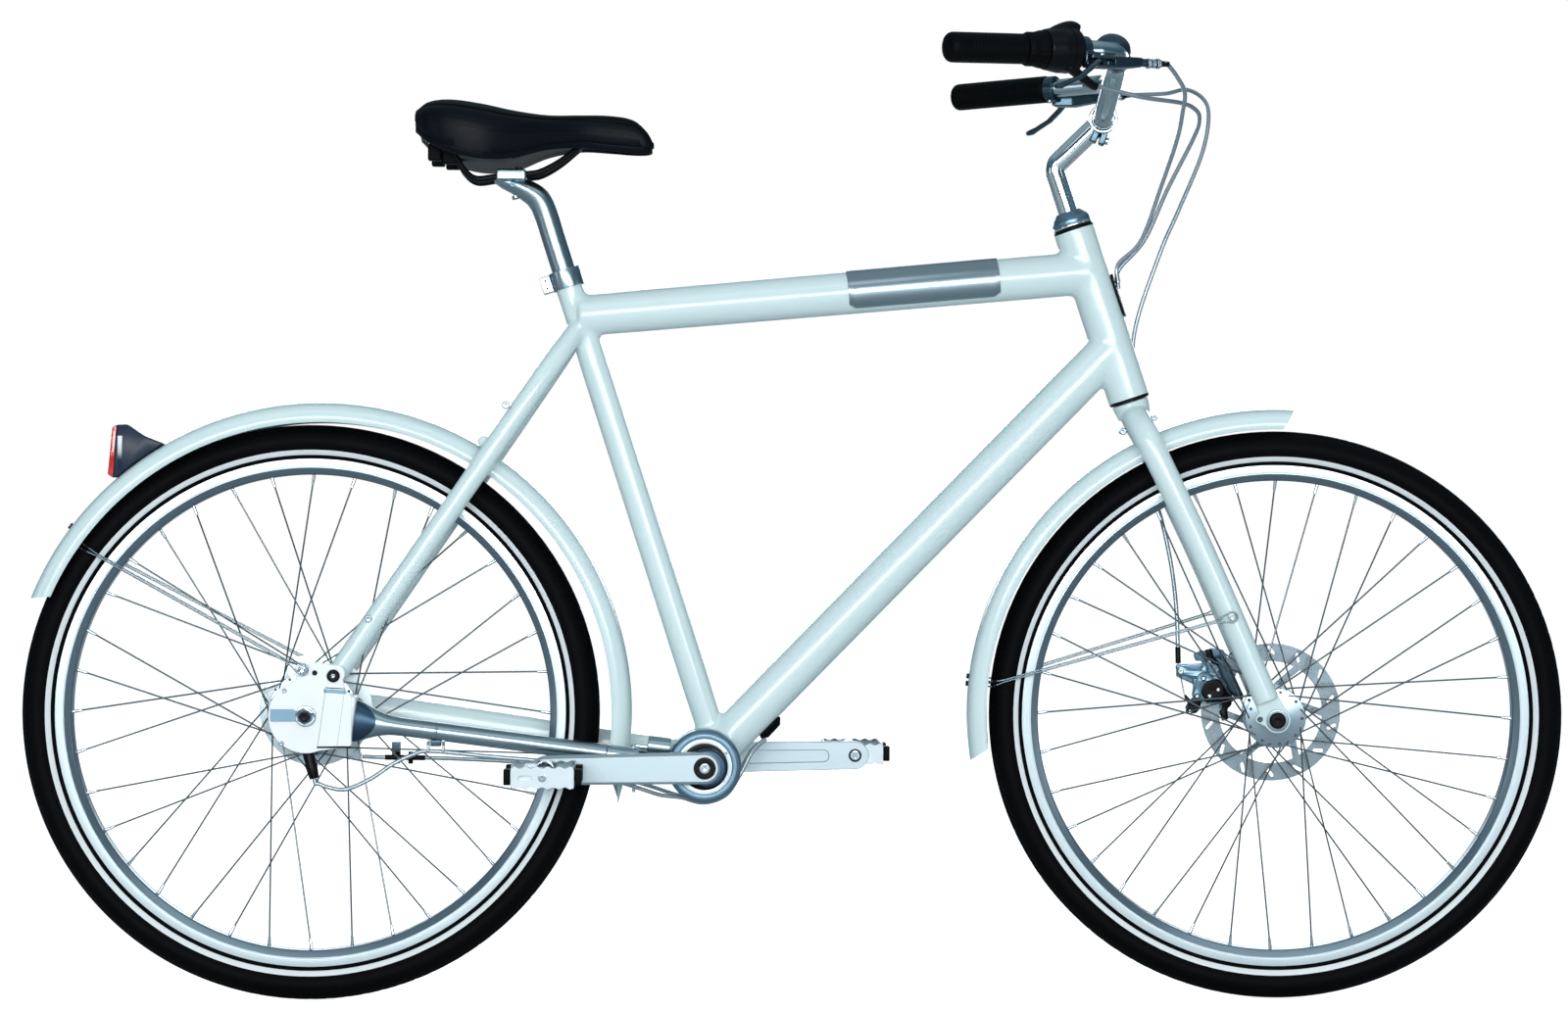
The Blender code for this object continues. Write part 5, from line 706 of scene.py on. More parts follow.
def main_frame():
    swell = 0.0002
    thin = TOP_TUBE_RADIUS + swell
    bridge = guard_point(GUARD_CENTRE, math.radians(57.09 + 2.2), GUARD_RADIUS + GAP + 0.006)
    tubes = [
        rod("head", head_point(0), HEAD_TOP, HEAD_TUBE_RADIUS + swell, sides=64),
        rod("top", on_seat_tube(TOP_TUBE_HEIGHT), TOP_TUBE_FRONT, thin, thin + TOP_TUBE_TAPER, 64),
        rod("down", BRACKET, head_point(DOWN_TUBE_HEIGHT), DOWN_TUBE_RADIUS + swell, sides=64),
        rod("seat", on_seat_tube(0), on_seat_tube(SEAT_TUBE_LENGTH - 0.001), 0.0155 + swell, sides=48),
        rod("shell", BRACKET + side(-0.0298), BRACKET + side(0.0398), 0.0380, sides=64),
        chainstay(),
        seat_stay(RIGHT),
        seat_stay(LEFT),
        left_dropout(),
        rod("bridge", bridge + side(-0.044), bridge + side(0.044), 0.006),
    ]
    joints = [
        on_seat_tube(TOP_TUBE_HEIGHT, -0.012),
        on_seat_tube(STAYS_HEIGHT),
        TOP_TUBE_FRONT - Vector((0.01, 0, 0)),
        head_point(DOWN_TUBE_HEIGHT) - Vector((0.02, 0, 0.01)),
        BRACKET + Vector((0.02, 0, 0.04)),
        BRACKET + Vector((-0.02, 0.03, 0)),
        stay_foot(LEFT),
    ]
    body = painted(melted(joined("frame_tubes", tubes), 0.0016, 8, joints, 0.055, 45), "paint")
    edge = GUARD_CENTRE.x + GUARD_RADIUS + GAP
    crisp = []
    for height in (0, HEAD_LENGTH - 0.004):
        turn = towards(head_point(height), head_point(height + 0.001))
        crisp.append(lathe("collar", hoop(HEAD_BORE, HEAD_TUBE_RADIUS, 0, 0.004), turn, round_by=0.0003))
    crisp.append(block("strip", Vector((edge + 0.0022, 0.014, BRACKET.z + 0.009)), (0.0044, 0.054, 0.018)))
    crisp.append(block("tab", Vector((edge + 0.0022, 0, BRACKET.z - 0.008)), (0.0040, 0.020, 0.051)))
    crisp = [painted(c, "paint") for c in crisp]
    bolts = []
    for place in (Vector((-0.3300, 0, 0.6753)), Vector((-0.4816, 0, 0.4349))):
        share = (place.z - stay_foot(RIGHT).z) / (on_seat_tube(STAYS_HEIGHT).z - stay_foot(RIGHT).z)
        across = STAY_SPREAD + (RIGHT_STAY_FOOT - STAY_SPREAD) * max(0.0, (0.67 - share) / 0.67) + 0.0108
        bolts.append(screw_head(Vector((place.x, -across, place.z)), side(-1), 0.0042, 0.0018))
    add(joined("frame_tubes", [body, *crisp, *bolts]), "frame", "paint", "main_frame", smooth=50)


def headset():
    for name, height, sense in (("lower_headset", 0, -1), ("upper_headset", HEAD_LENGTH, 1)):
        matrix = towards(head_point(height), head_point(height + sense * 0.001))
        profile = [
            (0.0146, 0.0038), (HEAD_TUBE_RADIUS - 0.0006, 0.0038), (HEAD_TUBE_RADIUS - 0.0010, 0.0024),
            (HEAD_TUBE_RADIUS, 0.0020), (HEAD_TUBE_RADIUS, GAP), (HEAD_BORE, GAP), (HEAD_BORE, -0.012),
            (0.0146, -0.012),
        ]
        add(lathe(name + "_ring", profile, matrix, round_by=0.0003), "frame", "black_plastic", name)
    foot = head_point(HEAD_LENGTH + 0.0041)
    height = CAP_HEIGHT - 0.0041
    inner, band = 0.0117, 0.0038
    profile = [
        (inner, height), (0.0136, height), (0.0150, height * 0.93), (0.0207, height * 0.60),
        (0.0221, height * 0.44), (0.0222, band), (0.0146, band), (0.0146, height * 0.6),
        (inner, height * 0.6),
    ]
    cone = painted(lathe("bearing_cone", profile, towards(foot, foot + STEER_UP)), "blue_alloy")
    profile = [(0.0146, band), (0.0219, band), (0.0226, 0.0028), (0.0226, 0.0010), (0.0215, 0), (0.0146, 0)]
    foot_ring = painted(lathe("cone_band", profile, towards(foot, foot + STEER_UP)), "chrome")
    add(joined("bearing_cone", [cone, foot_ring]), "steering", "satin_alloy", "headset_cap")


def curved_plate(name, start, end, radii, wall, first, last, steps, corner):
    """A plate bent round a tube, with rounded corners, between two angles from the bike's right side."""
    along = (end - start).normalized()
    rightward = side(-1)
    upward = along.cross(rightward)
    length = (end - start).length
    rows = []
    for layer in (0, 1):
        grid = []
        for i in range(25):
            share = i / 24
            near = min(share, 1 - share) * length
            inset = corner - math.sqrt(max(corner**2 - max(corner - near, 0) ** 2, 0))
            radius = radii[0] + (radii[1] - radii[0]) * share + wall * layer
            trim = math.degrees(inset / radius)
            ring = []
            for k in range(steps + 1):
                a = math.radians(first + trim + (last - first - 2 * trim) * k / steps)
                place = start + along * (share * length)
                ring.append(place + (rightward * math.cos(a) + upward * math.sin(a)) * radius)
            grid.append(ring)
        rows.append(grid)
    rings = [inner + outer[::-1] for inner, outer in zip(*rows)]
    return skin(name, rings)


def frame_fittings():
    rear = on_seat_tube(TOP_TUBE_HEIGHT)
    shares = (0.526, 0.822)
    start, end = [rear.lerp(TOP_TUBE_FRONT, s) for s in shares]
    radii = [TOP_TUBE_RADIUS + TOP_TUBE_TAPER * s + GAP for s in shares]
    badge = curved_plate("bare_plate", start, end, radii, 0.0012, -98, 48, 40, 0.006)
    add(badge, "frame", "satin_alloy", "top_tube_plate")
    radius = HEAD_TUBE_RADIUS + GAP
    low, high = head_point(HEAD_LENGTH - 0.112), head_point(HEAD_LENGTH - 0.061)
    port = curved_plate("port_cover", low, high, (radius, radius), 0.0028, 62, 118, 20, 0.008)
    pieces = [painted(port, "black_plastic")]
    outward = (side(-0.34) + STEER_AHEAD * 0.94).normalized()
    for k in range(6):
        place = head_point(HEAD_LENGTH - 0.0695 - 0.0056 * k) + outward * (radius + 0.0027)
        pieces.append(painted(rod("rib", place, place + STEER_UP * 0.0030, 0.0008, sides=12), "steel"))
    add(joined("port_cover", pieces), "frame", "black_plastic", "cable_port")
    softened("down_tube_grommet", "black_rubber", 0.0006, 24)


def seat_collar():
    inner = 0.0158
    foot, top = on_seat_tube(SEAT_TUBE_LENGTH - 0.020), on_seat_tube(SEAT_TUBE_LENGTH + 0.001)
    height = (top - foot).length
    profile = hoop(inner, inner + 0.0025, 0, height)
    pieces = [lathe("collar", profile, towards(foot, top), round_by=0.0005)]
    turn = rolled(SEAT_UP, SEAT_BACK)
    for across in (RIGHT, LEFT):
        centre = (foot + top) / 2 + SEAT_BACK * (inner + 0.008) + side(0.0037 * across)
        pieces.append(block("ear", centre, (0.012, 0.0057, 0.0193), turn, 0.0012))
    pieces = [painted(p, "satin_alloy") for p in pieces]
    # Each screw gets a black disc in its socket: painted shade in the socket hollow.
    for lift in (0.0045, -0.0045):
        place = (foot + top) / 2 + SEAT_BACK * (inner + 0.0085) + SEAT_UP * lift + side(-0.0066)
        pieces.append(screw_head(place, side(-1), 0.0030, 0.0010, "chrome"))
        pieces.append(painted(rod("dark", place, place + side(-0.0004), 0.0012), "black_plastic"))
    add(joined("seat_collar", pieces), "frame", "satin_alloy", "seat_clamp")


# Mudguards


def guard_section():
    half, count = GUARD_WIDTH / 2 - GUARD_WALL, 26
    outer, inner = [], []
    for k in range(count + 1):
        angle = math.pi / 2 - math.pi * k / count
        share = math.copysign(abs(math.sin(angle)) ** 0.7, math.sin(angle))
        drop = (1 - abs(math.cos(angle)) ** 0.7) * GUARD_DEPTH
        bead = 0.0005 if k in (1, count - 1) else 0.0
        outer.append((GUARD_RADIUS - drop * 0.99, (half + GUARD_WALL + bead - 0.0005) * share))
        inner.append((GUARD_RADIUS - GUARD_WALL - drop, (half - 0.0002) * share))
    return outer + inner[::-1]


def slanted_end(radius, end, sense):
    """Where a mudguard's slanted end stops at a radius: the crown reaches further than the edges."""
    lean = math.asin(min(1.0, GUARD_RADIUS / radius * math.sin(GUARD_SLANT))) - GUARD_SLANT
    return end - sense * lean


def tongue_end(radius):
    """Where the rear mudguard's lower end stops at a radius, which leaves a narrow tongue."""
    end = math.radians(-16.8)
    foot, reach = GUARD_RADIUS * math.sin(end), GUARD_RADIUS * math.cos(end)
    line = [
        (foot - 0.030, reach - 0.001), (foot, reach - 0.001), (foot + 0.020, reach - 0.001),
        (foot + 0.025, reach - 0.009), (foot + 0.052, reach - 0.060),
    ]
    angle = end
    while angle < 0.5:
        x, z = radius * math.cos(angle), radius * math.sin(angle)
        for (z0, x0), (z1, x1) in zip(line, line[1:]):
            if z0 <= z <= z1 and x >= x0 + (x1 - x0) * (z - z0) / (z1 - z0):
                return angle
        if z > line[-1][0]:
            return angle
        angle += 0.001
    return angle


def mudguard(name, centre, start_of, end_of):
    section = guard_section()
    starts = [start_of(r) for r, y in section]
    ends = [end_of(r) for r, y in section]
    rings = []
    for step in range(121):
        share = step / 120
        ring = []
        for (radius, across), a, b in zip(section, starts, ends):
            ring.append(guard_point(centre, a + (b - a) * share, radius, across))
        rings.append(ring)
    return skin(name, rings)


def mudguards():
    def front_end(radius):
        return slanted_end(radius, math.radians(87.0), -1)

    for label, body, centre, start_of, last, bolts, size in (
        ("rear", "frame", GUARD_CENTRE, tongue_end, 158.6, (143.3, 143.9), (0.0040, 0.0034)),
        ("front", "steering", FRONT_AXLE, front_end, 189.0, (174.7, 173.3), (0.0035, 0.0055)),
    ):
        guard = mudguard(label + "_guard", centre, start_of, lambda r: slanted_end(r, math.radians(last), 1))
        pieces = [painted(guard, "paint")]
        for turn in bolts:
            place = guard_point(centre, math.radians(turn), GUARD_RADIUS - 0.0005)
            bolt = hexagon("bolt", place, place + (place - centre).normalized() * size[0], size[1])
            pieces.append(painted(bolt, "black_plastic"))
        add(joined(label + "_guard", pieces), body, "paint", label + "_mudguard", smooth=50)


def guard_stay(name, node, body, centre, eyes, turn):
    """A doubled wire on each side, looped round its screw and capped under the mudguard's edge."""
    crossing = GUARD_RADIUS - GUARD_WALL - 0.0047
    edge = GUARD_RADIUS - GUARD_DEPTH - 0.006
    spread, gap, loop = math.radians(0.5), 0.00115, 0.0062
    runs = []
    for across, eye in zip((RIGHT, LEFT), eyes):
        near = (GUARD_WIDTH / 2 - 0.0135) * across
        low = (GUARD_WIDTH / 2 - 0.0045) * across
        ahead = guard_point(centre, turn, edge, low) - eye
        length = ahead.length
        ahead.normalize()
        flat = Vector((ahead.x, 0, ahead.z)).normalized()
        upward = Vector((-flat.z, 0, flat.x))
        if upward.dot(Vector((-math.sin(turn), 0, math.cos(turn)))) < 0:
            upward = -upward
        path = []
        for sense in (1, -1):
            angle = turn + spread * sense
            half = [guard_point(centre, angle, crossing, y) for y in (0, near)]
            half.append(guard_point(centre, angle, edge, low))
            half += [eye + ahead * reach + upward * (gap * sense) for reach in (length - 0.016, 0.018)]
            path.append(half)
        turns = [math.radians(55 + 250 * k / 14) for k in range(15)]
        ring = [eye + (flat * math.cos(a) + upward * math.sin(a)) * loop for a in turns]
        runs.append(tube("wire", bent(path[0] + ring + path[1][::-1], 0.004), 0.0009, sides=12))
        for half in path:
            start = half[2]
            end = start + (half[3] - start).normalized() * 0.006
            runs.append(painted(rod("cap", start, end, 0.0017, sides=16), "black_plastic"))
        runs.append(screw_head(eye + side(0.0004 * across), side(across), 0.0042, 0.0022, "chrome"))
    add(joined(name, runs), body, "steel", node)


def mudguard_stays():
    rear = REAR_AXLE + Vector((-0.0035, 0, 0.0520))
    eyes = (rear + side(-(CASE_OUTER + 0.0036)), rear + side(LEFT_STAY_FOOT + 0.003 + 0.0016 + 2 * GAP))
    guard_stay("rear_guard_stay", "rear_mudguard_stay", "frame", GUARD_CENTRE, eyes, REAR_STAY_TURN)
    front = on_steerer(0.128, 0.0315)
    eyes = (front + side(-0.0665), front + side(0.0665))
    guard_stay("front_guard_stay", "front_mudguard_stay", "steering", FRONT_AXLE, eyes, FRONT_STAY_TURN)


# Saddle and post


def seat_post():
    """A round post whose head sweeps back into the cradle under the clamp."""
    route = [on_seat_tube(SEAT_TUBE_LENGTH - 0.170), POST_TOP - SEAT_UP * 0.100]
    marks = [(59.3, -86.6, 27.2), (48.7, -54.1, 27.2), (38.6, -23.0, 27.4), (30.0, -6.5, 27.5), (17, 3.0, 25)]
    marks += [(4, 8.7, 21), (-9, 12.6, 16), (-19, 14.8, 8)]
    route += [CLAMP_CENTRE + Vector((x, 0, z)) / 1000 for x, z, tall in marks]
    path = smooth_route(route, 8)
    round_part = [0.0272, 0.0272]
    heights = spread_radii([*round_part, *[m[2] / 1000 for m in marks]], len(path))
    widths = spread_radii([*round_part * 2, 0.0276, 0.030, 0.033, 0.0336, 0.033, 0.026], len(path))
    rings = [oval(centre, heading(path, k), heights[k], widths[k], 48) for k, centre in enumerate(path)]
    post = painted(skin("post", rings), "satin_alloy")
    bolt = CLAMP_CENTRE + Vector((0.004, 0, -0.0035))
    pieces = [post, screw_head(bolt, Vector((0.3, 0, -1)).normalized(), 0.0045, 0.0035)]
    pin = CLAMP_CENTRE + Vector((0.002, 0, 0.0085))
    pieces.append(painted(rod("pin", pin + side(-0.0168), pin + side(0.0168), 0.0034), "dark_alloy"))
    add(joined("post", pieces), "seat", "satin_alloy", "seat_post", smooth=60)


def rail_route(across):
    slope = 0.068 * SADDLE_LENGTH / SADDLE_DEPTH * 0.10
    knots = [
        (0.288, 0.455, 0.479), (0.207, 0.773, 0.236), (0.128, 1.0, 0.069), (0.068, 1.0, slope),
        (-0.068, 1.0, -slope), (-0.150, 1.068, -0.056), (-0.199, 1.318, 0.069), (-0.241, 1.591, 0.312),
    ]
    start = Vector((CLAMP_CENTRE.x, 0, RAIL_LEVEL))
    return [start + Vector((SADDLE_LENGTH * x, 0.022 * y * across, SADDLE_DEPTH * z)) for x, y, z in knots]


def saddle_fittings():
    route = smooth_route(rail_route(RIGHT)[::-1], 8) + smooth_route(rail_route(LEFT), 8)
    add(tube("rails", route, 0.0035, sides=20), "seat", "black_plastic", "saddle_rails")
    clamp, body = eased("saddle_clamp", "satin_alloy", 0.0006)
    centre = Vector((CLAMP_CENTRE.x, 0, RAIL_LEVEL + 0.0005))
    pieces = [clamp]
    for along in (-0.0115, 0.0115):
        for across in (RIGHT, LEFT):
            jaw = block("jaw", centre + Vector((along, 0.0272 * across, 0.0012)), (0.008, 0.003, 0.0105))
            pieces.append(painted(jaw, "chrome"))
    for across in (RIGHT, LEFT):
        barrel = rod("barrel", centre + side(0.020 * across), centre + side(0.0285 * across), 0.0036)
        pieces.append(painted(barrel, "black_plastic"))
    bolt = centre + Vector((0.008, 0, 0.006))
    pieces.append(painted(hexagon("nut", bolt, bolt + Vector((0, 0, 0.005)), 0.009), "black_plastic"))
    add(joined("rail_clamp", pieces), body, "satin_alloy", "saddle_clamp")


KNOTS = [
    (0.00, 0.625, -0.167, -0.556), (0.05, 0.841, -0.042, -0.722), (0.14, 0.977, 0.000, -0.889),
    (0.27, 1.000, -0.056, -1.000), (0.41, 0.841, -0.153, -0.972), (0.55, 0.568, -0.208, -0.806),
    (0.69, 0.352, -0.194, -0.736), (0.82, 0.261, -0.194, -0.764), (0.92, 0.239, -0.264, -0.792),
    (0.98, 0.205, -0.458, -0.792), (1.00, 0.125, -0.597, -0.778),
]


def saddle_station(share):
    """Half width, top and underside at a share of the length from the back, on smooth lines."""
    clear = min(max(share, 0.0), 1.0)
    for index in range(len(KNOTS) - 1):
        if clear <= KNOTS[index + 1][0]:
            break
    s0, s1 = KNOTS[index][0], KNOTS[index + 1][0]
    t = (clear - s0) / (s1 - s0)
    values = []
    for column in (1, 2, 3):
        p = [KNOTS[min(max(index + k, 0), len(KNOTS) - 1)] for k in (-1, 0, 1, 2)]
        m0 = (p[2][column] - p[0][column]) / max(p[2][0] - p[0][0], 0.001) * (s1 - s0)
        m1 = (p[3][column] - p[1][column]) / max(p[3][0] - p[1][0], 0.001) * (s1 - s0)
        h = (2 * t**3 - 3 * t**2 + 1, t**3 - 2 * t**2 + t, 3 * t**2 - 2 * t**3, t**3 - t**2)
        values.append(h[0] * p[1][column] + h[1] * m0 + h[2] * p[2][column] + h[3] * m1)
    half, top, under = values
    return half * SADDLE_WIDTH / 2, top * SADDLE_DEPTH, under * SADDLE_DEPTH


def saddle_ring(share, upper, squeeze=1.0):
    """A ring round the saddle: the padded crown and side panel, or the shell under them."""
    half, top, under = saddle_station(share)
    parting = top + (under - top) * 0.52
    seam = top + (under - top) * 0.19
    points = []
    if upper:
        count = 64
        for k in range(count + 1):
            angle = math.pi * k / count
            across = math.copysign(abs(math.cos(angle)) ** 0.72, math.cos(angle))
            rise = math.sin(angle) ** 0.78
            z = parting + GAP + (top - parting - GAP) * rise
            y = half * across
            groove = math.exp(-(((z - seam) / 0.0011) ** 2)) * 0.0016
            panel = 0.0012 if z < seam else 0.0
            y -= math.copysign(groove + panel * min(1.0, abs(across) * 1.2), across)
            points.append((y, z))
        points += [(-half * 0.45, parting + GAP), (half * 0.45, parting + GAP)]
    else:
        edge = half - 0.0012
        lip = [(0.0, parting), (0.0, parting - 0.0008), (0.0012, (parting + under) / 2)]
        for inset, rise in ((30, 72), (42, 66), (42, 58), (32, 52), (44, 12), (56, 0), (80, 0)):
            lip.append((inset / 10000, under + rise / 10000))
        hollow = under + 0.055 * SADDLE_DEPTH
        right = [(edge - inset, z) for inset, z in lip]
        right += [(half * 0.62, under + 0.0022), (half * 0.30, hollow)]
        points = [(half * 0.45, parting), (-half * 0.45, parting)]
        points += [(-y, z) for y, z in right]
        points += [(y, z) for y, z in reversed(right)]
    middle = (top + under) / 2
    x = SADDLE_REAR + SADDLE_LENGTH * share
    return [Vector((x, y * squeeze, SADDLE_TOP + middle + (z - middle) * squeeze)) for y, z in points]


def saddle():
    shares = [k / 90 for k in range(91)]
    ends = [(-0.0075, 0.45), (-0.0062, 0.75), (-0.0035, 0.93), *[(s, 1.0) for s in shares]]
    ends += [(1.0035, 0.93), (1.0060, 0.75), (1.0072, 0.45)]
    rings = [saddle_ring(s, True, q) for s, q in ends]

    def below_seam(face):
        _, top, under = saddle_station((face.center.x - SADDLE_REAR) / SADDLE_LENGTH)
        return face.center.z < SADDLE_TOP + top + (under - top) * 0.20

    cover = two_toned(skin("saddle_pad", rings), "cushion", "side_panel", below_seam)
    add(cover, "seat", "cushion", "saddle_cover", smooth=70)
    base = skin("saddle_shell", [saddle_ring(s, False) for s in shares])
    pieces = [painted(base, "side_panel")]
    for across in (RIGHT, LEFT):
        for back, drop, long, high in ((0.0205, 0.0605, 0.0155, 0.019), (0.0375, 0.0645, 0.0165, 0.018)):
            place = Vector((SADDLE_REAR + back, 0.030 * across, SADDLE_TOP - drop))
            pieces.append(painted(block("bumper", place, (long, 0.012, high), bevel=0.0025), "black_rubber"))
    place = Vector((SADDLE_REAR + 0.111, -0.0640, SADDLE_TOP - 0.0640))
    tag = block("tag", place, (0.0080, 0.0010, 0.0032), Matrix.Rotation(math.radians(-35), 4, "Y"), 0.0004)
    pieces.append(painted(tag, "steel"))
    add(joined("saddle_shell", pieces), "seat", "black_plastic", "saddle_base", smooth=50)


# Wheels


def tread(radius, height, angle):
    """Grooves round and across the crown of the tyre."""
    if radius < 0.3125:
        return radius
    across = abs(height)
    cut = 0.0
    if abs(across - 0.0050) < 0.0011 or abs(across - 0.0120) < 0.0009:
        cut = 0.0011
    step = int(angle / math.tau * 600 + 0.5 + (0 if height > 0 else 1.5))
    if step % 3 == 0 and across > 0.0105:
        cut = max(cut, 0.0010)
    if step % 6 == 0 and across < 0.0050:
        cut = max(cut, 0.0007)
    return radius - cut


def from_axle(place):
    return math.hypot(place.x, place.z)


def tyre(label, axle):
    centre = RIM_RADIUS + 0.0385 * 0.52
    height = TYRE_RADIUS - centre
    wall = [(0.2882, 0.0122), (0.2918, 0.0148), (0.2921, 0.0145), (0.2924, 0.0152)]
    wall += [(0.2952, 0.0175), (0.2980, 0.0197), (0.2983, 0.0194), (0.2986, 0.0201)]
    angles = [math.radians(-108 + 216 * k / 46) for k in range(47)]
    crown = [(centre + height * math.cos(angle), TYRE_WIDTH / 2 * math.sin(angle)) for angle in angles]
    profile = [(r, -y) for r, y in wall] + crown + wall[::-1]

    def on_stripe(face):
        place = face.center - axle
        return 0.2924 < from_axle(place) < 0.2980 and abs(place.y) > 0.0145

    obj = lathe(label + "_tread", profile, across_axle(axle), 600, tread, round_by=0)
    two_toned(obj, "tyre", "reflective_stripe", on_stripe)
    add(obj, label + "_wheel", "tyre", label + "_tyre", smooth=28)


def rim(label, axle):
    half = [(RIM_RADIUS, 0.0118), (RIM_RADIUS, 0.0140), (0.2796, 0.0140), (0.2792, 0.0137)]
    half += [(0.2784, 0.0140), (0.2779, 0.0140), (0.2710, 0.0092), (0.2700, 0.0080)]
    profile = [(r, -y) for r, y in half] + half[::-1]
    obj = lathe(label + "_wheel_rim", profile, across_axle(axle), 240, round_by=0.0003)
    two_toned(obj, "rim_wall", "rim_bed", lambda face: from_axle(face.center - axle) < 0.2779)
    add(obj, label + "_wheel", "satin_alloy", label + "_rim")


def spokes(axle, hole_circle, flanges):
    """Thirty-six laced spokes with their elbows, heads and nipples."""
    pitch = math.tau / FLANGE_SPOKES
    wires, nipples = bmesh.new(), bmesh.new()

    def bar(bm, start, end, low, high, segments):
        sizes = {"radius1": low, "radius2": high, "depth": (end - start).length}
        turn = towards((start + end) / 2, end)
        bmesh.ops.create_cone(bm, cap_ends=True, segments=segments, matrix=turn, **sizes)

    for across, flange in zip((RIGHT, LEFT), flanges):
        for k in range(FLANGE_SPOKES):
            at_rim = pitch * (k + (0.5 if across == LEFT else 0.0))
            sense = 1 if k % 2 == 0 else -1
            at_hub = at_rim + CROSSINGS * pitch * sense
            start = guard_point(axle, at_hub, hole_circle, (flange + 0.0022 * sense) * across)
            end = guard_point(axle, at_rim, SPOKE_REACH, 0.0035 * across)
            behind = guard_point(axle, at_hub, hole_circle, (flange - 0.0028 * sense) * across)
            bar(wires, start, end, SPOKE_RADIUS, SPOKE_RADIUS, 10)
            bar(wires, start, behind, SPOKE_RADIUS, SPOKE_RADIUS, 10)
            bar(wires, behind, behind + side(-0.0006 * sense * across), 0.0018, 0.0012, 10)
            back = (start - end).normalized()
            bar(nipples, end, end + back * 0.0105, 0.0020, 0.0016, 12)
            bar(nipples, end + back * 0.0105, end + back * 0.0115, 0.0016, 0.0011, 12)
    return [painted(stored("wires", wires), "spoke_wire"), painted(stored("nipples", nipples), "chrome")]


def hub(label, axle, profile, hole_circle, flanges):
    shell = painted(lathe("shell", profile, across_axle(axle)), "satin_alloy")
    pieces = [shell, *spokes(axle, hole_circle, flanges)]
    add(joined(label + "_hub_wheelwork", pieces), label + "_wheel", "steel", label + "_hub")


def hubs():
    right, left, half, end = 0.0315, -0.0235, 0.00175, 0.0494
    rotor_face = -(ROTOR_SIDE - 0.001 - GAP)
    profile = [
        (AXLE_BORE, end), (0.0105, end), (0.0115, end - 0.003), (0.0115, right + 0.008),
        (0.0150, right + 0.003), (0.0343, right + half), (0.0343, right - half), (0.0170, right - 0.006),
        (0.0150, right - 0.012), (0.0145, 0.004), (0.0150, left + 0.010), (0.0170, left + 0.005),
        (0.0343, left + half), (0.0343, left - half), (0.0230, left - half - 0.001), (0.0230, rotor_face),
        (0.0170, rotor_face), (0.0170, rotor_face - 0.006), (0.0115, rotor_face - 0.006), (0.0115, -end),
        (AXLE_BORE, -end),
    ]
    hub("front", FRONT_AXLE, profile, 0.0300, (0.0315, 0.0235))
    profile = [
        (AXLE_BORE, 0.0345), (0.0200, 0.0345), (0.0300, 0.0325), (0.0475, 0.0308), (0.0475, 0.0273),
        (0.0400, 0.0262), (0.0350, 0.0225), (0.0335, 0.0), (0.0350, -0.0225), (0.0400, -0.0262),
        (0.0475, -0.0273), (0.0475, -0.0308), (0.0300, -0.0313), (0.0300, -0.0392), (AXLE_BORE, -0.0392),
    ]
    hub("rear", REAR_AXLE, profile, 0.0445, (0.0290, 0.0290))


def rotor():
    outer = arc((0, 0), ROTOR_RADIUS, 0, 358, 180)
    bore = arc((0, 0), 0.0173, 0, 354, 60)
    holes = []
    for turn in range(0, 360, 60):
        rim_side = arc((0, 0), 0.0595, turn + 4, turn + 56, 20)
        holes.append(rim_side + arc((0, 0), 0.0260, turn + 78, turn + 42, 10))
    for k in range(14):
        middle = math.radians(360 / 14 * (k + 0.5))
        tilt = middle + math.radians(38)
        radius = ROTOR_RADIUS - 0.0205 * (0.38 if k % 2 else 0.46)
        centre = Vector((math.cos(middle), math.sin(middle))) * radius
        along = Vector((math.cos(tilt), math.sin(tilt)))
        wide = Vector((-along.y, along.x))
        slot = []
        for end, first in ((1, -90), (-1, 90)):
            for x, y in arc((0, 0), 0.0019, first, first + 180, 7):
                slot.append(tuple(centre + along * (0.0040 * end + x) + wide * y))
        holes.append(slot)
    disc = plate("disc", [outer, bore, *holes], 0.0020, across_axle(FRONT_AXLE, ROTOR_SIDE), 0.0002)
    pieces = [painted(disc, "steel")]
    for k in range(6):
        place = guard_point(FRONT_AXLE, math.radians(60 * k + 30), 0.0210, ROTOR_SIDE + 0.0010)
        pieces.append(screw_head(place, side(1), 0.0027, 0.0012))
    add(joined("slotted_rotor", pieces), "front_wheel", "steel", "brake_rotor")
    near, far = -0.0395, -0.0415
    profile = [(0.0645, near - 0.0003), (0.0645, far), (0.0200, far), (0.0200, near)]
    disc = lathe("cooling_disc", profile, across_axle(REAR_AXLE), round_by=0.0004)
    add(disc, "rear_wheel", "satin_alloy", "rear_brake_disc", finish="rim_wall")


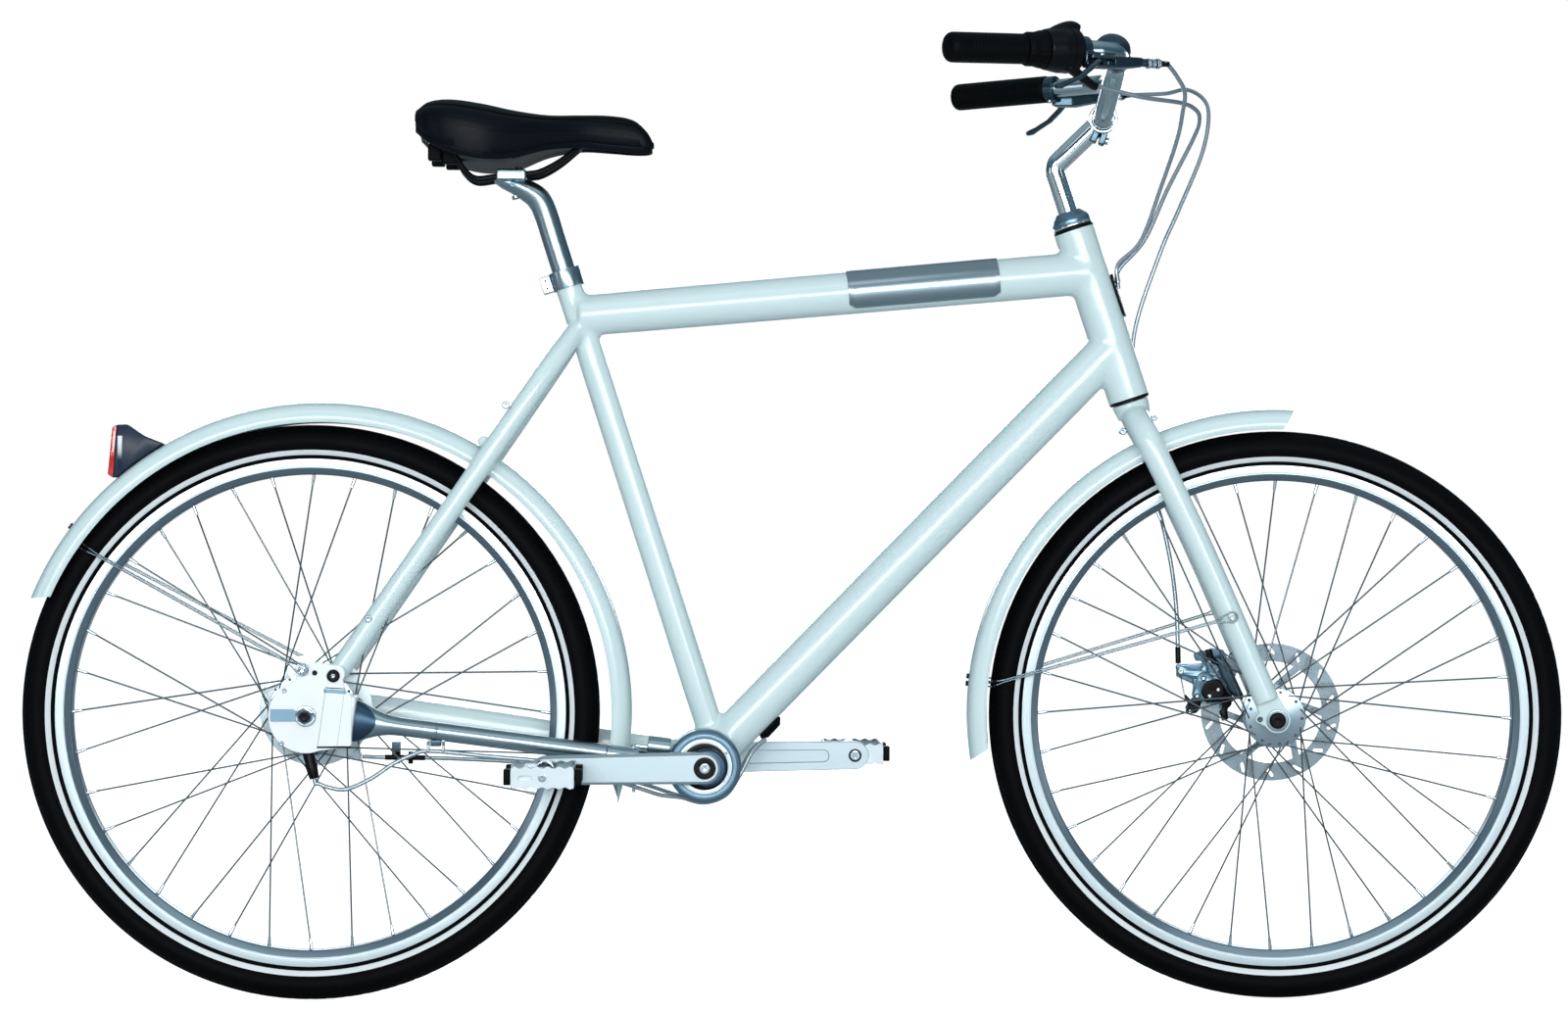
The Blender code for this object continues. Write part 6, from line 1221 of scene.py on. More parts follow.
def axles():
    end = 0.0500 + 0.0080 + 2 * GAP
    spindle = painted(rod("spindle", FRONT_AXLE + side(-end), FRONT_AXLE + side(end), 0.005), "steel")
    pieces = [spindle]
    for s in (RIGHT, LEFT):
        start = FRONT_AXLE + side(s * end)
        profile = [(0.0, 0.0), (0.0093, 0.0), (0.0093, 0.003), (0.0070, 0.007), (0.0035, 0.007)]
        profile += [(0.0035, 0.003), (0.0, 0.003)]
        cap = lathe("cap", profile, towards(start, start + side(s)), 48)
        pieces.append(painted(cap, "black_plastic"))
        washer = hoop(AXLE_BORE, 0.0125, -0.0001, 0.0016)
        pieces.append(painted(lathe("washer", washer, towards(start, start + side(s)), 48), "steel"))
    add(joined("front_spindle", pieces), "steering", "black_plastic", "front_axle")
    face = CASE_OUTER + GAP
    left_face = 0.0615 + GAP
    spindle = rod("spindle", REAR_AXLE + side(-face - 0.013), REAR_AXLE + side(left_face + 0.013), 0.005)
    outline = [
        (-0.0385, 0.0075), (-0.0385, -0.0055), (-0.014, -0.0055), *arc((0, 0), 0.0115, -152, 152, 30),
        (-0.014, 0.0075),
    ]
    tongue = plate("tongue", [outline], 0.0026, across_axle(REAR_AXLE, -face - 0.0013), 0.0003)
    ring = hoop(AXLE_BORE, 0.0112, 0, 0.0010)
    collar = lathe("collar", ring, towards(REAR_AXLE + side(-face - 0.0026), REAR_AXLE + side(-1)), 48)
    right_nut = hexagon("nut", REAR_AXLE + side(-face - 0.0030), REAR_AXLE + side(-face - 0.0098), 0.0155)
    left_nut = hexagon("nut", REAR_AXLE + side(left_face), REAR_AXLE + side(left_face + 0.008), 0.0155)
    cup = [(0.0, 0.0), (0.0058, 0.0), (0.0058, 0.0012), (0.0026, 0.0012), (0.0026, 0.0004), (0.0, 0.0004)]
    outward = towards(REAR_AXLE + side(-face - 0.0127), REAR_AXLE + side(-1))
    dark = lathe("dark", cup, outward, 40, round_by=0.0001)
    pieces = [
        painted(spindle, "steel"),
        painted(tongue, "blue_alloy"),
        painted(collar, "chrome"),
        painted(right_nut, "dark_alloy"),
        painted(left_nut, "steel"),
        painted(dark, "black_plastic"),
    ]
    add(joined("rear_spindle", pieces), "frame", "steel", "rear_axle")


# Shaft drive


def on_shaft(distance):
    return BRACKET + side(-SHAFT_SIDE) + (REAR_AXLE - BRACKET).normalized() * distance


SHAFT_LENGTH = (REAR_AXLE - BRACKET).length


def bracket_housing():
    outer, inner, wall = HOUSING_OUTER, 0.0303, 0.0030
    opening = 0.0263
    profile = [
        (opening, outer - 0.0006), (0.0312, outer - 0.0006), (0.0314, outer - 0.0012),
        (0.0320, outer - 0.0012), (0.0322, outer), (0.0365, outer), (0.0369, outer - 0.0010),
        (0.0378, outer - 0.0012), (0.0400, outer - 0.0030), (HOUSING_RADIUS, outer - 0.0060),
        (HOUSING_RADIUS, inner), (HOUSING_RADIUS - wall, inner), (HOUSING_RADIUS - wall, outer - wall),
        (opening, outer - wall),
    ]
    cup = lathe("cup", profile, across_axle(BRACKET), 128, round_by=0.0003)

    def on_lip(face):
        place = face.center - BRACKET
        return from_axle(place) < 0.0312 and place.y < -outer + 0.0008

    start = HOUSING_RADIUS - 0.003
    lift, aside = Vector((0, 0, 0.0150)), Vector((0, -0.004, 0.0130))
    neck = rod("neck", on_shaft(start) + lift, on_shaft(HOUSING_RADIUS + 0.0230) + lift, 0.0115, bevel=0.0012)
    knob = rod("knob", on_shaft(0.0630) + aside, on_shaft(0.0790) + aside, 0.0036, bevel=0.0016)
    screw = Vector((BRACKET.x + 0.0245, -outer + 0.0006, BRACKET.z + 0.0155))
    pieces = [
        two_toned(cup, "blue_alloy", "rim_wall", on_lip),
        painted(rod("socket", on_shaft(0.0740), on_shaft(0.1112), 0.0101, bevel=0.0015), "satin_alloy"),
        painted(rod("waist", on_shaft(start), on_shaft(0.0760), 0.0085), "navy_face"),
        painted(neck, "satin_alloy"),
        painted(knob, "chrome"),
        screw_head(screw, side(-1), 0.0018, 0.0006),
    ]
    add(joined("bracket_cup", pieces), "frame", "satin_alloy", "bracket_housing", smooth=40)
    seal = [
        (0.0088, outer + 0.0015), (0.0205, outer + 0.0015), (0.0209, outer + 0.0008),
        (0.0215, outer + 0.0008), (0.0219, outer + 0.0015), (0.0232, outer + 0.0012),
        (0.0236, outer + 0.0002), (0.0260, outer), (0.0260, outer - wall), (0.0088, outer - wall),
    ]
    ring = lathe("cover_ring", seal, across_axle(BRACKET), 96, round_by=0.0002)
    add(ring, "frame", "black_plastic", "bracket_cover")


def shaft_tube():
    rear = SHAFT_LENGTH - CASE_REACH - GAP
    back = (REAR_AXLE - BRACKET).normalized()
    tube_radius, cone_tall, cone_wide, cone = 0.0102, 0.0236, 0.0135, 0.058
    rings = []
    start = 0.1118
    marks = [start, start + 0.0004, 0.20, 0.205]
    marks += [rear - cone - 0.0352, rear - cone - 0.0350, rear - cone - 0.0346]
    marks = sorted(set(marks + [start + (rear - cone - start) * k / 8 for k in range(9)]))
    for place in marks:
        dip = 0.0003 if abs(place - (rear - cone - 0.0350)) < 0.0001 else 0.0
        rings.append(oval(on_shaft(place), back, 2 * (tube_radius - dip), 2 * (tube_radius - dip), 64))
    flare = [(0.0, 0.0), (0.28, 0.05), (0.50, 0.24), (0.67, 0.50), (0.81, 0.76), (0.92, 0.94), (1.0, 1.0)]
    curve = smooth_route([Vector((a, b, 0)) for a, b in flare], 32)[1:]
    for point in curve:
        centre = on_shaft(rear - cone * (1 - point.x))
        tall = tube_radius + (cone_tall - tube_radius) * point.y
        wide = tube_radius + (cone_wide - tube_radius) * point.y
        rings.append(oval(centre, back, 2 * tall, 2 * wide, 64))
    mouth = on_shaft(rear)

    def on_cone(face):
        away = face.center - mouth
        return away.x < 0.024 - 0.022 * (away.z / cone_tall) ** 2 and face.normal.y < -0.2

    shell = two_toned(skin("shell", rings), "satin_alloy", "navy_face", on_cone)
    hanger = on_shaft(SHAFT_LENGTH - 0.1445) + Vector((0, 0, -tube_radius))
    lug = block("hanger", hanger + Vector((0, 0, -0.0030)), (0.0120, 0.009, 0.0070))
    pieces = [shell, painted(lug, "dark_alloy")]
    for shift in (-0.0085, 0.0085):
        place = hanger + Vector((shift, 0, -0.0060))
        pieces.append(painted(block("clip", place, (0.0032, 0.010, 0.0130), None, 0.0006), "chrome"))
    add(joined("shaft_shell", pieces), "frame", "satin_alloy", "shaft_tube", smooth=50)


def gear_case():
    outer, open_side = CASE_OUTER, 0.0355
    foot = stay_foot(RIGHT) - REAR_AXLE
    outline = [
        *arc((0, 0), CASE_RADIUS, 285, 105, 70), *arc((-0.002, 0.0525), 0.0092, 165, 60, 16),
        *arc((foot.x, foot.z), 0.0100, 100, -40, 20), (0.0440, 0.0285), (0.0480, 0.0260), (0.0510, 0.0225),
        (0.0510, -0.0310), (0.0500, -0.0340), (0.0460, -0.0346), (0.0160, -0.0385),
    ]
    face = plate("face", [outline[::-1]], 0.0062, across_axle(REAR_AXLE, -(outer - 0.0031)), 0.0007)
    drum = [(0.0060, 0.0700), (0.0390, 0.0700), (0.0390, open_side), (0.0360, open_side), (0.0360, 0.0635)]
    drum.append((0.0060, 0.0635))
    back = (REAR_AXLE - BRACKET).normalized()
    lean = rolled(Vector((back.z, 0, -back.x)), -back)
    depth = outer - 0.001 - open_side
    centre = on_shaft(SHAFT_LENGTH - CASE_REACH + 0.018)
    centre.y = -(open_side + depth / 2)
    down = BOOT_DOWN.normalized()
    boot = [BOOT_MOUTH - down * lift for lift in (0.036, 0.018, 0.016, 0.002, 0)]
    pieces = [
        painted(face, "white_cover"),
        painted(lathe("drum", drum, across_axle(REAR_AXLE), 96), "white_cover"),
        painted(block("body", centre, (0.036, depth, 0.058), lean, 0.004), "white_cover"),
        painted(tube("boot", boot, 0.007, [0.0068, 0.0062, 0.0070, 0.0056, 0.0050]), "black_plastic"),
    ]

    def on_face(x, z):
        return Vector((x - WHEELBASE / 2, -outer, z))

    for x0, z0, x1, z1, width, finish in (
        (0.0221, 0.3552, 0.0137, 0.2929, 0.0007, "case_seam"),
        (0.0430, 0.3530, 0.0350, 0.2920, 0.0004, "case_seam"),
        (0.0225, 0.3583, 0.0440, 0.3572, 0.0010, "black_plastic"),
        (0.0222, 0.3548, 0.0430, 0.3535, 0.0042, "blue_alloy"),
        (0.0140, 0.2918, 0.0500, 0.2922, 0.0022, "black_plastic"),
    ):
        a, b = on_face(x0, z0), on_face(x1, z1)
        turn = Matrix.Rotation(-math.atan2(b.z - a.z, b.x - a.x), 4, "Y")
        size = ((b - a).length + width, 0.0006, width)
        pieces.append(painted(block("line", (a + b) / 2 + side(0.0001), size, turn, 0.0), finish))
    for x, z, radius, proud, finish in (
        (-0.0063, 0.3769, 0.0065, 0.0016, "white_cover"), (-0.0235, 0.3550, 0.0028, 0.0008, "steel"),
        (-0.0330, 0.3560, 0.0015, 0.0006, "dark_alloy"), (-0.0264, 0.2961, 0.0030, 0.0008, "steel"),
        (0.0100, 0.3748, 0.0030, 0.0006, "black_plastic"), (-0.0063, 0.3769, 0.0036, 0.0024, "chrome"),
    ):
        pieces.append(screw_head(on_face(x, z), side(-1), radius, proud, finish))
    bolt = on_face(0.0307, 0.3716)
    pieces.append(screw_head(bolt, side(-1), 0.0072, 0.0030, "black_plastic"))
    pieces.append(screw_head(bolt + side(-0.0012), side(-1), 0.0030, 0.0018, "steel"))
    add(joined("rear_case", pieces), "frame", "white_cover", "gear_case", smooth=40)


def crank_direction(across):
    angle = math.radians(1.0) + (math.pi if across == RIGHT else 0)
    return Vector((math.cos(angle), 0, math.sin(angle)))


def crank(label, across):
    """A flat arm in two layers, so that a long groove shows on its inner face."""
    end, head = 0.0161, 0.0178
    taper = math.degrees(math.asin((head - end) / CRANK_LENGTH))
    outline = [*arc((0, 0), head, 90 - taper, 270 + taper, 50), *arc((CRANK_LENGTH, 0), end, -90, 90, 36)]
    groove = [
        *arc((CRANK_LENGTH * 0.27, 0), 0.0075, 90, 270, 16),
        *arc((CRANK_LENGTH * 0.79, 0), 0.0068, -90, 90, 16),
    ]
    direction = crank_direction(across)
    turn = UPRIGHT @ Matrix.Rotation(math.atan2(direction.z, direction.x), 4, "Z")

    def layer(name, outlines, near, far, bevel):
        middle = BRACKET + side((near + far) / 2 * across)
        return plate(name, outlines, far - near, Matrix.Translation(middle) @ turn, bevel)

    skin_depth = 0.0030
    arm = layer("arm", [outline], CRANK_INNER + skin_depth, CRANK_INNER + CRANK_THICKNESS, 0.0030)
    inner = layer("inner", [outline, groove], CRANK_INNER, CRANK_INNER + skin_depth + 0.0016, 0.0006)
    floor = layer("floor", [groove], CRANK_INNER + 0.0022, CRANK_INNER + skin_depth + 0.0008, 0.0002)
    eye = BRACKET + direction * CRANK_LENGTH
    outer = (CRANK_INNER + CRANK_THICKNESS) * across
    out = side(across)
    pieces = [painted(arm, "silver_crank"), painted(inner, "silver_crank"), painted(floor, "silver_crank")]
    spindle = rod("spindle", eye + side(CRANK_INNER * across), eye + side(outer + 0.092 * across), 0.0045)
    pieces.append(painted(spindle, "steel"))
    middle = BRACKET - direction * 0.0034 + side(CRANK_INNER * across)
    depth = CRANK_THICKNESS - 0.0030
    profile = [(0.0, 0.0), (0.0206, 0.0), (0.0212, 0.0006)]
    profile += [(0.0212, depth - 0.0022), (0.0190, depth), (0.0, depth)]
    boss = lathe("boss", profile, towards(middle, middle + out), 96, round_by=0.0006)
    pieces.append(painted(boss, "navy_face"))
    profile = hoop(0.0060, 0.0124, -0.001, 0.0010)
    face = BRACKET + side(outer)
    ring = lathe("ring", profile, towards(face, face + out), 64, round_by=0.0003)
    pieces.append(painted(ring, "black_plastic"))
    pieces.append(screw_head(face, out, 0.0059, 0.0022, "chrome"))
    back = eye + side(CRANK_INNER * across)
    for radius, proud, finish in ((0.0076, 0.0006, "black_plastic"), (0.0054, 0.0012, "chrome")):
        profile = hoop(0.0026, radius, -0.001, proud)
        ring = lathe("eye", profile, towards(back, back - out), 40, round_by=0.0002)
        pieces.append(painted(ring, finish))
    add(joined(label + "_crank_arm", pieces), "crankset", "satin_alloy", label + "_crank", smooth=40)


def waved(half, tall, waves):
    """A long plate's outline with gently waved edges and rounded ends."""
    flat, depth = half - 0.004, 0.0011
    count = waves * 8
    top = []
    for k in range(count + 1):
        share = k / count
        top.append((flat * (2 * share - 1), tall - depth + depth * math.cos(math.tau * waves * share)))
    end = [*arc((flat, tall - 0.0042), 0.0040, 70, 0, 6), *arc((flat, 0.0042 - tall), 0.0040, 0, -70, 6)]
    half_way = top + end
    return half_way + [(-x, -z) for x, z in half_way]


def pedal(label, across):
    start = BRACKET + crank_direction(across) * CRANK_LENGTH
    start += side((CRANK_INNER + CRANK_THICKNESS + 0.0025) * across)
    half, tall, width = 0.0345, 0.0125, 0.088
    length = width - 0.0052
    outline = waved(half, tall, 5)
    slot = [*arc((-0.0240, 0), 0.0021, 90, 270, 8), *arc((-0.0130, 0), 0.0021, -90, 90, 8)]
    pieces = []
    for inset in (0.003, width - 0.0022):
        holes = [outline] if inset < 0.01 else [outline, slot]
        made = plate("cage", holes, 0.0022, across_axle(start, (0.0011 + inset) * across), 0.0003)
        pieces.append(painted(made, "chrome"))
    profile = [(0.0048, 0.0), (0.0110, 0.0), (0.0110, 0.014), (0.0080, 0.022), (0.0080, width - 0.022)]
    profile += [(0.0100, width - 0.014), (0.0100, width - 0.002), (0.0048, width - 0.002)]
    barrel = lathe("barrel", profile, towards(start, start + side(across)), 40, round_by=0.0005)
    pieces.append(painted(barrel, "dark_alloy"))
    ahead = Matrix(((0, 0, 1, 0), (1, 0, 0, 0), (0, 1, 0, 0), (0, 0, 0, 1)))
    for sense in (-1, 1):
        centre = start + Vector((sense * (half - 0.0012), 0.5 * (width + 0.0028) * across, 0))
        bar = plate("bar", [waved(length / 2, tall, 6)], 0.0020, Matrix.Translation(centre) @ ahead, 0.0003)
        pieces.append(painted(bar, "chrome"))
        for depth in (0.016, width - 0.014):
            place = start + Vector((sense * 0.0386, depth * across, 0))
            pad = block("pad", place, (0.0077, 0.018, 0.0172), None, 0.0012)
            pieces.append(painted(pad, "black_rubber"))
    add(joined(label + "_cage_pedal", pieces), "pedal_" + label, "steel", label + "_pedal", smooth=40)


# Steering


def bar_direction(across):
    return Vector((math.sin(BAR_SWEEP), -math.cos(BAR_SWEEP) * across, 0.030)).normalized()


def on_grip(across, along, out=0.0, up=0.0):
    ahead = bar_direction(across)
    outward = Vector((abs(ahead.y), abs(ahead.x) * across, 0)).normalized()
    end = BAR_CENTRE + Vector((-0.1713, 0.285 * across, 0.0527))
    return end + ahead * along + outward * out + Vector((0, 0, up))


def along_grip(across, start):
    place = on_grip(across, start)
    return towards(place, place + bar_direction(across))


def bar_half(across, steps=10):
    knee = on_grip(across, 0.183)
    outer = BAR_CENTRE + Vector((0.012, 0.138 * across, 0.058))
    points = [
        BAR_CENTRE + side(0.020 * across),
        BAR_CENTRE + Vector((0.001, 0.034 * across, 0.006)),
        BAR_CENTRE + Vector((0.006, 0.056 * across, 0.026)),
        BAR_CENTRE + Vector((0.011, 0.078 * across, 0.047)),
        BAR_CENTRE + Vector((0.013, 0.104 * across, 0.056)),
        outer,
        knee.lerp(outer, 0.45) + Vector((0.006, 0.004 * across, 0)),
        knee,
    ]
    return smooth_route(points, steps) + [on_grip(across, 0.002)]


def handlebar_and_stem():
    right, left = bar_half(RIGHT), bar_half(LEFT)
    points = right[::-1] + left
    middle = len(right)
    radii = []
    for k in range(len(points)):
        near = max(0.0, 1 - max(0, abs(k - middle + 0.5) - 1) / 5)
        radii.append(BAR_RADIUS + (BAR_CLAMP_RADIUS - BAR_RADIUS) * near)
    bar = tube("bar", points, BAR_RADIUS, radii, sides=40)
    add(bar, "steering", "chrome", "handlebar", finish="brushed_chrome", smooth=60)
    foot = head_point(HEAD_LENGTH + CAP_HEIGHT - 0.070)
    arm = (BAR_CENTRE - ELBOW).normalized()
    route = bent([foot, ELBOW - STEER_UP * 0.004, ELBOW + arm * 0.004, BAR_CENTRE - arm * 0.006], 0.016, 10)
    pathway = []
    for a, b in zip(route, route[1:]):
        pathway += [a.lerp(b, k / 4) for k in range(4)]
    pathway.append(route[-1])
    count = len(pathway)
    radii = [0.0111 + 0.0008 * max(0.0, (k / count - 0.55) / 0.45) for k in range(count)]
    quill = tube("quill", pathway, 0.0111, radii, sides=48)
    ring = hoop(0.0133, 0.0165, -0.020, 0.020)
    ring = lathe("ring", ring, towards(BAR_CENTRE, BAR_CENTRE + side(1)), 96, round_by=0.0012)
    pieces = [painted(quill, "chrome"), painted(ring, "chrome")]
    turn = Matrix.Rotation(math.radians(18), 4, "Y")
    for shift in (-0.0048, 0.0048):
        centre = BAR_CENTRE + turn.to_3x3() @ Vector((0.002 + shift, 0, -0.020))
        lug = block("lug", centre, (0.0076, 0.0248, 0.0160), turn, 0.0016)
        pieces.append(painted(lug, "dark_alloy"))
    place = BAR_CENTRE + turn.to_3x3() @ Vector((0.0105, 0, -0.0215))
    forward = turn.to_3x3() @ Vector((1, 0, 0))
    binder = rod("binder", place - forward * 0.002, place + forward * 0.0035, 0.0042)
    pieces.append(painted(binder, "chrome"))
    add(joined("quill_stem", pieces), "steering", "chrome", "stem", smooth=40)


def blade(across):
    points = [
        on_steerer(CROWN_HEIGHT - 0.019, 0.000, 0.006 * across),
        on_steerer(CROWN_HEIGHT - 0.030, 0.001, 0.024 * across),
        on_steerer(CROWN_HEIGHT - 0.044, 0.004, 0.039 * across),
        on_steerer(CROWN_HEIGHT - 0.072, 0.008, 0.0455 * across),
        on_steerer(0.200, 0.024, (0.0455 + 0.0512) / 2 * across),
        on_steerer(0.024, 0.0405, 0.0537 * across),
    ]
    route = smooth_route(points, 10)
    radii = spread_radii([0.0159, 0.0141], len(route))
    return tube("blade", route, 0.0158, radii, sides=40)


def fork():
    under = math.sqrt((GUARD_RADIUS + GAP) ** 2 - (FORK_OFFSET - 0.006) ** 2)
    parts = [
        rod("race", head_point(-0.022), head_point(-0.0041), 0.0187, 0.0217, 64, 0.0002),
        rod("lug", on_steerer(under), head_point(-0.020), 0.006),
        blade(RIGHT),
        blade(LEFT),
    ]
    for across in (RIGHT, LEFT):
        shoulder = on_steerer(0.040, 0.039) - FRONT_AXLE
        outline = [
            *arc((0, 0), 0.0150, -150, 40, 30), (shoulder.x + 0.011, shoulder.z + 0.004),
            (shoulder.x - 0.011, shoulder.z - 0.002), *arc((-0.0195, 0.001), 0.0052, 100, 260, 10),
        ]
        parts.append(plate("dropout", [outline], 0.0080, across_axle(FRONT_AXLE, 0.0543 * across)))
    joints = [head_point(-0.024), head_point(-0.034), on_steerer(CROWN_HEIGHT - 0.05)]
    body = painted(melted(joined("fork", parts), 0.0011, 8, joints, 0.040, 40), "paint")
    pieces = [body]
    steerer = rod("steerer", head_point(-0.010), head_point(HEAD_LENGTH + 0.0135), STEERER_RADIUS)
    pieces.append(painted(steerer, "steel"))
    for drop, ahead, radius in ((0.0335, -0.0185, 0.0040), (0.030, 0.0200, 0.0030)):
        for across in (RIGHT, LEFT):
            place = on_steerer(CROWN_HEIGHT - drop, ahead, 0.0205 * across)
            root = on_steerer(CROWN_HEIGHT - drop, 0, 0.0190 * across)
            pieces.append(painted(rod("tab", root, place, 0.0026, sides=20), "steel"))
            pieces.append(screw_head(place, side(across), radius, 0.0024))
    for across in (RIGHT, LEFT):
        place = FRONT_AXLE + Vector((-0.0195, 0.0585 * across, 0.001))
        pieces.append(screw_head(place, side(across), 0.0032, 0.0012, "dark_alloy"))
    add(joined("fork_body", pieces), "steering", "paint", "fork", smooth=50)


def grips():
    r, n = GRIP_RADIUS, TWIST_LENGTH
    for label, across, length in (("right", RIGHT, SHORT_GRIP), ("left", LEFT, LONG_GRIP)):
        profile = [(0.0, 0.0016), (GRIP_BORE, 0.0016), (GRIP_BORE, length)]
        profile += [(r - 0.0012, length), (r, length - 0.0015)]
        rings = int((length - 0.022) / 0.0042)
        for k in range(rings):
            low = length - 0.006 - k * 0.0042
            profile += [(r, low), (r - 0.0002, low - 0.0006), (r - 0.0002, low - 0.0012), (r, low - 0.0018)]
        profile += [(r, 0.007), (r * 0.99, 0.003), (r * 0.94, 0.0005), (r * 0.84, -0.0014)]
        profile += [(r * 0.68, -0.0026), (r * 0.4, -0.003), (0.0, -0.003)]
        grip = lathe("grip_" + label, profile, along_grip(across, 0), 72, round_by=0)
        add(grip, "steering", "black_rubber", label + "_grip", smooth=50)

    def knurl(radius, height, angle):
        if radius < 0.015:
            return radius
        return radius - 0.0006 * (0.5 + 0.5 * math.cos(angle * 22)) ** 3

    ridge = [(GRIP_BORE, n), (r + 0.0036, n), (r + 0.0044, n - 0.001), (r + 0.0040, n * 0.8)]
    ridge += [(r + 0.0028, n * 0.6), (r + 0.0022, n * 0.5), (r + 0.0022, n * 0.3), (r + 0.0022, n * 0.16)]
    ridge += [(r + 0.0006, n * 0.04), (r + 0.0004, 0.0), (GRIP_BORE, 0.0)]
    ring = lathe("twist_grip", ridge, along_grip(RIGHT, SHORT_GRIP + GAP), 132, knurl, round_by=0)
    add(ring, "twist_shifter", "black_rubber", "twist_ring", smooth=50)


def shifter():
    start = SHORT_GRIP + TWIST_LENGTH + 2 * GAP
    r, n = SHIFTER_RADIUS, SHIFTER_LENGTH
    shape = [(GRIP_BORE, n), (r * 0.84, n), (r, n * 0.86), (r, n * 0.42), (r * 0.86, 0.0), (GRIP_BORE, 0.0)]
    body = lathe("body", shape, along_grip(RIGHT, start), 96, round_by=0.0012)
    rise = [(0.08, 0.42), (0.30, 0.66), (0.60, 0.86), (0.80, 0.90), (0.93, 0.80)]
    points = [on_grip(RIGHT, start + n * along, 0.003, r * up) for along, up in rise]
    hump = tube("hump", smooth_route(points, 6), 0.0085)
    outlet = SHIFT_CABLE[0]
    onward = (SHIFT_CABLE[1] - outlet).normalized()
    root = on_grip(RIGHT, start + n * 0.55, 0.012, -r * 0.72)
    route = smooth_route([root, outlet - onward * 0.008, outlet - onward * 0.001], 8)
    boot = tube("boot", route, 0.0052, spread_radii([0.0060, 0.0048, 0.0040], len(route)))
    made = melted(joined("shifter", [body, hump, boot]), 0.0007, 5)
    pieces = [painted(made, "black_plastic")]
    ring = hoop(r * 0.9, r + 0.0004, 0, 0.0006)
    band = lathe("band", ring, along_grip(RIGHT, start + n * 0.66), 96, round_by=0.0001)
    pieces.append(painted(band, "black_rubber"))
    add(joined("shifter_body", pieces), "steering", "black_plastic", "shifter_housing", smooth=50)


def clamp_place(across):
    if across == RIGHT:
        return SHORT_GRIP + TWIST_LENGTH + SHIFTER_LENGTH + 3 * GAP + LEVER_CLAMP / 2
    return LONG_GRIP + GAP + LEVER_CLAMP / 2


def at_lever(across, along, out, up):
    return on_grip(across, clamp_place(across) + along, out, up)


def barrel_mouth(across, proud):
    return at_lever(across, 0.092 + proud, 0.0145, -0.014)


def knurled(radius, height, angle):
    """Notches round an adjusting wheel."""
    return radius - (0.0004 * (math.cos(angle * 15) > 0) if radius > 0.004 else 0)


def levers():
    for label, across in (("right", RIGHT), ("left", LEFT)):
        node = label + "_lever_bracket"
        obj, body = copied(node)
        pieces = [painted(melted(obj, 0.0007, 7), "dark_alloy")]
        inward = (barrel_mouth(across, 0.001) - barrel_mouth(across, 0)).normalized()
        mouth = barrel_mouth(across, 0)
        for back, radius in ((0.018, 0.0056), (0.012, 0.0050), (0.006, 0.0056)):
            start = mouth - inward * back
            profile, turn = hoop(0.003, radius, 0, 0.0035), towards(start, start + inward)
            pieces.append(painted(lathe("wheel", profile, turn, 60, knurled, round_by=0.0004), "chrome"))
        ferrule = rod("ferrule", mouth - inward * 0.002, mouth + inward * 0.010, 0.0034, 0.0029, 24)
        pieces.append(painted(ferrule, "black_plastic"))
        pin = at_lever(across, 0.010, 0.0255, -0.0095)
        pieces.append(screw_head(pin + Vector((0, 0, 0.003)), UP, 0.0040, 0.0012))
        clamp = at_lever(across, 0, -0.006, -BAR_RADIUS - 0.0035)
        pieces.append(screw_head(clamp, Vector((0, 0, -1)), 0.0034, 0.0030))
        add(joined(label + "_lever_body", pieces), body, "dark_alloy", node, smooth=50)
        softened(label + "_brake_lever", "dark_alloy", 0.0006, 8)


def bell():
    route = bar_half(RIGHT, 2)
    near, far = route[8], route[9]
    centre = (near + far) / 2
    along = (far - near).normalized()
    ring = hoop(0.0117, 0.0139, -0.005, 0.005)
    band = lathe("band", ring, towards(centre, centre + along), 64, round_by=0.0008)
    foot = centre + Vector((-0.006, -0.002, BAR_RADIUS + 0.0005))
    lean = Matrix.Translation(foot) @ Matrix.Rotation(math.radians(16), 4, "Y")
    dome = [(0.0, 0.0170), (0.004, 0.0168), (0.009, 0.0155), (0.0135, 0.0128), (0.0165, 0.0100)]
    dome += [(0.0190, 0.0060), (0.0205, 0.0020), (0.0205, 0.0), (0.0188, 0.0)]
    dome += [(0.0170, 0.0060), (0.0, 0.0100)]
    pieces = [
        painted(band, "dark_alloy"),
        painted(lathe("dome", dome, lean, 80, round_by=0.0010), "dark_alloy"),
        painted(rod("foot", foot, foot + Vector((0.001, 0, 0.006)), 0.012), "black_plastic"),
    ]
    add(joined("bell_dome", pieces), "steering", "dark_alloy", "bell", smooth=50)


# Brakes and light


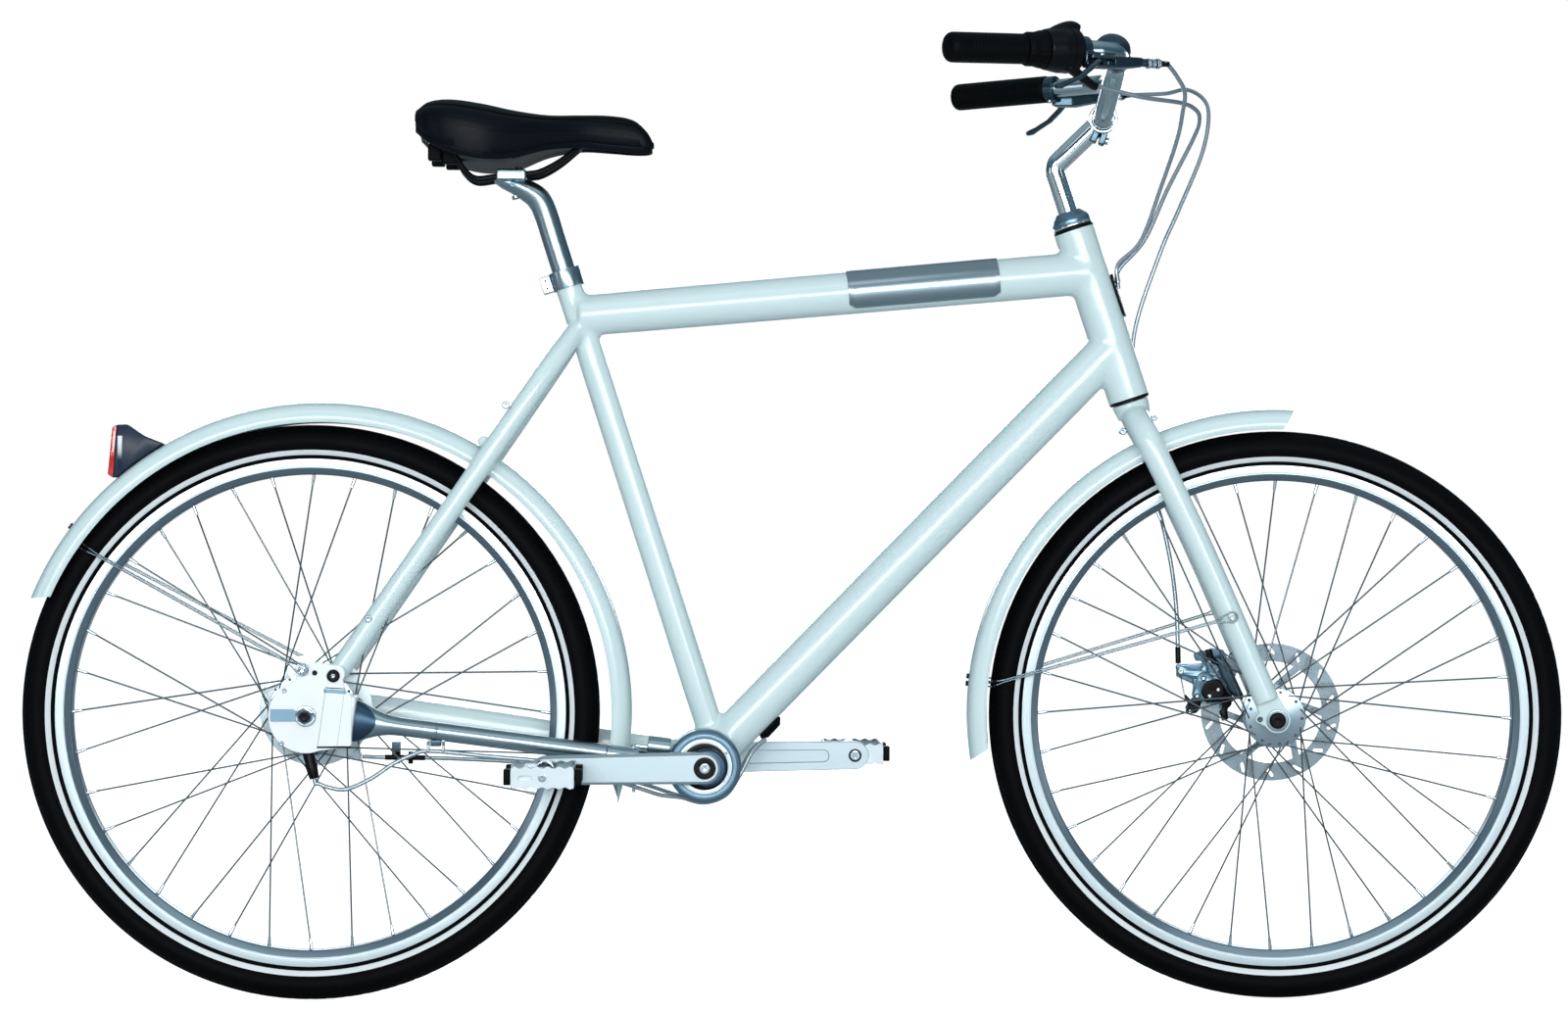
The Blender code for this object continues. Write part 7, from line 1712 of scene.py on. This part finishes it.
CALIPER_FORMS = {
    "arms": [
        (-43.8, 27.9), (-35.6, 27.9), (-26.8, 24.5), (-16.8, 23.0), (-13.0, 24.5), (-12.4, 29.0),
        (-13.8, 33.9), (-20.3, 33.9), (-21.8, 36.5), (-23.2, 41.9), (-19.1, 43.5), (-14.8, 46.4),
        (-9.2, 45.4), (-6.8, 42.2), (-6.6, 35.3), (-7.0, 26.2), (-4.5, 19.9), (3.8, 14.2), (9.6, 5.6),
        (9.6, -11.5), (-13.8, -12.1), (-23.2, -10.4), (-24.4, -4.7), (-22.3, 5.6), (-24.2, 12.5),
        (-30.3, 16.5), (-41.4, 16.8),
    ],
    "bean": [
        (-20.3, 9.0), (-19.5, 14.7), (-16.2, 19.3), (-10.9, 21.4), (-5.0, 19.5), (0.8, 15.0), (4.9, 11.9),
        (0.2, 10.2), (-6.8, 6.7), (-12.7, 1.0), (-13.8, -5.8), (-12.7, -11.8), (-19.1, -12.5),
        (-23.0, -10.4), (-23.5, -5.8), (-21.5, 1.0),
    ],
    "wing": [
        (3.8, 12.5), (10.8, 11.9), (15.5, -1.3), (23.7, -9.3), (23.1, -12.7), (-6.8, -13.8), (-12.7, -11.5),
        (0.2, 1.0),
    ],
    "knob": [
        (-9.7, 46.7), (-1.5, 47.9), (-0.4, 41.0), (2.0, 36.5), (7.3, 30.7), (4.9, 28.5), (-2.1, 31.9),
        (-8.0, 36.5),
    ],
    "hook": [
        (-33.2, -6.4), (-31.4, -5.6), (-26.8, -10.4), (-25.0, -12.7), (-13.8, -13.3), (-13.8, -21.3),
        (-19.1, -27.0), (-26.8, -28.1), (-31.4, -25.8), (-30.3, -21.3), (-27.3, -18.4), (-32.0, -11.5),
    ],
    "tail": [
        (9.6, -12.7), (21.9, -12.7), (21.4, -17.3), (16.7, -21.8), (18.1, -33.8), (10.8, -36.1),
        (7.9, -25.3), (11.4, -19.5),
    ],
    "strip": [
        (1.4, 37.6), (9.6, 42.2), (19.0, 28.5), (28.4, 9.0), (35.4, -5.8), (34.3, -11.5), (26.1, -9.3),
        (16.7, -0.1), (9.6, 13.6), (6.1, 25.0),
    ],
}


def front_brake():
    """The caliper behind the wheel, with mounting arms, a bean-shaped body and a round black adjuster."""
    obj, body = copied("front_caliper")
    pieces = [painted(melted(obj, 0.0008, 8), "blue_alloy")]
    centre = FRONT_AXLE + Vector((-0.0669, 0, 0.0254))

    def at(x, z, depth):
        return centre + Vector((x / 1000, depth, z / 1000))

    for form, depth, thick, finish in (
        ("arms", 0.0300, 0.0040, "blue_alloy"), ("bean", 0.0252, 0.0034, "blue_alloy"),
        ("wing", 0.0255, 0.0030, "black_plastic"), ("knob", 0.0320, 0.0080, "black_plastic"),
        ("hook", 0.0310, 0.0050, "black_plastic"), ("tail", 0.0310, 0.0040, "black_plastic"),
        ("strip", 0.0315, 0.0040, "dark_alloy"),
    ):
        outline = rounded([(x / 1000, z / 1000) for x, z in CALIPER_FORMS[form]], 0.0016)
        pieces.append(painted(plate(form, [outline], thick, across_axle(centre, depth), 0.0005), finish))
    face = [(0.0, 0.0230), (0.0118, 0.0230), (0.0136, 0.0238), (0.0138, 0.0245), (0.0138, 0.0300)]
    face = [(r, -h) for r, h in [*face, (0.0, 0.0300)]]
    pieces.append(painted(lathe("adjuster", face, across_axle(centre), 64), "black_plastic"))
    for x, z, depth, radius, finish in (
        (-4.2, -6.4, 0.0230, 0.0022, "chrome"), (5.7, 1.0, 0.0230, 0.0022, "chrome"),
        (-11.5, 13.8, 0.0235, 0.0034, "dark_alloy"), (-18.8, -7.0, 0.0235, 0.0034, "dark_alloy"),
        (-37.3, 21.4, 0.0280, 0.0034, "chrome"), (-26.2, -25.5, 0.0285, 0.0026, "chrome"),
    ):
        pieces.append(screw_head(at(x, z, depth), side(-1), radius, 0.0012, finish))
    for x, z in ((-11.5, 13.8), (-18.8, -7.0)):
        pieces.append(screw_head(at(x, z, 0.0228), side(-1), 0.0020, 0.0010, "chrome"))
    end, before = FRONT_BRAKE_CABLE[-1], FRONT_BRAKE_CABLE[-2]
    stop = at(-37.3, 21.4, 0.0380)
    pieces.append(painted(block("stop", stop, (0.0085, 0.0180, 0.0090)), "blue_alloy"))
    pieces.append(painted(rod("ferrule", end, before, 0.0031, sides=24), "black_plastic"))
    pieces.append(painted(rod("wire", end, at(-32.6, -8.0, 0.0330), 0.0007, sides=10), "steel"))
    add(joined("caliper_body", pieces), body, "dark_alloy", "front_caliper", smooth=50)
    arm, body = eased("caliper_arm", "black_plastic", 0.0006)
    pivot = guard_point(FRONT_AXLE, math.radians(159), 0.0715, ROTOR_SIDE + 0.0202)
    cap = screw_head(pivot, side(1), 0.0060, 0.0020)
    add(joined("caliper_lever", [arm, cap]), body, "black_plastic", "caliper_arm")


def tail_light():
    bevelled("tail_light_body", "black_plastic", 0.0012, "light_housing")
    lens, body = eased("tail_light_lens", "red_lens", 0.0010, 3)
    low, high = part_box("tail_light_lens")
    pieces = [lens]
    for k in range(7):
        z = low.z + 0.012 + k * 0.006
        x = low.x + 0.0022 + 0.0016 * (z - low.z) / 0.05
        rib = block("rib", Vector((x, 0, z)), (0.0016, 0.030, 0.0012), None, 0.0004)
        pieces.append(painted(rib, "red_lens"))
    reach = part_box("tail_light_body")[1].y
    # The clear strips on each side carry a painted reflection, dark below and pale above.
    for across in (RIGHT, LEFT):
        place = Vector((high.x + 0.0036, (reach - 0.0001) * across, low.z + 0.0275))
        pieces.append(painted(block("clear", place, (0.0052, 0.0012, 0.0400), None, 0.0004), "clear_strip"))
    add(joined("lens", pieces), body, "red_lens", "tail_light_lens")


def rear_brake():
    inner, outer = 0.0421, 0.0552
    outline = [
        (-0.010, -0.030), (0.012, -0.044), (0.040, -0.058), (0.052, -0.058), (0.052, -0.050),
        (0.036, -0.030), (0.010, -0.020),
    ]
    drum = [(0.0055, inner), (0.0440, inner), (0.0436, inner + 0.003), (0.0415, inner + 0.0070)]
    drum += [(0.0400, inner + 0.0075), (0.0120, inner + 0.0082), (0.0120, outer), (0.0055, outer)]
    drum = [(r, -h) for r, h in drum]
    pieces = [
        lathe("drum", drum, across_axle(REAR_AXLE), 96),
        plate("arm", [rounded(outline, 0.004, 4)], 0.004, across_axle(REAR_AXLE, inner + 0.003)),
    ]
    pieces = [painted(piece, "satin_alloy") for piece in pieces]
    outer_end = REAR_AXLE + Vector((0.1240, 0.0550, -0.0562))
    inner_end = REAR_AXLE + Vector((0.0780, 0.0520, -0.0555))
    pieces.append(painted(rod("adjuster", outer_end, inner_end, 0.0031, sides=24), "black_plastic"))
    for share in (0.30, 0.62):
        place = outer_end.lerp(inner_end, share)
        wheel = rod("wheel", place, place + (inner_end - outer_end) * 0.12, 0.0072, sides=20)
        pieces.append(painted(wheel, "black_plastic"))
    bracket = outer_end.lerp(inner_end, 0.72) + Vector((0, 0, 0.008))
    pieces.append(painted(block("bracket", bracket, (0.0100, 0.0040, 0.0200)), "dark_alloy"))
    add(joined("brake_drum_cover", pieces), "frame", "satin_alloy", "rear_brake_unit")


# Cables


def route_from(origin, *points):
    return [origin + Vector(point) for point in points]


FRONT_BRAKE_CABLE = [
    *route_from(
        HEAD_TOP, (0.1109, 0.158, 0.1717), (0.1349, 0.132, 0.1737), (0.1539, 0.106, 0.1587),
        (0.1579, 0.090, 0.1337), (0.1489, 0.075, 0.0907), (0.1229, 0.060, 0.0277), (0.1004, 0.052, -0.0253),
        (0.0719, 0.047, -0.1163),
    ),
    *route_from(PIVOT, (0.0095, 0.0505, 0.0002), (0.0235, 0.0690, -0.0798), (0.0430, 0.0700, -0.1448)),
    *route_from(
        FRONT_AXLE, (-0.1140, 0.0620, 0.1635), (-0.1085, 0.0520, 0.1135), (-0.1070, 0.0470, 0.0735),
        (-0.1065, 0.0450, 0.0547),
    ),
]
BAR_BRAKE_CABLE = route_from(
    HEAD_TOP, (0.1077, -0.150, 0.1612), (0.1176, -0.130, 0.1457), (0.1170, -0.105, 0.1267),
    (0.1122, -0.080, 0.0972), (0.0970, -0.045, 0.0481), (0.0759, -0.018, -0.0123),
)
SHIFT_CABLE = route_from(
    HEAD_TOP, (0.0201, -0.186, 0.1473), (0.0689, -0.150, 0.1388), (0.1151, -0.100, 0.1369),
    (0.1332, -0.070, 0.1320), (0.1389, -0.050, 0.1227), (0.1337, -0.030, 0.1034), (0.1057, -0.005, 0.0462),
    (0.0809, 0.008, -0.0103),
)
REAR_SHIFT_CABLE = [
    *route_from(
        BRACKET, (0.0550, -0.014, 0.0130), (0.0405, -0.020, -0.0134), (0.0250, -0.022, -0.0352),
        (0.0000, -0.023, -0.0438), (-0.0264, -0.026, -0.0375), (-0.0486, -0.032, -0.0344),
        (-0.0710, -0.038, -0.0269),
    ),
    *route_from(
        REAR_AXLE, (0.3139, -0.047, -0.0635), (0.2699, -0.047, -0.0525), (0.2038, -0.047, -0.0465),
        (0.1368, -0.047, -0.0405), (0.1162, -0.050, -0.0450), (0.0958, -0.054, -0.0545),
        (0.0711, -0.058, -0.0710), (0.0440, -0.060, -0.0825), (0.0244, -0.060, -0.0803),
        (0.0140, -0.060, -0.0765),
    ),
]
REAR_BRAKE_CABLE = [
    *route_from(
        BRACKET, (0.0550, 0.008, 0.0130), (0.0405, 0.007, -0.0134), (0.0250, 0.007, -0.0352),
        (0.0000, 0.009, -0.0438), (-0.0264, 0.015, -0.0395), (-0.0704, 0.030, -0.0269),
    ),
    *route_from(
        REAR_AXLE, (0.3124, 0.0400, -0.0680), (0.2670, 0.0460, -0.0625), (0.1987, 0.0520, -0.0587),
        (0.1247, 0.0550, -0.0562), (0.0770, 0.0520, -0.0555), (0.0530, 0.0455, -0.0543),
    ),
]


def port_mouth(across, drop, proud):
    face = HEAD_TUBE_RADIUS + 0.0028 + proud
    point = head_point(HEAD_LENGTH - 0.061 - drop) + STEER_AHEAD * face + side(0.006 * across)
    return STEERED.inverted() @ point


def boot_exit(across):
    axis = (head_point(DOWN_TUBE_HEIGHT) - BRACKET).normalized()
    below = Vector((axis.z, 0, -axis.x))
    return BRACKET + axis * 0.069 + below * (DOWN_TUBE_RADIUS + 0.0075) + side(0.0045 * across)


def cable(name, node, body, points, crossing=None):
    obj = tube(name, smooth_route(points, 8), CABLE_RADIUS, sides=14, uv=True)
    add(obj, body, "braided", node, smooth=60, ride=crossing is None)
    if crossing:
        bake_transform(obj)


def cables():
    start = [barrel_mouth(LEFT, 3 * GAP), barrel_mouth(LEFT, 0.008)]
    cable("brake_hose_front", "front_brake_cable", "steering", [*start, *FRONT_BRAKE_CABLE])
    start = [barrel_mouth(RIGHT, 3 * GAP), barrel_mouth(RIGHT, 0.008)]
    end = [port_mouth(RIGHT, -0.008, 0.0090), port_mouth(RIGHT, 0.012, 0.0026)]
    ends = (BAR_BRAKE_CABLE[2], end[0])
    cable("brake_wire_bar", "bar_brake_cable", "steering", [*start, *BAR_BRAKE_CABLE, *end], ends)
    end = [port_mouth(LEFT, -0.002, 0.0095), port_mouth(LEFT, 0.018, 0.0026)]
    cable("shift_wire_bar", "bar_shift_cable", "steering", [*SHIFT_CABLE, *end], (SHIFT_CABLE[5], end[0]))
    end = [BOOT_MOUTH + BOOT_DOWN * 0.006, BOOT_MOUTH + BOOT_DOWN * 2 * GAP]
    cable("shift_wire_rear", "rear_shift_cable", "frame", [boot_exit(RIGHT), *REAR_SHIFT_CABLE, *end])
    cable("brake_wire_rear", "rear_brake_cable", "frame", [boot_exit(LEFT), *REAR_BRAKE_CABLE])


# Studio


def lamp(name, place, size, power):
    data = bpy.data.lights.new(name, "AREA")
    data.shape = "RECTANGLE"
    data.size, data.size_y = size
    data.energy = power
    made = linked(name, data)
    made.location = place
    aim = Vector((0, 0, 0.5)) - Vector(place)
    made.rotation_euler = aim.to_track_quat("-Z", "Y").to_euler()


def studio():
    """A white floor and backdrop; the pieces reflect a soft room, darker towards its horizon."""
    bm = bmesh.new()
    bmesh.ops.create_circle(bm, cap_ends=True, segments=128, radius=30.0)
    floor = new_object("floor", bm)
    pale = look("pale_floor", (0.50, 0.53, 0.55), 0.7, vary=0.01, grain=40, bump=0.0)
    tree = pale.node_tree
    seen = node(tree, "LightPath").outputs["Is Camera Ray"]
    glow = node(tree, "Math", {0: seen, 1: 0.88}, operation="MULTIPLY").outputs["Value"]
    fill(tree, tree.nodes["Principled BSDF"], {"Emission Color": (1, 1, 1, 1), "Emission Strength": glow})
    floor.data.materials.append(pale)
    scene = bpy.context.scene
    scene.world = bpy.data.worlds.new("studio")
    scene.world.use_nodes = True
    tree = scene.world.node_tree
    tree.nodes.clear()
    split = node(tree, "SeparateXYZ", {"Vector": node(tree, "TexCoord").outputs["Generated"]})
    height = node(tree, "MapRange", {"Value": split.outputs["Z"], "From Min": -1.0})
    ramp = node(tree, "ValToRGB", {"Fac": height.outputs["Result"]})
    for index, (position, *colour) in enumerate((
        (0.40, 0.30, 0.36, 0.39), (0.50, 0.12, 0.18, 0.22), (0.58, 0.05, 0.10, 0.14),
        (0.72, 0.10, 0.18, 0.23), (0.88, 0.32, 0.42, 0.46), (1.00, 0.42, 0.50, 0.54),
    )):
        elements = ramp.color_ramp.elements
        element = elements[index] if index < 2 else elements.new(position)
        element.position, element.color = position, (*colour, 1)
    room = node(tree, "Background", {"Color": ramp.outputs["Color"], "Strength": 0.95}).outputs["Background"]
    white = node(tree, "Background", {"Color": (1, 1, 1, 1)}).outputs["Background"]
    seen = node(tree, "LightPath").outputs["Is Camera Ray"]
    shown = node(tree, "MixShader", {"Fac": seen, 1: room, 2: white}).outputs["Shader"]
    node(tree, "OutputWorld", {"Surface": shown})
    lamp("front_light", (-0.3, -4.4, 1.15), (5.0, 1.0), 165)
    lamp("high_light", (0.2, -2.4, 3.2), (4.0, 0.8), 14)
    lamp("back_light", (0.2, 4.4, 1.5), (4.5, 1.0), 70)
    lamp("nose_light", (3.8, -1.6, 0.9), (0.7, 1.6), 7)
    lamp("end_light", (-3.8, -1.6, 0.9), (0.7, 1.6), 7)
    scene.view_settings.view_transform = "Standard"
    scene.view_settings.look = "None"


def camera():
    """The photograph's view: level, a little behind the bike's middle, from its right side."""
    data = bpy.data.cameras.new("camera")
    data.sensor_width = 36.0
    data.sensor_fit = "HORIZONTAL"
    data.lens = 71.6355
    data.clip_end = 100.0
    obj = linked("camera", data)
    ahead = Vector((0.0417, 0.9991, 0.00035)).normalized()
    level = Vector((ahead.y, -ahead.x, 0)).normalized()
    upward = level.cross(ahead)
    roll = 0.0057
    right = level * math.cos(roll) + upward * math.sin(roll)
    above = upward * math.cos(roll) - level * math.sin(roll)
    turn = Matrix((right, above, -ahead)).transposed().to_4x4()
    obj.matrix_world = Matrix.Translation((-0.1635, -3.5684, 0.5621)) @ turn
    bpy.context.scene.camera = obj


def inner_parts():
    """The gears and shafts inside the housings keep their own solids, smoothed."""
    for node in ("drive_shaft", "rear_drive_gear", "crank_axle"):
        bevelled(node, "steel", 0.0003)


camera()
studio()
main_frame()
headset()
frame_fittings()
seat_collar()
mudguards()
mudguard_stays()
seat_post()
saddle_fittings()
saddle()
for label, axle in (("front", FRONT_AXLE), ("rear", REAR_AXLE)):
    tyre(label, axle)
    rim(label, axle)
hubs()
rotor()
axles()
bracket_housing()
shaft_tube()
gear_case()
for label, across in (("right", RIGHT), ("left", LEFT)):
    crank(label, across)
    pedal(label, across)
handlebar_and_stem()
fork()
grips()
shifter()
levers()
bell()
front_brake()
tail_light()
rear_brake()
cables()
inner_parts()
